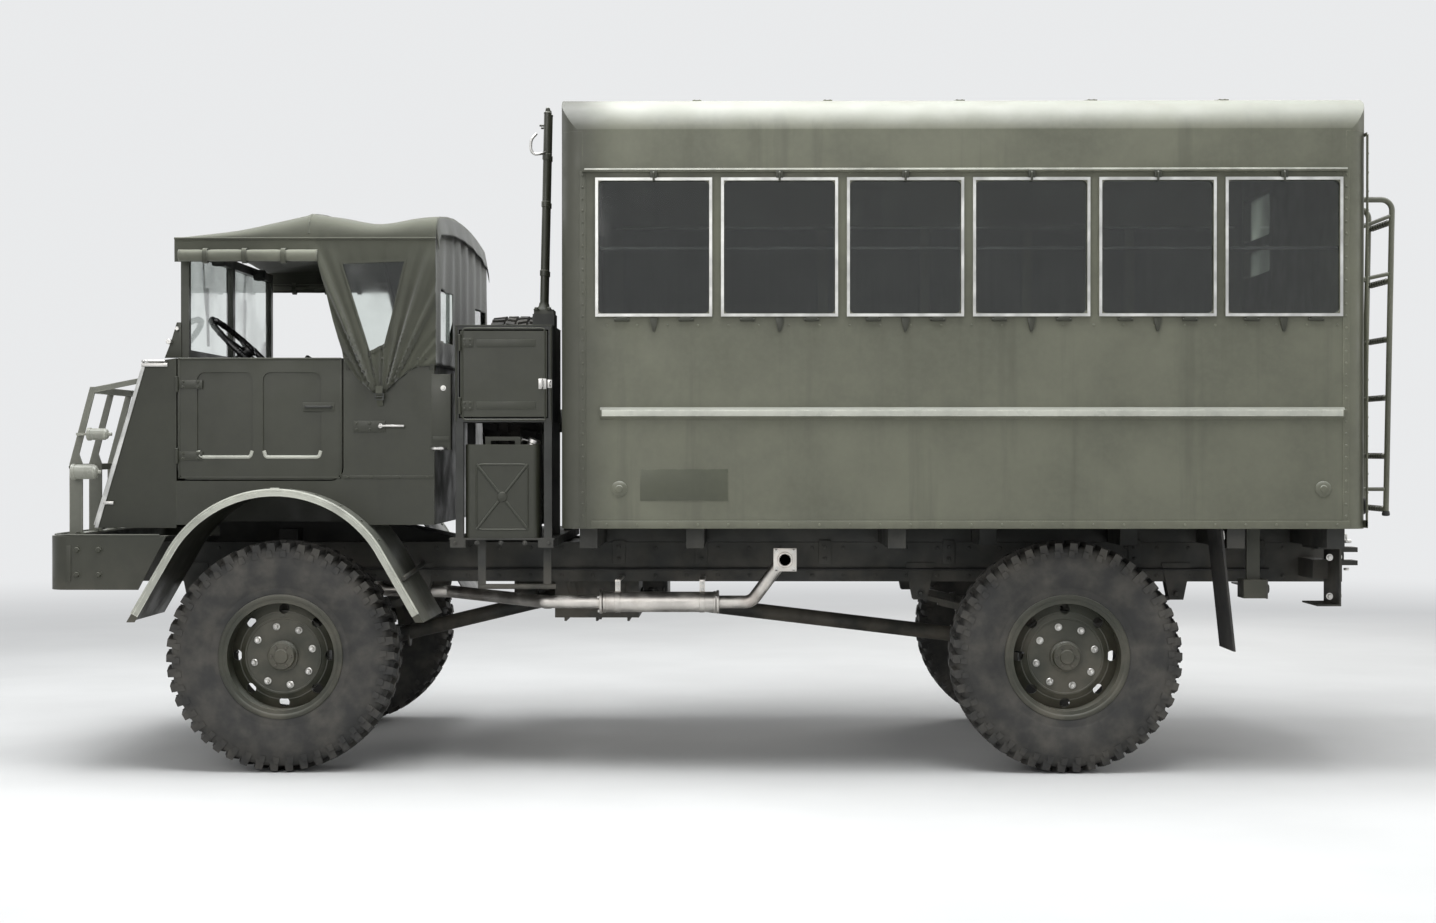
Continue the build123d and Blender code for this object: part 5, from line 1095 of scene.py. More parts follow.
# %% Clear panes in the hood, a shade inside the cloth, with a sewn border outside
panes, borders = Maker(), Maker()
for side in (1, -1):
    outline = quarter_window if side > 0 else list(reversed(quarter_window))
    grown_outline = mm("1806 2347, 1488 2358, 1588 1952, 1676 1912")
    panes.plate([(a, b) for a, b in grown_outline], (0, side * (hood_half - 0.006), 0), forward, upward,
        -0.001 * side)
    centre_a = sum(a for a, b in quarter_window) / 4
    centre_b = sum(b for a, b in quarter_window) / 4
    loops = []
    for shrink, out_ in ((1.075, 0.0035), (1.075, 0.0065), (1.0, 0.0065), (1.0, 0.0035)):
        loops.append([(centre_a + (a - centre_a) * shrink, centre_b + (b - centre_b) * shrink, out_)
            for a, b in quarter_window])
    rings = []
    for corner in range(4):
        rings.append([Vector((loop[corner][0], side * (hood_half + side_folds(loop[corner][0],
            loop[corner][1]) + loop[corner][2]), loop[corner][1])) for loop in loops])
    fine = []
    for corner in range(4):
        here, there = rings[corner], rings[(corner + 1) % 4]
        for step_ in range(14):
            t = step_ / 14
            ring = [a.lerp(b, t) for a, b in zip(here, there)]
            for p, loop_row in zip(ring, loops):
                p.y = side * (hood_half + side_folds(p.x, p.z) + loop_row[0][2])
            fine.append(ring)
    borders.loft(fine, loop=True)
for outline in rear_windows:
    ys, zs = [a for a, b in outline], [b for a, b in outline]
    panes.box((hood_rear + 0.004, min(ys) - 0.015, min(zs) - 0.015), (hood_rear + 0.005, max(ys) + 0.015,
        max(zs) + 0.015), 0)
panes.piece("hood_panes", window_clear)
borders.piece("hood_pane_borders", hood_canvas)
print("clear panes 4")

# %% Piping along the roof's edge, and the curtain rolled up over each door
piping = Maker()
for side in (1, -1):
    route = [Vector((x, side * (hood_half + 0.002), hood_edge)) for x in stations[::4]]
    piping.tube(route + [Vector((hood_rear, side * (hood_half + 0.002), hood_edge))], 0.0055, 8, 0.001, 1)
piping.tube([Vector((hood_ridge, y, hood_roof(hood_ridge, y) + 0.004)) for y in roof_ys[1:-1:3]], 0.005, 8, 0.001, 1)
piping.piece("hood_piping", hood_canvas)
roll_y, roll_z = 1.022, 2.371
roll_turns, roll_length = 2.4, 0.64


def door_roll(name, side):
    points, around_count, along_count = [], 72, 40
    for i in range(along_count + 1):
        x = 1.905 + roll_length * i / along_count
        for k in range(around_count + 1):
            turn_ = roll_turns * 2 * pi * k / around_count
            radius = 0.0115 + 0.0175 * k / around_count
            pinch = 1 - 0.12 * sum(exp(-((x - s) / 0.02) ** 2) for s in (2.06, 2.24, 2.42))
            lump = 1 + 0.05 * noise.noise(Vector((x * 9, side, turn_)))
            radius *= pinch * lump
            points.append((x, side * (roll_y + radius * cos(turn_) * 0.82), roll_z + radius * sin(turn_)))
    roll = cloth_grid(name, points, along_count, around_count, pale_canvas, "hood_canvas", 75, 0.002)


# a flap hangs from the roof's rear edge and throws the curtain below it into shade
flap_points, flap_rows = [], 8
flap_top = [Vector((hood_rear - 0.001, y, hood_roof(hood_rear, y))) for y in roof_ys[2:-2]]
for i, top in enumerate(flap_top):
    ripple = 0.004 * sin(top.y * 17) + 0.003 * noise.noise(Vector((top.y * 5, 0, 7)))
    for j in range(flap_rows + 1):
        t = j / flap_rows
        flap_points.append((hood_rear - 0.003 - 0.014 * t - ripple * t, top.y * (1 - 0.004 * t), top.z - 0.088 * t))
flap = cloth_grid("hood_rear_flap", flap_points, len(flap_top) - 1, flap_rows, hood_canvas, "hood_canvas", 75, 0.002)
straps = Maker()
for side, side_name in sides:
    door_roll(f"door_curtain_{side_name}", side)
    for x in (2.06, 2.24, 2.42):
        loop = [(side * (roll_y + 0.0285 * cos(t)), roll_z + 0.0335 * sin(t)) for t in [2 * pi * k / 20
            for k in range(20)]]
        rings = [[Vector((x - 0.011, y, z)), Vector((x + 0.011, y, z)), Vector((x + 0.011,
            1.06 * (y - side * roll_y) + side * roll_y, 1.06 * (z - roll_z) + roll_z)),
            Vector((x - 0.011, 1.06 * (y - side * roll_y) + side * roll_y, 1.06 * (z - roll_z) + roll_z))]
            for y, z in loop]
        straps.loft(rings, loop=True)
    foot_y = side * (hood_half + 0.03)
    straps.strip([(1.604, foot_y, 1.772), (1.604, foot_y + side * 0.004, 1.74), (1.606, side * 1.006, 1.68)],
        [(1.634, foot_y, 1.772), (1.634, foot_y + side * 0.004, 1.74), (1.632, side * 1.006, 1.68)], 0.003,
        (0, side, 0))
straps.piece("hood_straps", hood_canvas)
buckles = Maker()
for side in (1, -1):
    rectangle_loop(buckles, (1.619, 1.722), 0.022, 0.016, side * 1.036, side * 1.041, 0.005)
    buckles.rod(*mm("1600 1040 1722, 1638 1040 1722", side), 0.0025, sides=8)
buckles.piece("hood_buckles", chassis_black, slot="lamp_metal")
bows = Maker()
for foot_x, top_x, top_z in ((1.7675, 1.94, 2.597), (1.3855, 1.3855, 2.591)):
    shoulder_x = foot_x + (top_x - foot_x) * 0.93
    path_ = [(foot_x, -0.982, 1.85), (shoulder_x, -0.982, top_z - 0.052), (top_x, -0.45, top_z - 0.01),
        (top_x, 0, top_z), (top_x, 0.45, top_z - 0.01), (shoulder_x, 0.982, top_z - 0.052), (foot_x, 0.982, 1.85)]
    bows.tube(path_, 0.012, 12, 0.1, 6)
    for side in (1, -1):
        bows.turned((foot_x, side * 0.982, 1.845), upward, mm("0 20, 4 21, 55 21, 60 13"), 16)
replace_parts(bows.piece("bow_tubes", cab_olive, "chassis", "body_paint"), "hood_bows")
marks = [((2.5575 + 0.012, y, 2.44), forward) for y in [-0.88 + 0.16 * i for i in range(12)]]
studs("hood_front_studs", marks, bare_steel, 0.008, 0.005, 12, 1.3)
print("rolls 2, straps 8")

# %% [markdown]
# ## Front end
#
# The nose is a flat sloping face between two beaded edges. Its lamps have a domed lens over a bright reflector. The
# grille has a raised surround and a radiator core behind it, and the bumper is bolted on through its side flanges.

# %% Nose face: its own axes, for everything that lies on the slope
slope_up = Vector((-0.2924, 0, 0.9563))
slope_out = Vector((0.9563, 0, 0.2924))
slope_foot = Vector((2.9565, 0, 1.118))


def on_nose(y, up, out_=0.0):
    return slope_foot + slope_up * up + slope_out * out_ + Vector((0, y, 0))


beads = Maker()
for side in (1, -1):
    low, high = Vector((2.9565, side * 0.9408, 1.118)), Vector((2.7235, side * 0.9758, 1.88))
    back = Vector((-0.0178, side * 0.0027, 0))
    lift = Vector((0.05, side, 0)).normalized() * 0.0015
    beads.strip([low + lift, high + lift], [low + back + lift, high + back + lift], 0.0035, (0.03, side, 0))
    beads.tube([low + Vector((0, 0, 0.012)), high - Vector((0, 0, 0.02))], 0.0055, 8)
beads.piece("nose_edge_beads", window_alloy)
surround = Maker()
for y in (-0.632, 0.632):
    surround.plate(mm("-12 0, 12 0, 12 524, -12 524"), on_nose(y, 0.053, 0.0), to_left, slope_up, 0.006, 0.002)
for up in (0.053, 0.577):
    surround.plate(mm("-644 -12, 644 -12, 644 12, -644 12"), on_nose(0, up, 0.0), to_left, slope_up, 0.006, 0.002)
surround.piece("grille_surround", cab_olive)
fin = Maker()
fin.box(*mm("2708 -305 1170, 2711.5 305 1172.5"), 0.0004)
in_rows("radiator_fins", fin, 58, (0, 0, 0.0079), bare_steel, "chassis", "chassis_paint")
tubes = Maker()
tubes.box(*mm("2707.9 -306 1160, 2710.8 -302 1635"), 0.0005)
in_rows("radiator_tubes", tubes, 39, (0, 0.016, 0), chassis_black, "chassis", "chassis_paint")
print("nose face dressed")

# %% Lamps: reflector, domed lens and bezel
for side, side_name in sides:
    head, glass_, bezel = Maker(), Maker(), Maker()
    head.turned(on_nose(side * 0.79, 0.275, 0.0162), slope_out, mm("0 0, 0.2 76, 1.2 78, 1.6 30, 4 24, 4.2 0"), 40)
    head.piece(f"head_lamp_reflector_{side_name}", bare_steel)
    glass_.turned(on_nose(side * 0.79, 0.275, 0.021), slope_out, mm("0 78, 3 77, 8 66, 11.5 46, 13.5 22, 14 0"), 40)
    glass_.piece(f"head_lamp_glass_{side_name}", lamp_lens)
    bezel.turned(on_nose(side * 0.79, 0.275, 0.0), slope_out, mm("0 99, 10 99, 20 94, 26 86, 26 79, 16 78"), 44)
    bezel.piece(f"head_lamp_bezel_{side_name}", cab_olive)
    small, lens = Maker(), Maker()
    for front_x, z, radius in ((2.9745, 1.551, 0.027), (3.0475, 1.377, 0.034)):
        place = (front_x, side * 0.975, z)
        small.turned(place, forward, [(-0.012, radius + 0.003), (0.003, radius + 0.003), (0.006, radius - 0.001),
            (0.006, radius - 0.006), (0.0, radius - 0.007)], 28)
        small.turned((front_x - (0.078 if z > 1.5 else 0.101), side * 0.975, z), backward,
            [(0, radius * 0.96), (0.01, radius * 0.8), (0.016, radius * 0.4), (0.018, 0.009), (0.03, 0.008),
            (0.031, 0.0)], 24)
        lens.turned(place, forward, [(0.0002, radius - 0.007), (0.004, radius - 0.008), (0.0085, radius * 0.45),
            (0.0095, 0.0)], 28)
    small.piece(f"small_lamp_rims_{side_name}", lamp_paint)
    lens.piece(f"small_lamp_glass_{side_name}", amber_lens)
print("lamps dressed")

# %% Bonnet: hinge barrels, a centre handle, side catches and a stiffening rib
bonnet_parts = Maker()
for y in (-0.62, -0.31, 0, 0.31, 0.62):
    bonnet_parts.rod((2.58, y - 0.05, 1.9095), (2.58, y + 0.05, 1.9095), 0.0075, sides=12)
    bonnet_parts.box((2.582, y - 0.045, 1.902), (2.64, y + 0.045, 1.9062), 0.0015)
bonnet_parts.piece("bonnet_hinges", cab_olive, "bonnet")
handle = Maker()
handle.tube([on_nose(-0.075, 0.665, 0.0), on_nose(-0.075, 0.665, 0.028), on_nose(0.075, 0.665, 0.028),
    on_nose(0.075, 0.665, 0.0)], 0.0065, 10, 0.014)
handle.piece("bonnet_handle", bare_steel, "bonnet")
catch_base, catch_hook = Maker(), Maker()
for side in (1, -1):
    catch_base.plate(mm("-20 0, 20 0, 20 62, -20 62"), on_nose(side * 0.52, 0.588, 0.0), to_left, slope_up, 0.004,
        0.001)
    catch_base.tube([on_nose(side * 0.52 - 0.012, 0.6, 0.004), on_nose(side * 0.52 - 0.012, 0.6, 0.02),
        on_nose(side * 0.52 + 0.012, 0.6, 0.02), on_nose(side * 0.52 + 0.012, 0.6, 0.004)], 0.003, 8, 0.006)
    catch_hook.plate(mm("-16 0, 16 0, 16 50, -16 50"), on_nose(side * 0.52, 0.668, 0.0), to_left, slope_up, 0.004,
        0.001)
    catch_hook.rod(on_nose(side * 0.52 - 0.016, 0.672, 0.008), on_nose(side * 0.52 + 0.016, 0.672, 0.008), 0.005)
catch_base.piece("bonnet_catch_base", bare_steel)
catch_hook.piece("bonnet_catch_hook", bare_steel, "bonnet")
side_bits = Maker()
for side in (1, -1):
    side_bits.box(*mm("2602 990 1862, 2724 1002 1880", side), 0.003)
    side_bits.tube(mm("2610 1000 1884, 2610 1020 1888, 2716 1017 1888, 2716 985 1884", side), 0.0055, 8, 0.012)
    side_bits.box(*mm("2862 955 1226, 2912 968 1240", side), 0.003)
side_bits.piece("nose_side_bits", bare_steel)
print("bonnet dressed")

# %% Bumper and brush guard: bolts, a strip near each corner and a bead along the top flange
bumper_bits = Maker()
for side in (1, -1):
    bumper_bits.box(*mm("3025.5 1080 875, 3048.5 1084 1039", side), 0.0015)
bumper_bits.tube(mm("2620 1078.5 1087.5, 3045 1078.5 1087.5, 3133.5 990 1087.5, 3133.5 -990 1087.5,"
    "3045 -1078.5 1087.5, 2620 -1078.5 1087.5"), 0.0048, 8, 0.05, 6)
bumper_bits.piece("bumper_trim", cab_olive)
marks = []
for side in (1, -1):
    marks += [((x, side * 1.0802, z), (0, side, 0)) for x in (2.898, 2.998) for z in (0.907, 1.021)]
    marks += [((3.1357 - 0.0005, side * y, z), forward) for y in (0.365, 0.425) for z in (0.885, 0.955, 1.015)]
studs("bumper_bolts", marks, cab_olive, 0.013, 0.009, slot="lamp_metal")
marks = []
for k in range(-3, 4):
    marks += [((3.03, k * 0.31 + s * 0.03, 1.0918), upward) for s in (-1, 1)]
    marks.append(((3.0695, k * 0.31, 1.398), forward))
studs("guard_bolts", marks, cab_olive, 0.009, 0.006, slot="lamp_metal")
hooks = Maker()
for side in (1, -1):
    y = side * 0.395
    hooks.box((3.06, y - 0.032, 1.084), (3.126, y + 0.032, 1.092), 0.002)
    hooks.tube([(3.075, y, 1.092), (3.075, y, 1.13), (3.108, y, 1.138), (3.122, y, 1.112)], 0.011, 12, 0.02)
hooks.piece("front_tow_hooks", chassis_black)
print("bumper bolts", 2 * (4 + 6))

# %% Mudguards: turned edge bead in a pale paint as a painted highlight of the sky, stays to the frame and bolts
arch_x, arch_z, arch_radius = 2.0735, 0.733, 0.564
# the bead and lip carry a pale paint as a painted highlight of the sky along the arch
lip = Maker()
for side in (1, -1):
    turns = [radians(-58 + 116 * i / 44) for i in range(45)]
    ends = [(arch_x + s * (arch_radius * sin(radians(58)) + 0.172), arch_z + arch_radius * cos(radians(58)) - 0.298)
        for s in (-1, 1)]
    inner = [(arch_x + 0.535 * sin(t), arch_z + 0.535 * cos(t)) for t in turns]
    outer = [(arch_x + 0.566 * sin(t), arch_z + 0.566 * cos(t)) for t in turns]
    inner = [(ends[0][0] + 0.026, ends[0][1] - 0.015)] + inner + [(ends[1][0] - 0.026, ends[1][1] - 0.015)]
    outer = [ends[0]] + outer + [ends[1]]
    lip.loft([[Vector((a, side * 1.1655, b)), Vector((c, side * 1.1655, d)), Vector((c, side * 1.1685, d)),
        Vector((a, side * 1.1685, b))] for (a, b), (c, d) in zip(inner, outer)])
    arc = [(arch_x + 0.563 * sin(t), side * 1.1655, arch_z + 0.563 * cos(t)) for t in turns]
    lip.tube([(ends[0][0], side * 1.1655, ends[0][1])] + arc + [(ends[1][0], side * 1.1655, ends[1][1])], 0.0065, 10,
        0.001, 1)
    lip.box(*mm("2053.5 1150 1298.5, 2093.5 1171 1306", side), 0.002)
lip.piece("mudguard_beads", worn_lip)
marks = [((arch_x + 0.5665 * sin(t), side * 1.08, arch_z + 0.5665 * cos(t)), (sin(t), 0, cos(t))) for side in (1, -1)
    for t in [radians(-54 + 12 * i) for i in range(10)]]
rivets("mudguard_rivets", marks, cab_olive, 0.007, 0.003)
stays = Maker()
for side in (1, -1):
    for x, z in ((2.64, 0.91), (1.5, 0.91)):
        stays.tube([(x, side * 0.43, 0.93), (x, side * 0.52, 0.92), (x, side * 1.1, z - 0.02)], 0.011, 10, 0.04)
stays.piece("mudguard_stays", chassis_black)
print("mudguards dressed")

# %% [markdown]
# ## Cab
#
# Doors with hinges, slot handles and beads; the windscreen's fold-down castings and wipers; and inside, dials,
# levers, pedals and four cushions whose covers are blown up as cloth.

# %% Door fittings: hinges, beads, a handle outside and inside, and pale beads on the recesses' lower edges as a painted highlight of the sky
for side, side_name in sides:
    body = side_name + "_door"
    hinge, bead, grip = Maker(), Maker(), Maker()
    for z in (1.45, 1.78):
        hinge.box((2.44, side * 1.0005, z - 0.02), (2.552, side * 1.0045, z + 0.02), 0.002)
        hinge.rod((2.5585, side * 1.008, z - 0.036), (2.5585, side * 1.008, z + 0.036), 0.0085)
    hinge.piece(f"{side_name}_door_hinge_leaves", cab_olive, body)
    bead.tube(mm("1800 999.5 1898, 2552 999.5 1898", side), 0.0055, 10)
    bead.box(*mm("1798.5 999.5 1346, 1806.5 1003 1896", side), 0.001)
    bead.box(*mm("2544.5 999.5 1346, 2552.5 1003 1896", side), 0.001)
    bead.box(*mm("1800 999.5 1346, 2550 1003 1354", side), 0.001)
    bead.piece(f"{side_name}_door_beads", cab_olive, body)
    grip.box(*mm("1830 999 1655, 1977 1002.5 1697", side), 0.001)
    grip.piece(f"{side_name}_door_handle_plate", cab_olive, body)
    pull = Maker()
    pull.tube(mm("1846 1002 1676, 1846 1026 1676, 1961 1026 1676, 1961 1002 1676", side), 0.006, 10, 0.012)
    pull.piece(f"{side_name}_door_handle", chassis_black, body, "lamp_metal")
    # pale beads along the recesses' lower edges: a painted highlight of the sky on the pressed fillets
    ledge = Maker()
    for x_low, x_high in ((1.8905, 2.1615), (2.2075, 2.4655)):
        ledge.tube([(x_low + 0.004, side * 0.9965, 1.474), (x_low + 0.012, side * 0.9965, 1.445),
            (x_high - 0.012, side * 0.9965, 1.445), (x_high - 0.004, side * 0.9965, 1.474)], 0.0088, 10, 0.03, 6)
    ledge.piece(f"{side_name}_door_recess_highlight_beads", worn_lip, body)
    inner = Maker()
    inner.box((1.9, side * 0.96, 1.64), (2.02, side * 0.954, 1.7), 0.0015)
    inner.rod(*mm("1955 954 1672, 1955 934 1672", side), 0.01)
    inner.tube(mm("1955 938 1672, 2020 936 1662, 2050 936 1655", side), 0.0055)
    inner.piece(f"{side_name}_door_inner_handle", bare_steel, body)
marks = [((x, side * 1.0045, z), (0, side, 0)) for side in (1, -1) if side > 0 for z in (1.438, 1.462, 1.768, 1.792)
    for x in (2.462, 2.53)]
studs("left_door_hinge_bolts", marks, cab_olive, 0.0065, 0.004, body="left_door")
marks = [((x, -y, z), to_right) for (x, y, z), aim_ in marks]
studs("right_door_hinge_bolts", marks, cab_olive, 0.0065, 0.004, body="right_door")
print("doors dressed")

# %% Quarter panel: lap seam, latch bracket and its bright lever
quarter, lever = Maker(), Maker()
for side in (1, -1):
    quarter.box(*mm("1375 999.5 1345, 1790 1003 1361", side), 0.001)
    quarter.box(*mm("1595 999.5 1560, 1743 1005.5 1612", side), 0.002)
    quarter.tube(mm("1380 999.5 1898, 1790 999.5 1898", side), 0.0055, 10)
    lever.rod(*mm("1616 1004 1588, 1616 1024 1588", side), 0.011)
    lever.tube(mm("1620 1019 1588, 1560 1020 1589, 1506 1024 1588", side), 0.0065, 10)
quarter.piece("quarter_seams", cab_olive)
lever.piece("quarter_latch_levers", bare_steel)
marks = [((x, side * 1.0055, z), (0, side, 0)) for side in (1, -1) for x in (1.668, 1.728) for z in (1.572, 1.6)]
marks += [((x, side * 1.003, 1.353), (0, side, 0)) for side in (1, -1) for x in (1.4, 1.53, 1.66, 1.77)]
studs("quarter_bolts", marks, cab_olive, 0.006, 0.004)
print("quarter panels dressed")

# %% Windscreen: fold-down castings with knobs, a centre bar, wipers and their motors
casting, knobs, wiper, blades = Maker(), Maker(), Maker(), Maker()
for side in (1, -1):
    casting.plate(mm("2553 1905, 2632 1905, 2600 1985, 2575 2070, 2555 2070"),
        (0, side * 0.938 + (0.004 if side < 0 else -0.004) + 0.004, 0), forward, upward, 0.01, 0.002)
    knobs.rod(*mm("2607 930 1980, 2607 966 1980", side), 0.0125)
    knobs.rod(*mm("2571 930 2040, 2571 952 2040", side), 0.009)
    wiper.rod(*mm("2552 460 2405, 2578 460 2405", side), 0.0105)
    wiper.tube(mm("2572 460 2405, 2574 430 2260, 2569 405 2130", side), 0.0038, 8)
    wiper.tube(mm("2567 415 2260, 2567 392 1985", side), 0.0036, 8)
    blades.plate(mm("-3.5 0, 3.5 0, 2.5 285, -2.5 285"), (2.5575, side * 0.3915, 1.983), to_left,
        (0, side * 0.083, 0.9966), 0.01)
    wiper.turned((2.5205, side * 0.46, 2.398), backward, mm("0 26, 20 30, 55 28, 62 20, 64 0"), 20)
casting.piece("windscreen_castings", cab_olive)
knobs.piece("windscreen_knobs", bare_steel)
wiper.piece("wiper_arms", chassis_black, slot="lamp_metal")
blades.piece("wiper_blades", seal_rubber)
rim_bits = Maker()
for y_low, y_high in ((-0.912, -0.018), (0.018, 0.912)):
    rim_bits.tube([(2.557, y_low, 1.935), (2.557, y_low, 2.402), (2.557, y_high, 2.402), (2.557, y_high, 1.935),
        (2.557, y_low, 1.935)], 0.005, 8, 0.02)
rim_bits.piece("windscreen_seals", seal_rubber)
marks = [((2.5568, y, z), forward) for z in (1.915, 2.424) for y in [-0.88 + 0.22 * i for i in range(9)]]
rivets("windscreen_screws", marks, cab_olive, 0.005, 0.0025)
print("windscreen dressed")

# %% Dash: dials with plain ticks, switches and a grab rail
face, dial_rims, ticks, needles, covers = Maker(), Maker(), Maker(), Maker(), Maker()
dials = ((0.4, 1.866, 0.034), (0.53, 1.866, 0.05), (0.66, 1.866, 0.034), (0.75, 1.866, 0.026))
for y, z, radius in dials:
    radius = min(radius, 0.03)
    here = Vector((2.5072, y, z))
    dial_rims.turned(here, backward, [(0, radius + 0.004), (0.006, radius + 0.004), (0.008, radius + 0.001),
        (0.007, radius - 0.001), (0.001, radius - 0.001)], 28)
    face.turned(here, backward, [(0, radius - 0.001), (0.0015, radius - 0.001), (0.0016, 0.0)], 28)
    for k in range(9):
        t = radians(-120 + 30 * k)
        spot = here + Vector((-0.0019, radius * 0.82 * sin(t), radius * 0.82 * cos(t)))
        ticks.rod(spot, spot + Vector((-0.0006, 0, 0)), 0.0011, sides=6)
    t = radians(-70 + 40 * y)
    needles.tube([here + Vector((-0.0028, 0, 0)), here + Vector((-0.0028, radius * 0.75 * sin(t),
        radius * 0.75 * cos(t)))], 0.0008, 6)
    covers.turned(here + Vector((-0.0062, 0, 0)), backward, [(0, radius - 0.001), (0.0012, radius - 0.003),
        (0.0018, 0.0)], 28)
face.piece("dial_faces", black_bakelite)
dial_rims.piece("dial_rims", bare_steel)
ticks.piece("dial_ticks", dial_white)
needles.piece("dial_needles", dial_white)
covers.piece("dial_glasses", lamp_lens)
switches = Maker()
for k in range(5):
    y = 0.02 + 0.06 * k
    switches.turned((2.5072, y, 1.872), backward, mm("0 9, 4 8, 6 4.5, 18 4, 20 7.5, 26 7.5, 28 4"), 16)
switches.turned((2.5072, 0.845, 1.866), backward, mm("0 16, 5 15, 7 6, 20 6, 22 12, 30 12, 31 0"), 20)
switches.piece("dash_switches", black_bakelite)
grab = Maker()
grab.tube(mm("2507.5 -720 1868, 2468 -720 1868, 2468 -480 1868, 2507.5 -480 1868"), 0.009, 12, 0.02)
grab.piece("dash_grab_rail", chassis_black, slot="lamp_metal")
print("dash dressed", len(dials), "dials")

# %% Steering wheel: horn button, grip moulding and stalk
wheel_middle = Vector((2.3385, 0.53, 1.951))
wheel_axis = Vector((-0.687, 0, 0.727)).normalized()
horn = Maker()
horn.turned(wheel_middle + wheel_axis * 0.01, wheel_axis, mm("0 40, 10 38, 14 26, 15 24, 21 22, 26 14, 27 0"), 28)
horn.piece("horn_button", black_bakelite, "steering_wheel")
across_y, across_up = Vector(to_left), wheel_axis.cross(Vector(to_left))
notch = Maker()
ring_place = wheel_middle + across_y * 0.225
notch.turned(ring_place + across_up * -0.01, across_up, mm("0 14, 4 15.5, 16 15.5, 20 14"), 14)
around("steering_grips", notch, 20, wheel_middle, wheel_axis, black_bakelite, "steering_wheel", "lamp_metal", 0.09)
stalk = Maker()
stalk_root = wheel_middle - wheel_axis * 0.11
stalk.turned(stalk_root - wheel_axis * 0.015, wheel_axis, mm("0 30, 4 34, 26 34, 30 30"), 24)
stalk.tube([stalk_root, stalk_root + Vector((0.01, 0.09, 0.0)), stalk_root + Vector((0.02, 0.17, 0.02))], 0.0045, 8)
stalk.turned(stalk_root + Vector((0.02, 0.165, 0.0185)), (0.1, 1, 0.2), mm("0 6, 6 10, 16 10, 20 5"), 14)
stalk.piece("indicator_stalk", black_bakelite)
print("steering wheel dressed")

# %% Levers and pedals on the floor and the tunnel
levers, boots, knob = Maker(), Maker(), Maker()
rows = (((2.15, 0.06, 1.73), (2.13, 0.07, 1.82), (2.085, 0.085, 1.905)), ((2.03, 0.18, 1.73), (2.015, 0.18, 1.81),
    (1.985, 0.185, 1.9)), ((1.96, 0.09, 1.73), (1.95, 0.09, 1.8), (1.925, 0.092, 1.87)))
for route in rows:
    levers.tube(route, 0.0075, 12, 0.06, 6)
    boots.turned(route[0], (-0.15, 0, 1), mm("-1 52, 5 50, 12 36, 20 38, 26 26, 34 28, 42 16, 52 10.5"), 24)
    top = Vector(route[2])
    up = (top - Vector(route[1])).normalized()
    knob.turned(top - up * 0.012, up, mm("0 10, 6 17, 18 21.5, 30 18, 37 9, 39 0"), 24)
brake_root = Vector((1.88, 0.25, 1.73))
levers.tube([brake_root, brake_root + Vector((0.05, 0, 0.09)), brake_root + Vector((0.16, 0, 0.16))], 0.009, 12, 0.04,
    6)
levers.box(*mm("1845 238 1729.5, 1930 262 1760"), 0.004)
knob.turned(brake_root + Vector((0.155, 0, 0.157)), (0.82, 0, 0.57), mm("0 10, 6 14.5, 85 13.5, 92 9, 93 0"), 18)
levers.piece("floor_levers", bare_steel)
boots.piece("lever_boots", flap_rubber)
knob.piece("lever_knobs", black_bakelite)
pedal_arms, pads = Maker(), Maker()
for y, tall, wide in ((0.6, 0.075, 0.06), (0.72, 0.075, 0.06), (0.84, 0.15, 0.05)):
    heel = Vector((2.6, y, 1.39))
    pedal_arms.tube([(2.7, y, 1.52), (2.65, y, 1.5), heel + Vector((0.006, 0, 0.002))], 0.007, 10, 0.02)
    up = Vector((0.3, 0, 0.954))
    pads.plate([(-wide / 2, -tall / 2), (wide / 2, -tall / 2), (wide / 2, tall / 2), (-wide / 2, tall / 2)], heel,
        to_right, up, 0.012, 0.003)
    for k in range(4):
        spot = heel + up * (tall * (-0.36 + 0.24 * k)) + Vector((-0.0115, 0, 0.0036))
        pads.rod(spot - Vector((0, wide * 0.4, 0)), spot + Vector((0, wide * 0.4, 0)), 0.0022, sides=8)
pedal_arms.piece("pedal_arms", chassis_black)
pads.piece("pedal_pads", flap_rubber)
print("levers 4, pedals 3")

# %% [markdown]
# ## Seat cushions
#
# Each cushion starts as a slightly small pad. It is remeshed, blown up as cloth with its bottom held, and the result
# is kept. Welts are then sewn along the mesh that came out, and the cover pulls in beside them.

# %% Blow the covers up
from mathutils.bvhtree import BVHTree

scene = bpy.context.scene


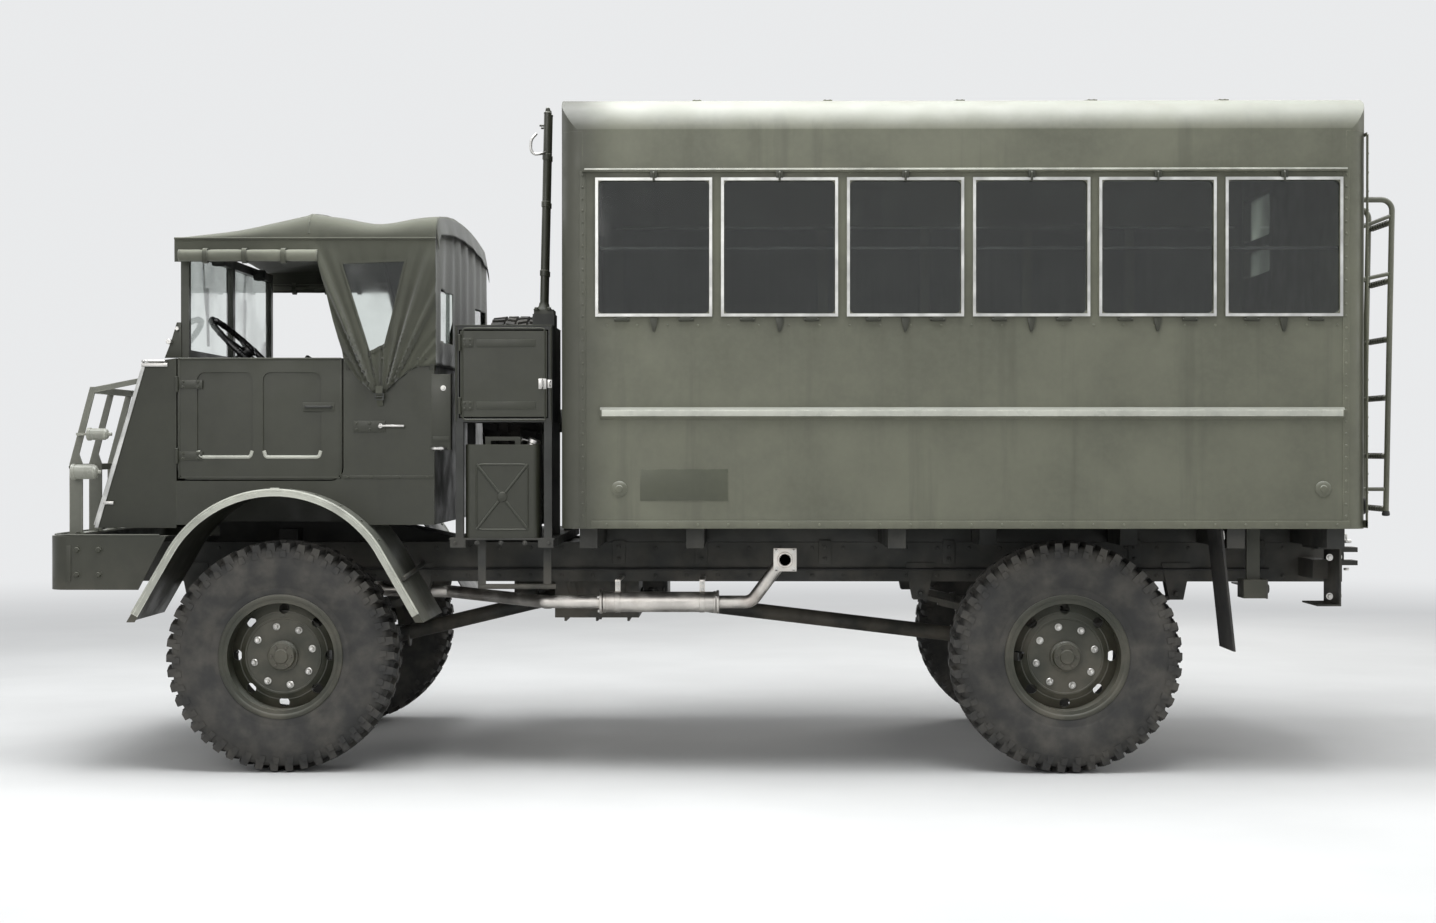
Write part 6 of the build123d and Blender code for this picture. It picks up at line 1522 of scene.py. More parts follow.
def swell(thing, voxel, pressure, cap, held_axis, held_at):
    remesh = thing.modifiers.new("remesh", "REMESH")
    remesh.mode, remesh.voxel_size = "VOXEL", voxel
    graph = bpy.context.evaluated_depsgraph_get()
    thing.data = bpy.data.meshes.new_from_object(thing.evaluated_get(graph))
    thing.modifiers.clear()
    group = thing.vertex_groups.new(name="held")
    group.add([v.index for v in thing.data.vertices if v.co[held_axis] < held_at + 0.006], 1.0, "REPLACE")
    cloth = thing.modifiers.new("cloth", "CLOTH")
    settings = cloth.settings
    settings.quality, settings.mass = 5, 0.3
    settings.use_pressure, settings.uniform_pressure_force = True, pressure
    settings.effector_weights.gravity = 0
    settings.vertex_group_mass = "held"
    settings.tension_stiffness = settings.compression_stiffness = 20
    cloth.point_cache.frame_start, cloth.point_cache.frame_end = 1, 20
    for number in range(1, 21):
        scene.frame_set(number)
    graph = bpy.context.evaluated_depsgraph_get()
    blown = thing.evaluated_get(graph).to_mesh()
    moved = [b.co - a.co for a, b in zip(thing.data.vertices, blown.vertices)]
    thing.evaluated_get(graph).to_mesh_clear()
    thing.modifiers.clear()
    for vertex, step_ in zip(thing.data.vertices, moved):
        vertex.co += step_ * min(1, cap / max(step_.length, 1e-9))
    scene.frame_set(1)
    print(thing.name, "moved up to", round(1000 * max(m.length for m in moved)), "mm, cap", round(1000 * cap))


def cushion(name, low, high, held_axis, welts, lean=0.0):
    # low and high are the room that the CAD model gives; the pad starts smaller and swells into it
    pad = Maker()
    low, high = Vector(low), Vector(high)
    start, end = low + Vector((0.013, 0.013, 0.013)), high - Vector((0.013, 0.013, 0.013))
    start[held_axis] = low[held_axis] + 0.001
    pad.box(start, end, 0.026)
    thing = pad.piece(name, seat_cloth, smooth=60)
    swell(thing, 0.008, 4.0, 0.016, held_axis, start[held_axis])
    middle = (low + high) / 2
    for vertex in thing.data.vertices:
        co = vertex.co
        for place in welts:
            off = co[held_axis] - place
            inward = (middle - co)
            inward[held_axis] = 0
            co += inward.normalized() * 0.0035 * exp(-(off / 0.007) ** 2)
        rough_ = noise.noise(co * 11) * 0.0022 + noise.noise(co * 31) * 0.0007
        if co[held_axis] > low[held_axis] + 0.02:
            co[held_axis] += rough_
        for axis in range(3):
            co[axis] = min(max(co[axis], low[axis] + 0.0005), high[axis] - 0.0005)
    tree = BVHTree.FromPolygons([v.co for v in thing.data.vertices], [tuple(p.vertices) for p in thing.data.polygons])
    a_axis, b_axis = [axis for axis in range(3) if axis != held_axis]
    bead = Maker()
    for place in welts:
        loop = []
        for k in range(120):
            t = 2 * pi * k / 120
            t += 0.22 * sin(4 * t + pi)
            aim_ = Vector((0, 0, 0))
            aim_[a_axis], aim_[b_axis] = cos(t), sin(t)
            root = middle.copy()
            root[held_axis] = place
            hit = tree.ray_cast(root, aim_)[0]
            if hit is not None:
                loop.append(hit + aim_ * 0.001)
        rings = []
        up = Vector((0, 0, 0))
        up[held_axis] = 1
        for i, here in enumerate(loop):
            along = (loop[(i + 1) % len(loop)] - loop[i - 1]).normalized()
            out_ = along.cross(up).normalized()
            rings.append([here + (out_ * cos(t) + up * sin(t)) * 0.0042 for t in (2 * pi * k / 8 for k in range(8))])
        bead.loft(rings, loop=True)
    welt = bead.piece(name + "_welts", seat_cloth, smooth=60)
    for mesh in (thing.data, welt.data):
        for vertex in mesh.vertices:
            vertex.co.x += lean * (vertex.co.z - low.z)
        mesh.polygons.foreach_set("use_smooth", [True] * len(mesh.polygons))
    fine = thing.modifiers.new("finer", "SUBSURF")
    fine.levels = fine.render_levels = 1
    return thing


cushions = []
for side, side_name in sides:
    y_low, y_high = sorted((side * 0.42, side * 0.9))
    cushions.append(cushion(f"{side_name}_seat_cushion", (1.7295, y_low, 1.348), (2.2075, y_high, 1.458), 2,
        (1.366, 1.44)))
    cushions.append(cushion(f"{side_name}_back_cushion", (1.6935, y_low, 1.466), (1.778, y_high, 1.842), 0,
        (1.708, 1.763), -0.0735 / 0.376))
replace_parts(cushions[0], "seat_cushions")
print("cushions", len(cushions))

# %% [markdown]
# ## Between cab and box
#
# The locker, the two poles, the fuel can and the spare wheel stand on one rack. Their small parts are what the photo
# shows best: hinge barrels, a toggle latch, a pressed cross in the can, a tool plate and the hook on the poles.

# %% Locker
locker = Maker()
for z in (1.68, 1.97):
    locker.rod((1.2485, 1.047, z - 0.038), (1.2485, 1.047, z + 0.038), 0.0075)
    locker.box((1.186, 1.04, z - 0.022), (1.244, 1.0435, z + 0.022), 0.001)
locker.tube(mm("856 1040.2 1616, 856 1040.2 2036, 1236 1040.2 2036, 1236 1040.2 1616, 856 1040.2 1616"), 0.0042, 8,
    0.02)
locker.box(*mm("900 1039.8 1665, 1170 1042.5 1700"), 0.001)
locker.box(*mm("900 1039.8 1950, 1170 1042.5 1985"), 0.001)
locker.piece("locker_hinges", cab_olive, "locker_door")
latch = Maker()
latch.box(*mm("850 1040 1757, 886 1045 1805"), 0.001)
latch.tube(mm("868 1044 1800, 868 1056 1796, 868 1058 1766, 868 1047 1760"), 0.0042, 8, 0.01)
latch.piece("locker_latch", bare_steel, "locker_door")
keeper = Maker()
keeper.box(*mm("824.5 1040.5 1762, 844.5 1044 1800"), 0.001)
keeper.tube(mm("830 1042 1792, 836 1054 1790, 836 1054 1772, 830 1042 1770"), 0.003, 8, 0.008)
keeper.piece("locker_keeper", bare_steel)
marks = [((x, 1.0435, z + s), to_left) for z in (1.68, 1.97) for s in (-0.013, 0.013) for x in (1.2, 1.226)]
rivets("locker_hinge_rivets", marks, cab_olive, 0.0055, 0.003, body="locker_door")
frame_edge = Maker()
frame_edge.tube(mm("829 1040.2 1612, 829 1040.2 2042"), 0.004, 8)
frame_edge.tube(mm("1264 1040.2 1612, 1264 1040.2 2042"), 0.004, 8)
frame_edge.box(*mm("822 555 2047.8, 1271 1043 2051.5"), 0.001)
frame_edge.piece("locker_edges", cab_olive)
print("locker dressed")

# %% Fuel can: pressed cross and pour cap
can = Maker()
middle = Vector((1.0545, 1.0312, 1.262))
reach_x, reach_z = 0.118, 0.15
for sx, sz in ((1, 1), (1, -1), (-1, 1), (-1, -1)):
    corner = middle + Vector((sx * reach_x, 0, sz * reach_z))
    can.tube([middle + Vector((sx * 0.016, 0, sz * 0.02)), corner], 0.0062, 8)
can.tube([middle + Vector((x * reach_x, 0, z * reach_z)) for x, z in ((-1, -1), (1, -1), (1, 1), (-1, 1), (-1, -1))],
    0.004, 8, 0.03, 5)
can.turned(middle + Vector((0, -0.001, 0)), to_left, mm("0 24, 5 22, 7.5 12, 8 0"), 20)
can.piece("fuel_can_pressing", cab_olive)
cap = Maker()
cap.turned((0.925, 0.948, 1.492), (-0.35, 0, 0.94), mm("0 28, 14 28, 18 33, 34 33, 40 26, 41 0"), 24)
cap.tube(mm("940 930 1520, 968 930 1528, 985 934 1506"), 0.004, 8, 0.01)
cap.tube(mm("940 966 1520, 968 966 1528, 985 962 1506"), 0.004, 8, 0.01)
cap.piece("fuel_can_cap", nut_steel)
print("fuel can dressed")

# %% Tool plate beside the can, with a bolt and a bright clip
plate_ = Maker()
plate_.box(*mm("1292 996 1478, 1384 1001 1827"), 0.002)
plate_.box(*mm("1300 1000.5 1520, 1376 1005.5 1540"), 0.001)
plate_.box(*mm("1292 960 1478, 1297 1001 1827"), 0.002)
plate_.piece("tool_plate", cab_olive)
clip = Maker()
clip.tube(mm("1318 1002 1484, 1330 1020 1484, 1372 1020 1484, 1381 1004 1484"), 0.0075, 10, 0.01)
clip.piece("tool_clip", bare_steel)
studs("tool_plate_bolts", [((1.329, 1.001, 1.763), to_left)], nut_steel, 0.0085, 0.006)
print("tool plate")

# %% Poles: pegs, the hook that the photo shows and their bracket bolts
poles = Maker()
for y in (0.82, 0.9):
    top = Vector((0.8555, y, 3.043))
    lean = Vector((-0.02, 0, 0.917)).normalized()
    poles.turned(top - lean * 0.004, lean, mm("0 18.5, 6 18.5, 10 12, 26 10, 30 6"), 20)
    for z in (2.3, 2.62, 2.84):
        here = Vector((0.8755 - 0.0218 * (z - 2.126), y, z))
        poles.turned(here, lean, mm("-14 17.2, -12 20.5, 12 20.5, 14 17.2"), 20)
    poles.turned((0.8755, y, 2.128), upward, mm("0 32, 6 30, 20 22, 34 19"), 24)
    poles.rod((0.861, y, 2.985), (0.894, y, 2.985), 0.005)
poles.piece("pole_collars", cab_olive)
hook = Maker()
hook.tube(mm("866 912 2860, 880 935 2850, 915 940 2846, 932 940 2868, 930 938 2915, 905 930 2944"), 0.0068, 10, 0.02)
hook.piece("pole_hook", bare_steel)
marks = [((x, y, 2.128), upward) for y in (0.775, 0.945) for x in (0.845, 0.905)]
studs("pole_base_bolts", marks, cab_olive, 0.009, 0.007, slot="lamp_metal")
print("poles dressed")

# %% Rack: bolts on its floor bars, and the spare's clamp
marks = [((x, 1.0402, 1.0515), to_left) for x in (0.84, 0.95, 1.06, 1.17, 1.27)]
studs("rack_bolts", marks, chassis_black, 0.008, 0.006, slot="lamp_metal")
clamp = Maker()
clamp.box(*mm("945 -235 1604, 960 115 1648"), 0.003)
clamp.piece("spare_clamp_bar", chassis_black)
screw = Maker()
screw.rod(*mm("925 -60 1626, 985 -60 1626"), 0.011)
screw.turned((0.926, -0.06, 1.626), backward, mm("0 18, 10 18, 14 13, 15 0"), 20)
screw.tube(mm("920 -60 1626, 915 -105 1626, 905 -118 1626"), 0.0062, 10, 0.01)
screw.tube(mm("920 -60 1626, 915 -15 1626, 905 -2 1626"), 0.0062, 10, 0.01)
screw.piece("spare_clamp_screw", nut_steel)
print("rack dressed")

# %% [markdown]
# ## Underneath
#
# Springs get clips, U-bolts, eyes and dampers. Rails get two rows of rivets. The exhaust gets flange rings, band
# clamps and the bright square flange at its tail. Brake pipes and tank straps follow the rails.

# %% Springs: clips, U-bolts, shackle nuts and dampers
clips, dampers, marks = Maker(), Maker(), []
for axle_x, half_length in ((front_axle_x, 0.55), (rear_axle_x, 0.62)):
    for side in (1, -1):
        y = side * 0.395
        for offset in (-0.068, 0.068):
            for edge in (-0.041, 0.041):
                clips.rod((axle_x + offset, y + edge, 0.44), (axle_x + offset, y + edge, 0.708), 0.0085, sides=12)
                marks.append(((axle_x + offset, y + edge, 0.4485), downward))
            clips.box((axle_x + offset - 0.0085, y - 0.0495, 0.7), (axle_x + offset + 0.0085, y + 0.0495, 0.717),
                0.004)
        clips.box((axle_x - 0.085, y - 0.056, 0.448), (axle_x + 0.085, y + 0.056, 0.468), 0.004)
        clips.box((axle_x - 0.05, y - 0.034, 0.6915), (axle_x + 0.05, y + 0.034, 0.702), 0.003)
        for reach, drop in ((-0.62, 0.047), (0.62, 0.047), (-0.36, 0.069), (0.36, 0.069)):
            x, top = axle_x + reach * half_length, 0.694 + 0.09 * reach * reach
            clips.box((x - 0.013, y - 0.035, top - drop), (x + 0.013, y + 0.035, top + 0.005), 0.002)
        for end in (-1, 1):
            marks.append(((axle_x + end * half_length, side * 0.4382, 0.782), (0, side, 0)))
clips.piece("spring_clips", chassis_black)
studs("spring_nuts", marks, chassis_black, 0.0135, 0.012, slot="lamp_metal")
for axle_x, lean in ((front_axle_x, 0.17), (rear_axle_x, -0.19)):
    for side in (1, -1):
        y = side * 0.48
        foot, head = Vector((axle_x + lean * 0.4, y, 0.56)), Vector((axle_x + lean, y, 0.925))
        along = (head - foot).normalized()
        dampers.turned(foot, along,
            mm("12 12, 18 21, 22 24, 175 24, 180 10, 185 10, 185 27, 188 28.5, 352 28.5, 358 24, 362 12"), 24)
        for end in (foot, head):
            dampers.turned(end - Vector((0, side * 0.022, 0)), (0, side, 0), mm("0 10, 1 21, 36 21, 38 12, 46 11"),
                20)
        dampers.box((foot.x - 0.022, side * 0.425, 0.545), (foot.x + 0.022, side * 0.47, 0.573), 0.003)
        dampers.box((head.x - 0.026, side * 0.4295, 0.895), (head.x + 0.026, side * 0.466, 0.955), 0.003)
        dampers.turned((axle_x, side * 0.395, 0.842), downward, mm("0 34, 10 34, 20 26, 44 22, 56 14, 58 0"), 24)
dampers.piece("dampers", chassis_black)
print("springs and dampers dressed")

# %% Rails: rivets, the body's clamp plates, runners between its bearers, and brake pipes
marks = [((-2.82 + 0.152 * i, side * 0.4302, z), (0, side, 0)) for side in (1, -1) for i in range(38)
    for z in (0.868, 1.002)]
rivets("rail_rivets", marks, chassis_black, 0.0085, 0.0045)
clamp_rows = (-2.55, -1.95, -1.05, -0.45, 0.15, 0.55)
clamps, pipes = Maker(), Maker()
for side in (1, -1):
    for x in clamp_rows:
        clamps.box((x - 0.03, side * 0.43, 0.925), (x + 0.03, side * 0.4385, 1.04), 0.002)
    pipes.tube(mm("2450 437 900, -2600 437 900", side), 0.0062, 8)
bearers = (-2.7455, -2.2925, -1.8625, -1.2025, -0.7525, 0.1675, 0.6535)
runners = Maker()
for side in (1, -1):
    for behind, ahead in zip(bearers, bearers[1:]):
        runners.box((behind + 0.041, side * 0.362, 1.031), (ahead - 0.041, side * 0.428, 1.121), 0.004)
runners.piece("body_runners", chassis_black)
clamps.piece("body_clamps", chassis_black)
for axle_x in (front_axle_x, rear_axle_x):
    pipes.tube([(axle_x + 0.018, -0.66, 0.5895), (axle_x + 0.018, -0.36, 0.5895)], 0.0034, 8)
    pipes.tube([(axle_x + 0.018, 0.08, 0.5895), (axle_x + 0.018, 0.66, 0.5895)], 0.0034, 8)
pipes.piece("brake_pipes", seal_rubber)
marks = [((x, side * 0.4385, z), (0, side, 0)) for side in (1, -1) for x in clamp_rows for z in (0.95, 1.008)]
studs("body_clamp_bolts", marks, chassis_black, 0.0095, 0.007, slot="lamp_metal")
print("rails dressed")

# %% Exhaust: flange rings, bands, strap bolts and the square tail flange's bright mouth
flanges = Maker()
ring_rows = mm("0 50, 2 55, 12 55, 14 50")
for x, scale in ((0.607, 1.0), (0.06, 1.0), (0.5915, 0.925), (0.0745, 0.925)):
    flanges.turned((x, 0.8, 0.765), forward, [(s, r * scale) for s, r in ring_rows], 28)
for x in (0.5355, 0.1395):
    flanges.turned((x - 0.013, 0.8, 0.765), forward, mm("0 48.2, 1.2 50, 24.8 50, 26 48.2"), 32)
    flanges.box((x - 0.0125, 0.799, 0.806), (x + 0.0125, 0.803, 0.869), 0.001)
flanges.turned((-0.2435, 1.059, 0.975), to_left, mm("0 26, 5.5 28.5, 6 34, 3 36.5, 0 37"), 32)
flanges.box(*mm("-295.5 1059.5 923, -191.5 1061.5 929"), 0.0008)
flanges.box(*mm("-295.5 1059.5 1021, -191.5 1061.5 1027"), 0.0008)
flanges.piece("exhaust_bands", silencer_steel)
marks = [((-0.2435 + sx * 0.04, 1.06, 0.975 + sz * 0.04), to_left) for sx in (-1, 1) for sz in (-1, 1)]
marks += [((x, 0.8 + 0.0435 * cos(t), 0.765 + 0.0435 * sin(t)), forward) for x in (0.621, 0.074)
    for t in (0.6, 2.7, 4.75)]
marks += [((x, 0.803, z), to_left) for x in (0.5355, 0.1395) for z in (0.825, 0.852)]
studs("exhaust_bolts", marks, nut_steel, 0.0072, 0.006)
print("exhaust dressed")

# %% Axles and shafts: domed covers, plugs, pinion flanges and the joints' crosses
covers, joints, marks = Maker(), Maker(), []
diff_y = -0.15
for axle_x, pinion_side in ((front_axle_x, -1), (rear_axle_x, 1)):
    away, middle = -pinion_side, Vector((axle_x, diff_y, axle_height))
    covers.turned(middle, (away, 0, 0), mm("100 120, 148 120, 152 112, 172 98, 186 66, 193 30, 194 0"), 36)
    covers.turned(middle, (away, 0, 0), mm("100 138, 138 138, 142 134, 142 100"), 36)
    marks += [((axle_x + away * 0.142, diff_y + 0.129 * cos(t), axle_height + 0.129 * sin(t)), (away, 0, 0))
        for t in [pi * i / 6 for i in range(12)]]
    covers.turned(middle + Vector((pinion_side * 0.255, 0, 0)), (pinion_side, 0, 0), mm("0 62, 1 76, 16 76, 18 62"),
        32)
    marks += [((axle_x + pinion_side * 0.271, diff_y + 0.069 * cos(t), axle_height + 0.069 * sin(t)),
        (pinion_side, 0, 0)) for t in [pi * i / 4 for i in range(8)]]
    for turn_ in range(6):
        t = pi * turn_ / 3 + 0.26
        spoke = Vector((0, cos(t), sin(t)))
        root = middle + spoke * 0.06
        covers.plate(mm("165 0, 255 0, 255 10, 165 70"), root - spoke.cross(forward) * 0.004, (pinion_side, 0, 0),
            spoke, 0.008 * pinion_side, 0.001)
covers.piece("axle_covers", chassis_black)
for joint_x, z in ((0.9475, 0.72), (1.7075, 0.53), (0.4075, 0.72), (-1.1725, 0.53)):
    here = Vector((joint_x, diff_y, z))
    for way in (Vector(to_left), Vector(upward)):
        joints.rod(here - way * 0.052, here + way * 0.052, 0.0175)
        for end in (-1, 1):
            joints.turned(here + way * (end * 0.043), way * end, mm("0 26, 8 25, 11 20, 12 0"), 16)
    joints.turned(here - Vector((0.058, 0, 0)), forward, mm("0 56, 10 56, 12 44"), 28)
    joints.turned(here + Vector((0.046, 0, 0)), forward, mm("0 44, 2 56, 12 56"), 28)
joints.piece("shaft_joints", chassis_black)
case = Maker()
case.turned((0.6775, 0.118, 0.82), to_left, mm("0 150, 10 150, 14 144, 14 110, 30 90, 36 50, 37 0"), 36)
case.turned((0.6775, -0.298, 0.82), to_right, mm("0 150, 10 150, 14 144, 14 110, 30 90, 36 50, 37 0"), 36)
for x in (0.52, 0.6775, 0.835):
    case.box((x - 0.006, -0.294, 0.622), (x + 0.006, 0.114, 0.642), 0.002)
case.box(*mm("457.5 -306 925, 897.5 126 941"), 0.003)
case.box(*mm("1747 -215 850, 1767 215 1150"), 0.004)
case.piece("gear_case_covers", chassis_black)
marks += [((0.6775 + 0.13 * cos(t), y, 0.82 + 0.13 * sin(t)), (0, way, 0)) for y, way in ((0.132, 1), (-0.312, -1))
    for t in [pi * i / 5 for i in range(10)]]
marks += [((x, diff_y, z), downward) for x, z in ((front_axle_x, 0.3505), (rear_axle_x, 0.3505), (0.6775, 0.6215))]
studs("axle_bolts", marks, chassis_black, 0.0085, 0.007, slot="lamp_metal")
print("axles dressed")

# %% Fuel tank: two bands, a pour cap and its drain
tank_y, tank_z, tank_corner = (-1.08, -0.64), (0.66, 1.0), 0.06


def tank_band(maker, x, half_width, thick):
    proud = 0.0005
    rings = []
    for cy, cz, start in ((tank_y[1] - tank_corner, tank_z[1] - tank_corner, 0),
            (tank_y[0] + tank_corner, tank_z[1] - tank_corner, 1), (tank_y[0] + tank_corner, tank_z[0] + tank_corner,
            2), (tank_y[1] - tank_corner, tank_z[0] + tank_corner, 3)):
        for k in range(7):
            t = pi / 2 * (start + k / 6)
            ring = []
            for radius, dx in ((tank_corner + proud, -1), (tank_corner + thick, -0.8), (tank_corner + thick, 0.8),
                    (tank_corner + proud, 1)):
                ring.append(Vector((x + dx * half_width, cy + radius * cos(t), cz + radius * sin(t))))
            rings.append(ring)
    maker.loft(rings, loop=True)


bands = Maker()
for x in (0.4975, 1.0175):
    tank_band(bands, x, 0.02, 0.004)
for x in (0.3555, 1.1595):
    tank_band(bands, x, 0.007, 0.006)
bands.turned((0.64, -1.0624, 0.9824), (0, -0.7071, 0.7071), mm("-4 52, 4 50, 6 38, 30 38, 32 46, 52 46, 58 40, 59 0"),
    32)
bands.piece("tank_bands", chassis_black)
tank_bits = Maker()
for x in (0.4975, 1.0175):
    tank_bits.rod((x, -0.632, 0.94), (x, -0.632, 0.88), 0.006)
tank_bits.turned((0.7575, -0.86, 0.66), downward, mm("0 20, 8 19, 10 12, 18 11, 19 0"), 8)
tank_bits.tube(mm("950 -860 999, 950 -860 1030, 950 -600 1035, 950 -450 1020"), 0.005, 8, 0.03)
tank_bits.piece("tank_fittings", nut_steel)
print("tank dressed")

# %% Under the bonnet: fan, pulley, top hose and filler cap
blade, cooling = Maker(), Maker()
fan_middle = Vector((2.585, 0, 1.39))
left_edge = [fan_middle + Vector((-0.016, -0.022, 0.034)), fan_middle + Vector((-0.02, -0.04, 0.11)),
    fan_middle + Vector((-0.016, -0.048, 0.205))]
right_edge = [fan_middle + Vector((0.01, 0.022, 0.034)), fan_middle + Vector((0.014, 0.036, 0.11)),
    fan_middle + Vector((0.008, 0.044, 0.2))]
blade.strip(left_edge, right_edge, 0.003, (1, 0.3, 0))
around("fan_blades", blade, 6, fan_middle, forward, chassis_black, "chassis", "chassis_paint")
cooling.turned(fan_middle - Vector((0.048, 0, 0)), forward,
    mm("0 20, 4 70, 10 70, 16 58, 22 70, 28 70, 30 46, 58 40, 62 24, 63 0"), 36)
cooling.turned((2.6675, -0.14, 1.638), upward, mm("0 30, 12 30, 13 38, 26 38, 30 32, 31 0"), 28)
cooling.box(*mm("2620.5 -330 1600, 2714.5 330 1646"), 0.012)
cooling.piece("radiator_top", chassis_black)
hoses = Maker()
hoses.tube(mm("2540 100 1560, 2585 100 1585, 2640 100 1615"), 0.024, 16, 0.03, 6)
hoses.tube(mm("2540 -120 1020, 2590 -160 1060, 2640 -200 1110"), 0.024, 16, 0.03, 6)
hoses.piece("radiator_hoses", seal_rubber)
print("radiator dressed")

# %% [markdown]
# ## Rear
#
# The rear wall has a door on three hinges with a bar handle, two small framed panes, the ladder's feet and round
# reflectors. Below it hang lamps, flaps, short bumpers and the tow hook with its pin.

# %% Rear door and wall
hinges, door_bits, wall_bits = Maker(), Maker(), Maker()
for z in (1.45, 2.04, 2.63):
    hinges.rod((-2.8735, -0.427, z - 0.045), (-2.8735, -0.427, z + 0.045), 0.0085)
    hinges.box((-2.87, -0.418, z - 0.022), (body_rear, -0.25, z + 0.022), 0.0015)
hinges.piece("rear_door_hinges", box_olive, "rear_door")
for z_low, z_high in ((1.25, 1.86), (2.06, 2.83)):
    door_bits.tube([(-2.865, -0.36, z_low), (-2.865, -0.36, z_high), (-2.865, 0.31, z_high), (-2.865, 0.31, z_low),
        (-2.865, -0.36, z_low)], 0.006, 8, 0.05, 6)
door_bits.box(*mm("-2869 290 1900, -2865.5 365 2010"), 0.002)
door_bits.piece("rear_door_pressings", box_olive, "rear_door")
handle = Maker()
handle.turned((-2.869, 0.33, 1.955), backward, mm("0 18, 8 16, 10 10, 30 10, 32 0"), 20)
handle.tube(mm("-2894 330 1955, -2896 280 1955, -2896 200 1950"), 0.0085, 12, 0.02)
handle.piece("rear_door_handle", bare_steel, "rear_door")
marks = [((-2.87, y, z + s), backward) for z in (1.45, 2.04, 2.63) for s in (-0.011, 0.011)
    for y in (-0.385, -0.325, -0.272)]
rivets("rear_door_hinge_bolts", marks, box_olive, 0.007, 0.004, body="rear_door")
wall_bits.box(*mm("-2869.5 -448 2893, -2865.5 408 2908"), 0.002)
wall_bits.strip(mm("-2865.5 -470 2930, -2865.5 430 2930"), mm("-2905 -470 2912, -2905 430 2912"), 0.003, (0.2, 0, 1))
for y in (-0.442, 0.402):
    wall_bits.box((-2.869, y - 0.007, 1.19), (body_rear, y + 0.007, 2.895), 0.0015)
for side in (1, -1):
    wall_bits.box(*mm("-2869 1150 1130, -2865.5 1180 2900", side), 0.0015)
wall_bits.box(*mm("-2869 -1180 1125, -2865.5 1180 1160"), 0.0015)
wall_bits.box(*mm("-2869 -1160 2896, -2865.5 1160 2912"), 0.0015)
wall_bits.piece("rear_wall_laps", box_olive)
marks = [((-2.869, side * 1.165, 1.2 + 0.085 * i), backward) for side in (1, -1) for i in range(20)]
marks += [((-2.869, -1.1 + 0.1 * i, 1.1425), backward) for i in range(23)]
rivets("rear_wall_rivets", marks, box_olive, 0.006, 0.003)
pane_trim = Maker()
for z_low, z_high in ((2.42, 2.565), (2.615, 2.85)):
    pane_trim.tube([(-2.867, -1.084, z_low - 0.004), (-2.867, -1.084, z_high + 0.004),
        (-2.867, -0.481, z_high + 0.004), (-2.867, -0.481, z_low - 0.004), (-2.867, -1.084, z_low - 0.004)], 0.0065,
        8, 0.03, 5)
pane_trim.piece("rear_pane_frames", window_alloy, slot="box_paint")
# grey films over the rear panes: painted shade that dims the daylight coming through them
film = Maker()
for z_low, z_high in ((2.42, 2.565), (2.615, 2.85)):
    film.box((-2.8672, -1.081, z_low - 0.001), (-2.8662, -0.484, z_high + 0.001), 0.0002)
film.piece("rear_pane_shade", pane_dusty)
grab = Maker()
grab.tube(mm("-2865.5 470 1380, -2910.5 470 1395, -2910.5 470 1905, -2865.5 470 1920"), 0.0115, 12, 0.04, 6)
for z in (1.38, 1.92):
    grab.turned((body_rear, 0.47, z), backward, mm("0 26, 4 26, 6 22, 10 13"), 20)
grab.piece("rear_grab_rail", box_olive)
seal = Maker()
seal.tube(mm("-2864 -427 1193, -2864 -427 2887, -2864 387 2887, -2864 387 1193, -2864 -427 1193"), 0.0022, 6, 0.01)
seal.piece("rear_door_seal", seal_rubber)
print("rear wall dressed")

# %% Reflectors, lamps and flaps
rings, lenses = Maker(), Maker()
for side in (1, -1):
    rings.turned((body_rear, side * 1.1, 1.225), backward, mm("0 40, 6 40, 9 36, 6 33"), 28)
    lenses.turned((body_rear, side * 1.1, 1.225), backward, mm("0.5 33, 5 32, 8 22, 9 0"), 28)
    for y, radius in ((0.97, 0.027), (1.03, 0.021)):
        rings.turned((-2.4475, side * y, 0.8425), backward, [(0, radius), (0.008, radius), (0.01, radius - 0.003),
            (0.008, radius - 0.004)], 24)
    lenses.turned((-2.4475, side * 0.97, 0.8425), backward, mm("0.5 23, 10 21.5, 15 13, 16 0"), 24)
rings.piece("lamp_rings", chassis_black, slot="lamp_metal")
lenses.piece("red_lenses", red_lens)
amber = Maker()
for side in (1, -1):
    amber.turned((-2.4475, side * 1.03, 0.8425), backward, mm("0.5 17, 8 16, 12 10, 13 0"), 24)
amber.piece("amber_lenses", amber_lens)
backs = Maker()
for side in (1, -1):
    backs.box(*mm("-2447.5 928 798, -2439.5 1062 887", side), 0.003)
backs.piece("rear_lamp_backs", chassis_black, slot="lamp_metal")
flap_lean = Vector((-0.0575, 0, -0.562)).normalized()
flap_back = Vector((-0.562, 0, 0.0575)).normalized()
flap_bits = Maker()
for side in (1, -1):
    low_y = min(side * 0.8, side * 1.1)
    root = Vector((-2.2325, low_y, 1.122)) + flap_back * 0.0058
    flap_bits.plate(mm("4 12, 296 12, 296 52, 4 52"), root, to_left, flap_lean, -0.004, 0.001)
flap_bits.piece("flap_clamps", nut_steel)
ribs = Maker()
for side in (1, -1):
    low_y = min(side * 0.8, side * 1.1)
    root = Vector((-2.2325, low_y, 1.122)) + flap_back * 0.0052
    for k in range(9):
        ribs.plate([(0.03 + 0.03 * k - 0.003, 0.09), (0.03 + 0.03 * k + 0.003, 0.09),
            (0.03 + 0.03 * k + 0.003, 0.545), (0.03 + 0.03 * k - 0.003, 0.545)], root, to_left, flap_lean, -0.0025,
            0.0006)
ribs.piece("flap_ribs", flap_rubber)
print("lamps and flaps dressed")

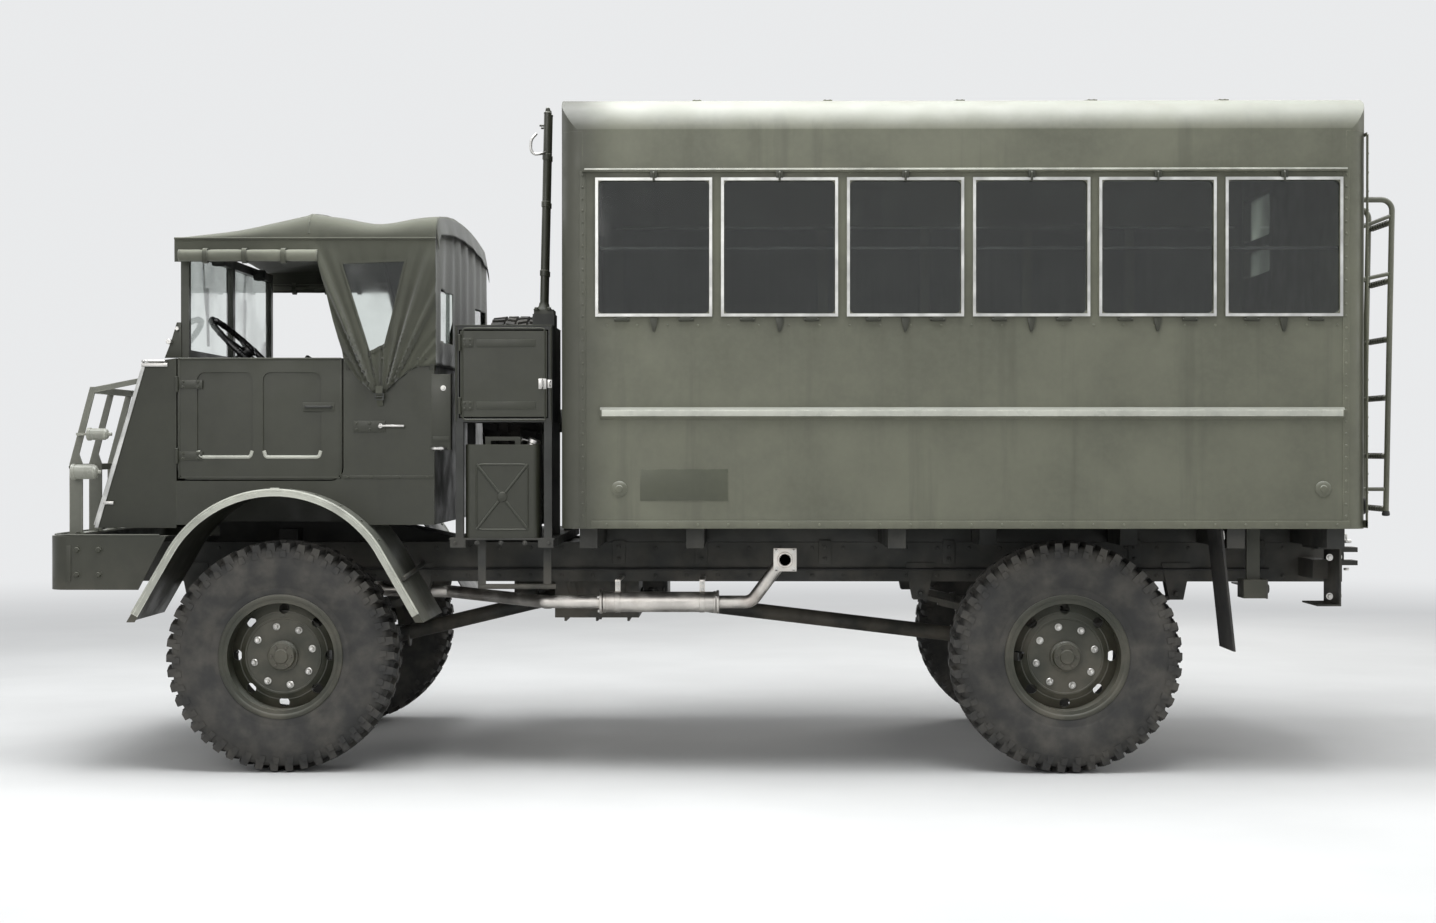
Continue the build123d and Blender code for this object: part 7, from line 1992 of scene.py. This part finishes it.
# %% Tow hook: latch and pin, bolts; short bumpers and ladder feet
tow = Maker()
tow.turned((-3.0935, 0, 1.01), upward, mm("0 24, 4 26, 12 26, 16 20, 17 0"), 24)
tow.tube(mm("-3093.5 0 1020, -3093.5 0 1052, -3073.5 20 1058, -3053.5 20 1040"), 0.0055, 10, 0.012)
tow.rod(*mm("-3093.5 0 872, -3093.5 0 884"), 0.014)
tow.piece("tow_pin_head", nut_steel)
marks = [((-2.9715, y, 0.945 + z), backward) for y in (-0.072, 0.072) for z in (-0.052, 0.052)]
marks += [((-2.8245, side * y, z), backward) for side in (1, -1) for y in (0.66, 0.86) for z in (0.8, 0.98)]
marks += [((-2.77, side * 0.9002, z), (0, side, 0)) for side in (1, -1) for z in (0.8, 0.98)]
studs("rear_bolts", marks, nut_steel, 0.011, 0.008)
feet = Maker()
for y in (0.56, 0.94):
    feet.turned((-3.0185, y, 1.186), downward, mm("-10 15.5, 0 18, 10 18, 13 10"), 16)
    for z in (1.297, 2.292, 2.56):
        feet.turned((body_rear, y, z), backward, mm("0 30, 4 30, 6 24, 10 15"), 20)
feet.piece("ladder_feet", seal_rubber)
grips = Maker()
for z in (1.205, 1.45, 1.72, 1.99, 2.26, 2.53):
    x = -3.0185 - 0.027 * (z - 1.186) / 1.446
    for k in range(7):
        y = 0.63 + 0.04 * k
        grips.turned((x, y, z), to_left, mm("0 13.2, 0.8 14.5, 4.5 14.5, 5.3 13.2"), 14)
grips.piece("ladder_treads", chassis_black, slot="box_paint")
print("rear dressed")

# %% [markdown]
# ## Floor
#
# The floor is plain and pale, and is no part of the truck.

# %% Floor
floor_maker = Maker()
floor_maker.add([(-60, -60, 0), (60, -60, 0), (60, 60, 0), (-60, 60, 0)], [(0, 1, 2, 3)])
floor_finish = Finish("floor_pale", 0.9)
floor_mottle = floor_finish.spread(floor_finish.noise(0.8, 3), 0.3, 0.7)
floor_material = floor_finish.done(floor_finish.blend(floor_mottle, (0.62, 0.62, 0.61, 1), (0.66, 0.66, 0.65, 1)))
# far from the truck the floor melts into the backdrop
away = floor_finish.node("ShaderNodeVectorMath", {0: floor_finish.place}, operation="LENGTH").outputs["Value"]
melt = floor_finish.spread(away, 5.0, 17.0)
glow = floor_finish.node("ShaderNodeEmission", {"Color": (0.86, 0.87, 0.88, 1), "Strength": 0.95})
mixed = floor_finish.node("ShaderNodeMixShader", {0: melt, 1: floor_finish.shader.outputs[0], 2: glow.outputs[0]})
join(floor_finish.tree, mixed.outputs[0], floor_finish.tree.nodes["Material Output"].inputs["Surface"])
floor_mesh = bpy.data.meshes.new("floor")
floor_maker.bm.to_mesh(floor_mesh)
floor_maker.bm.free()
floor_mesh.materials.append(floor_material)
floor = bpy.data.objects.new("floor", floor_mesh)
collection.objects.link(floor)
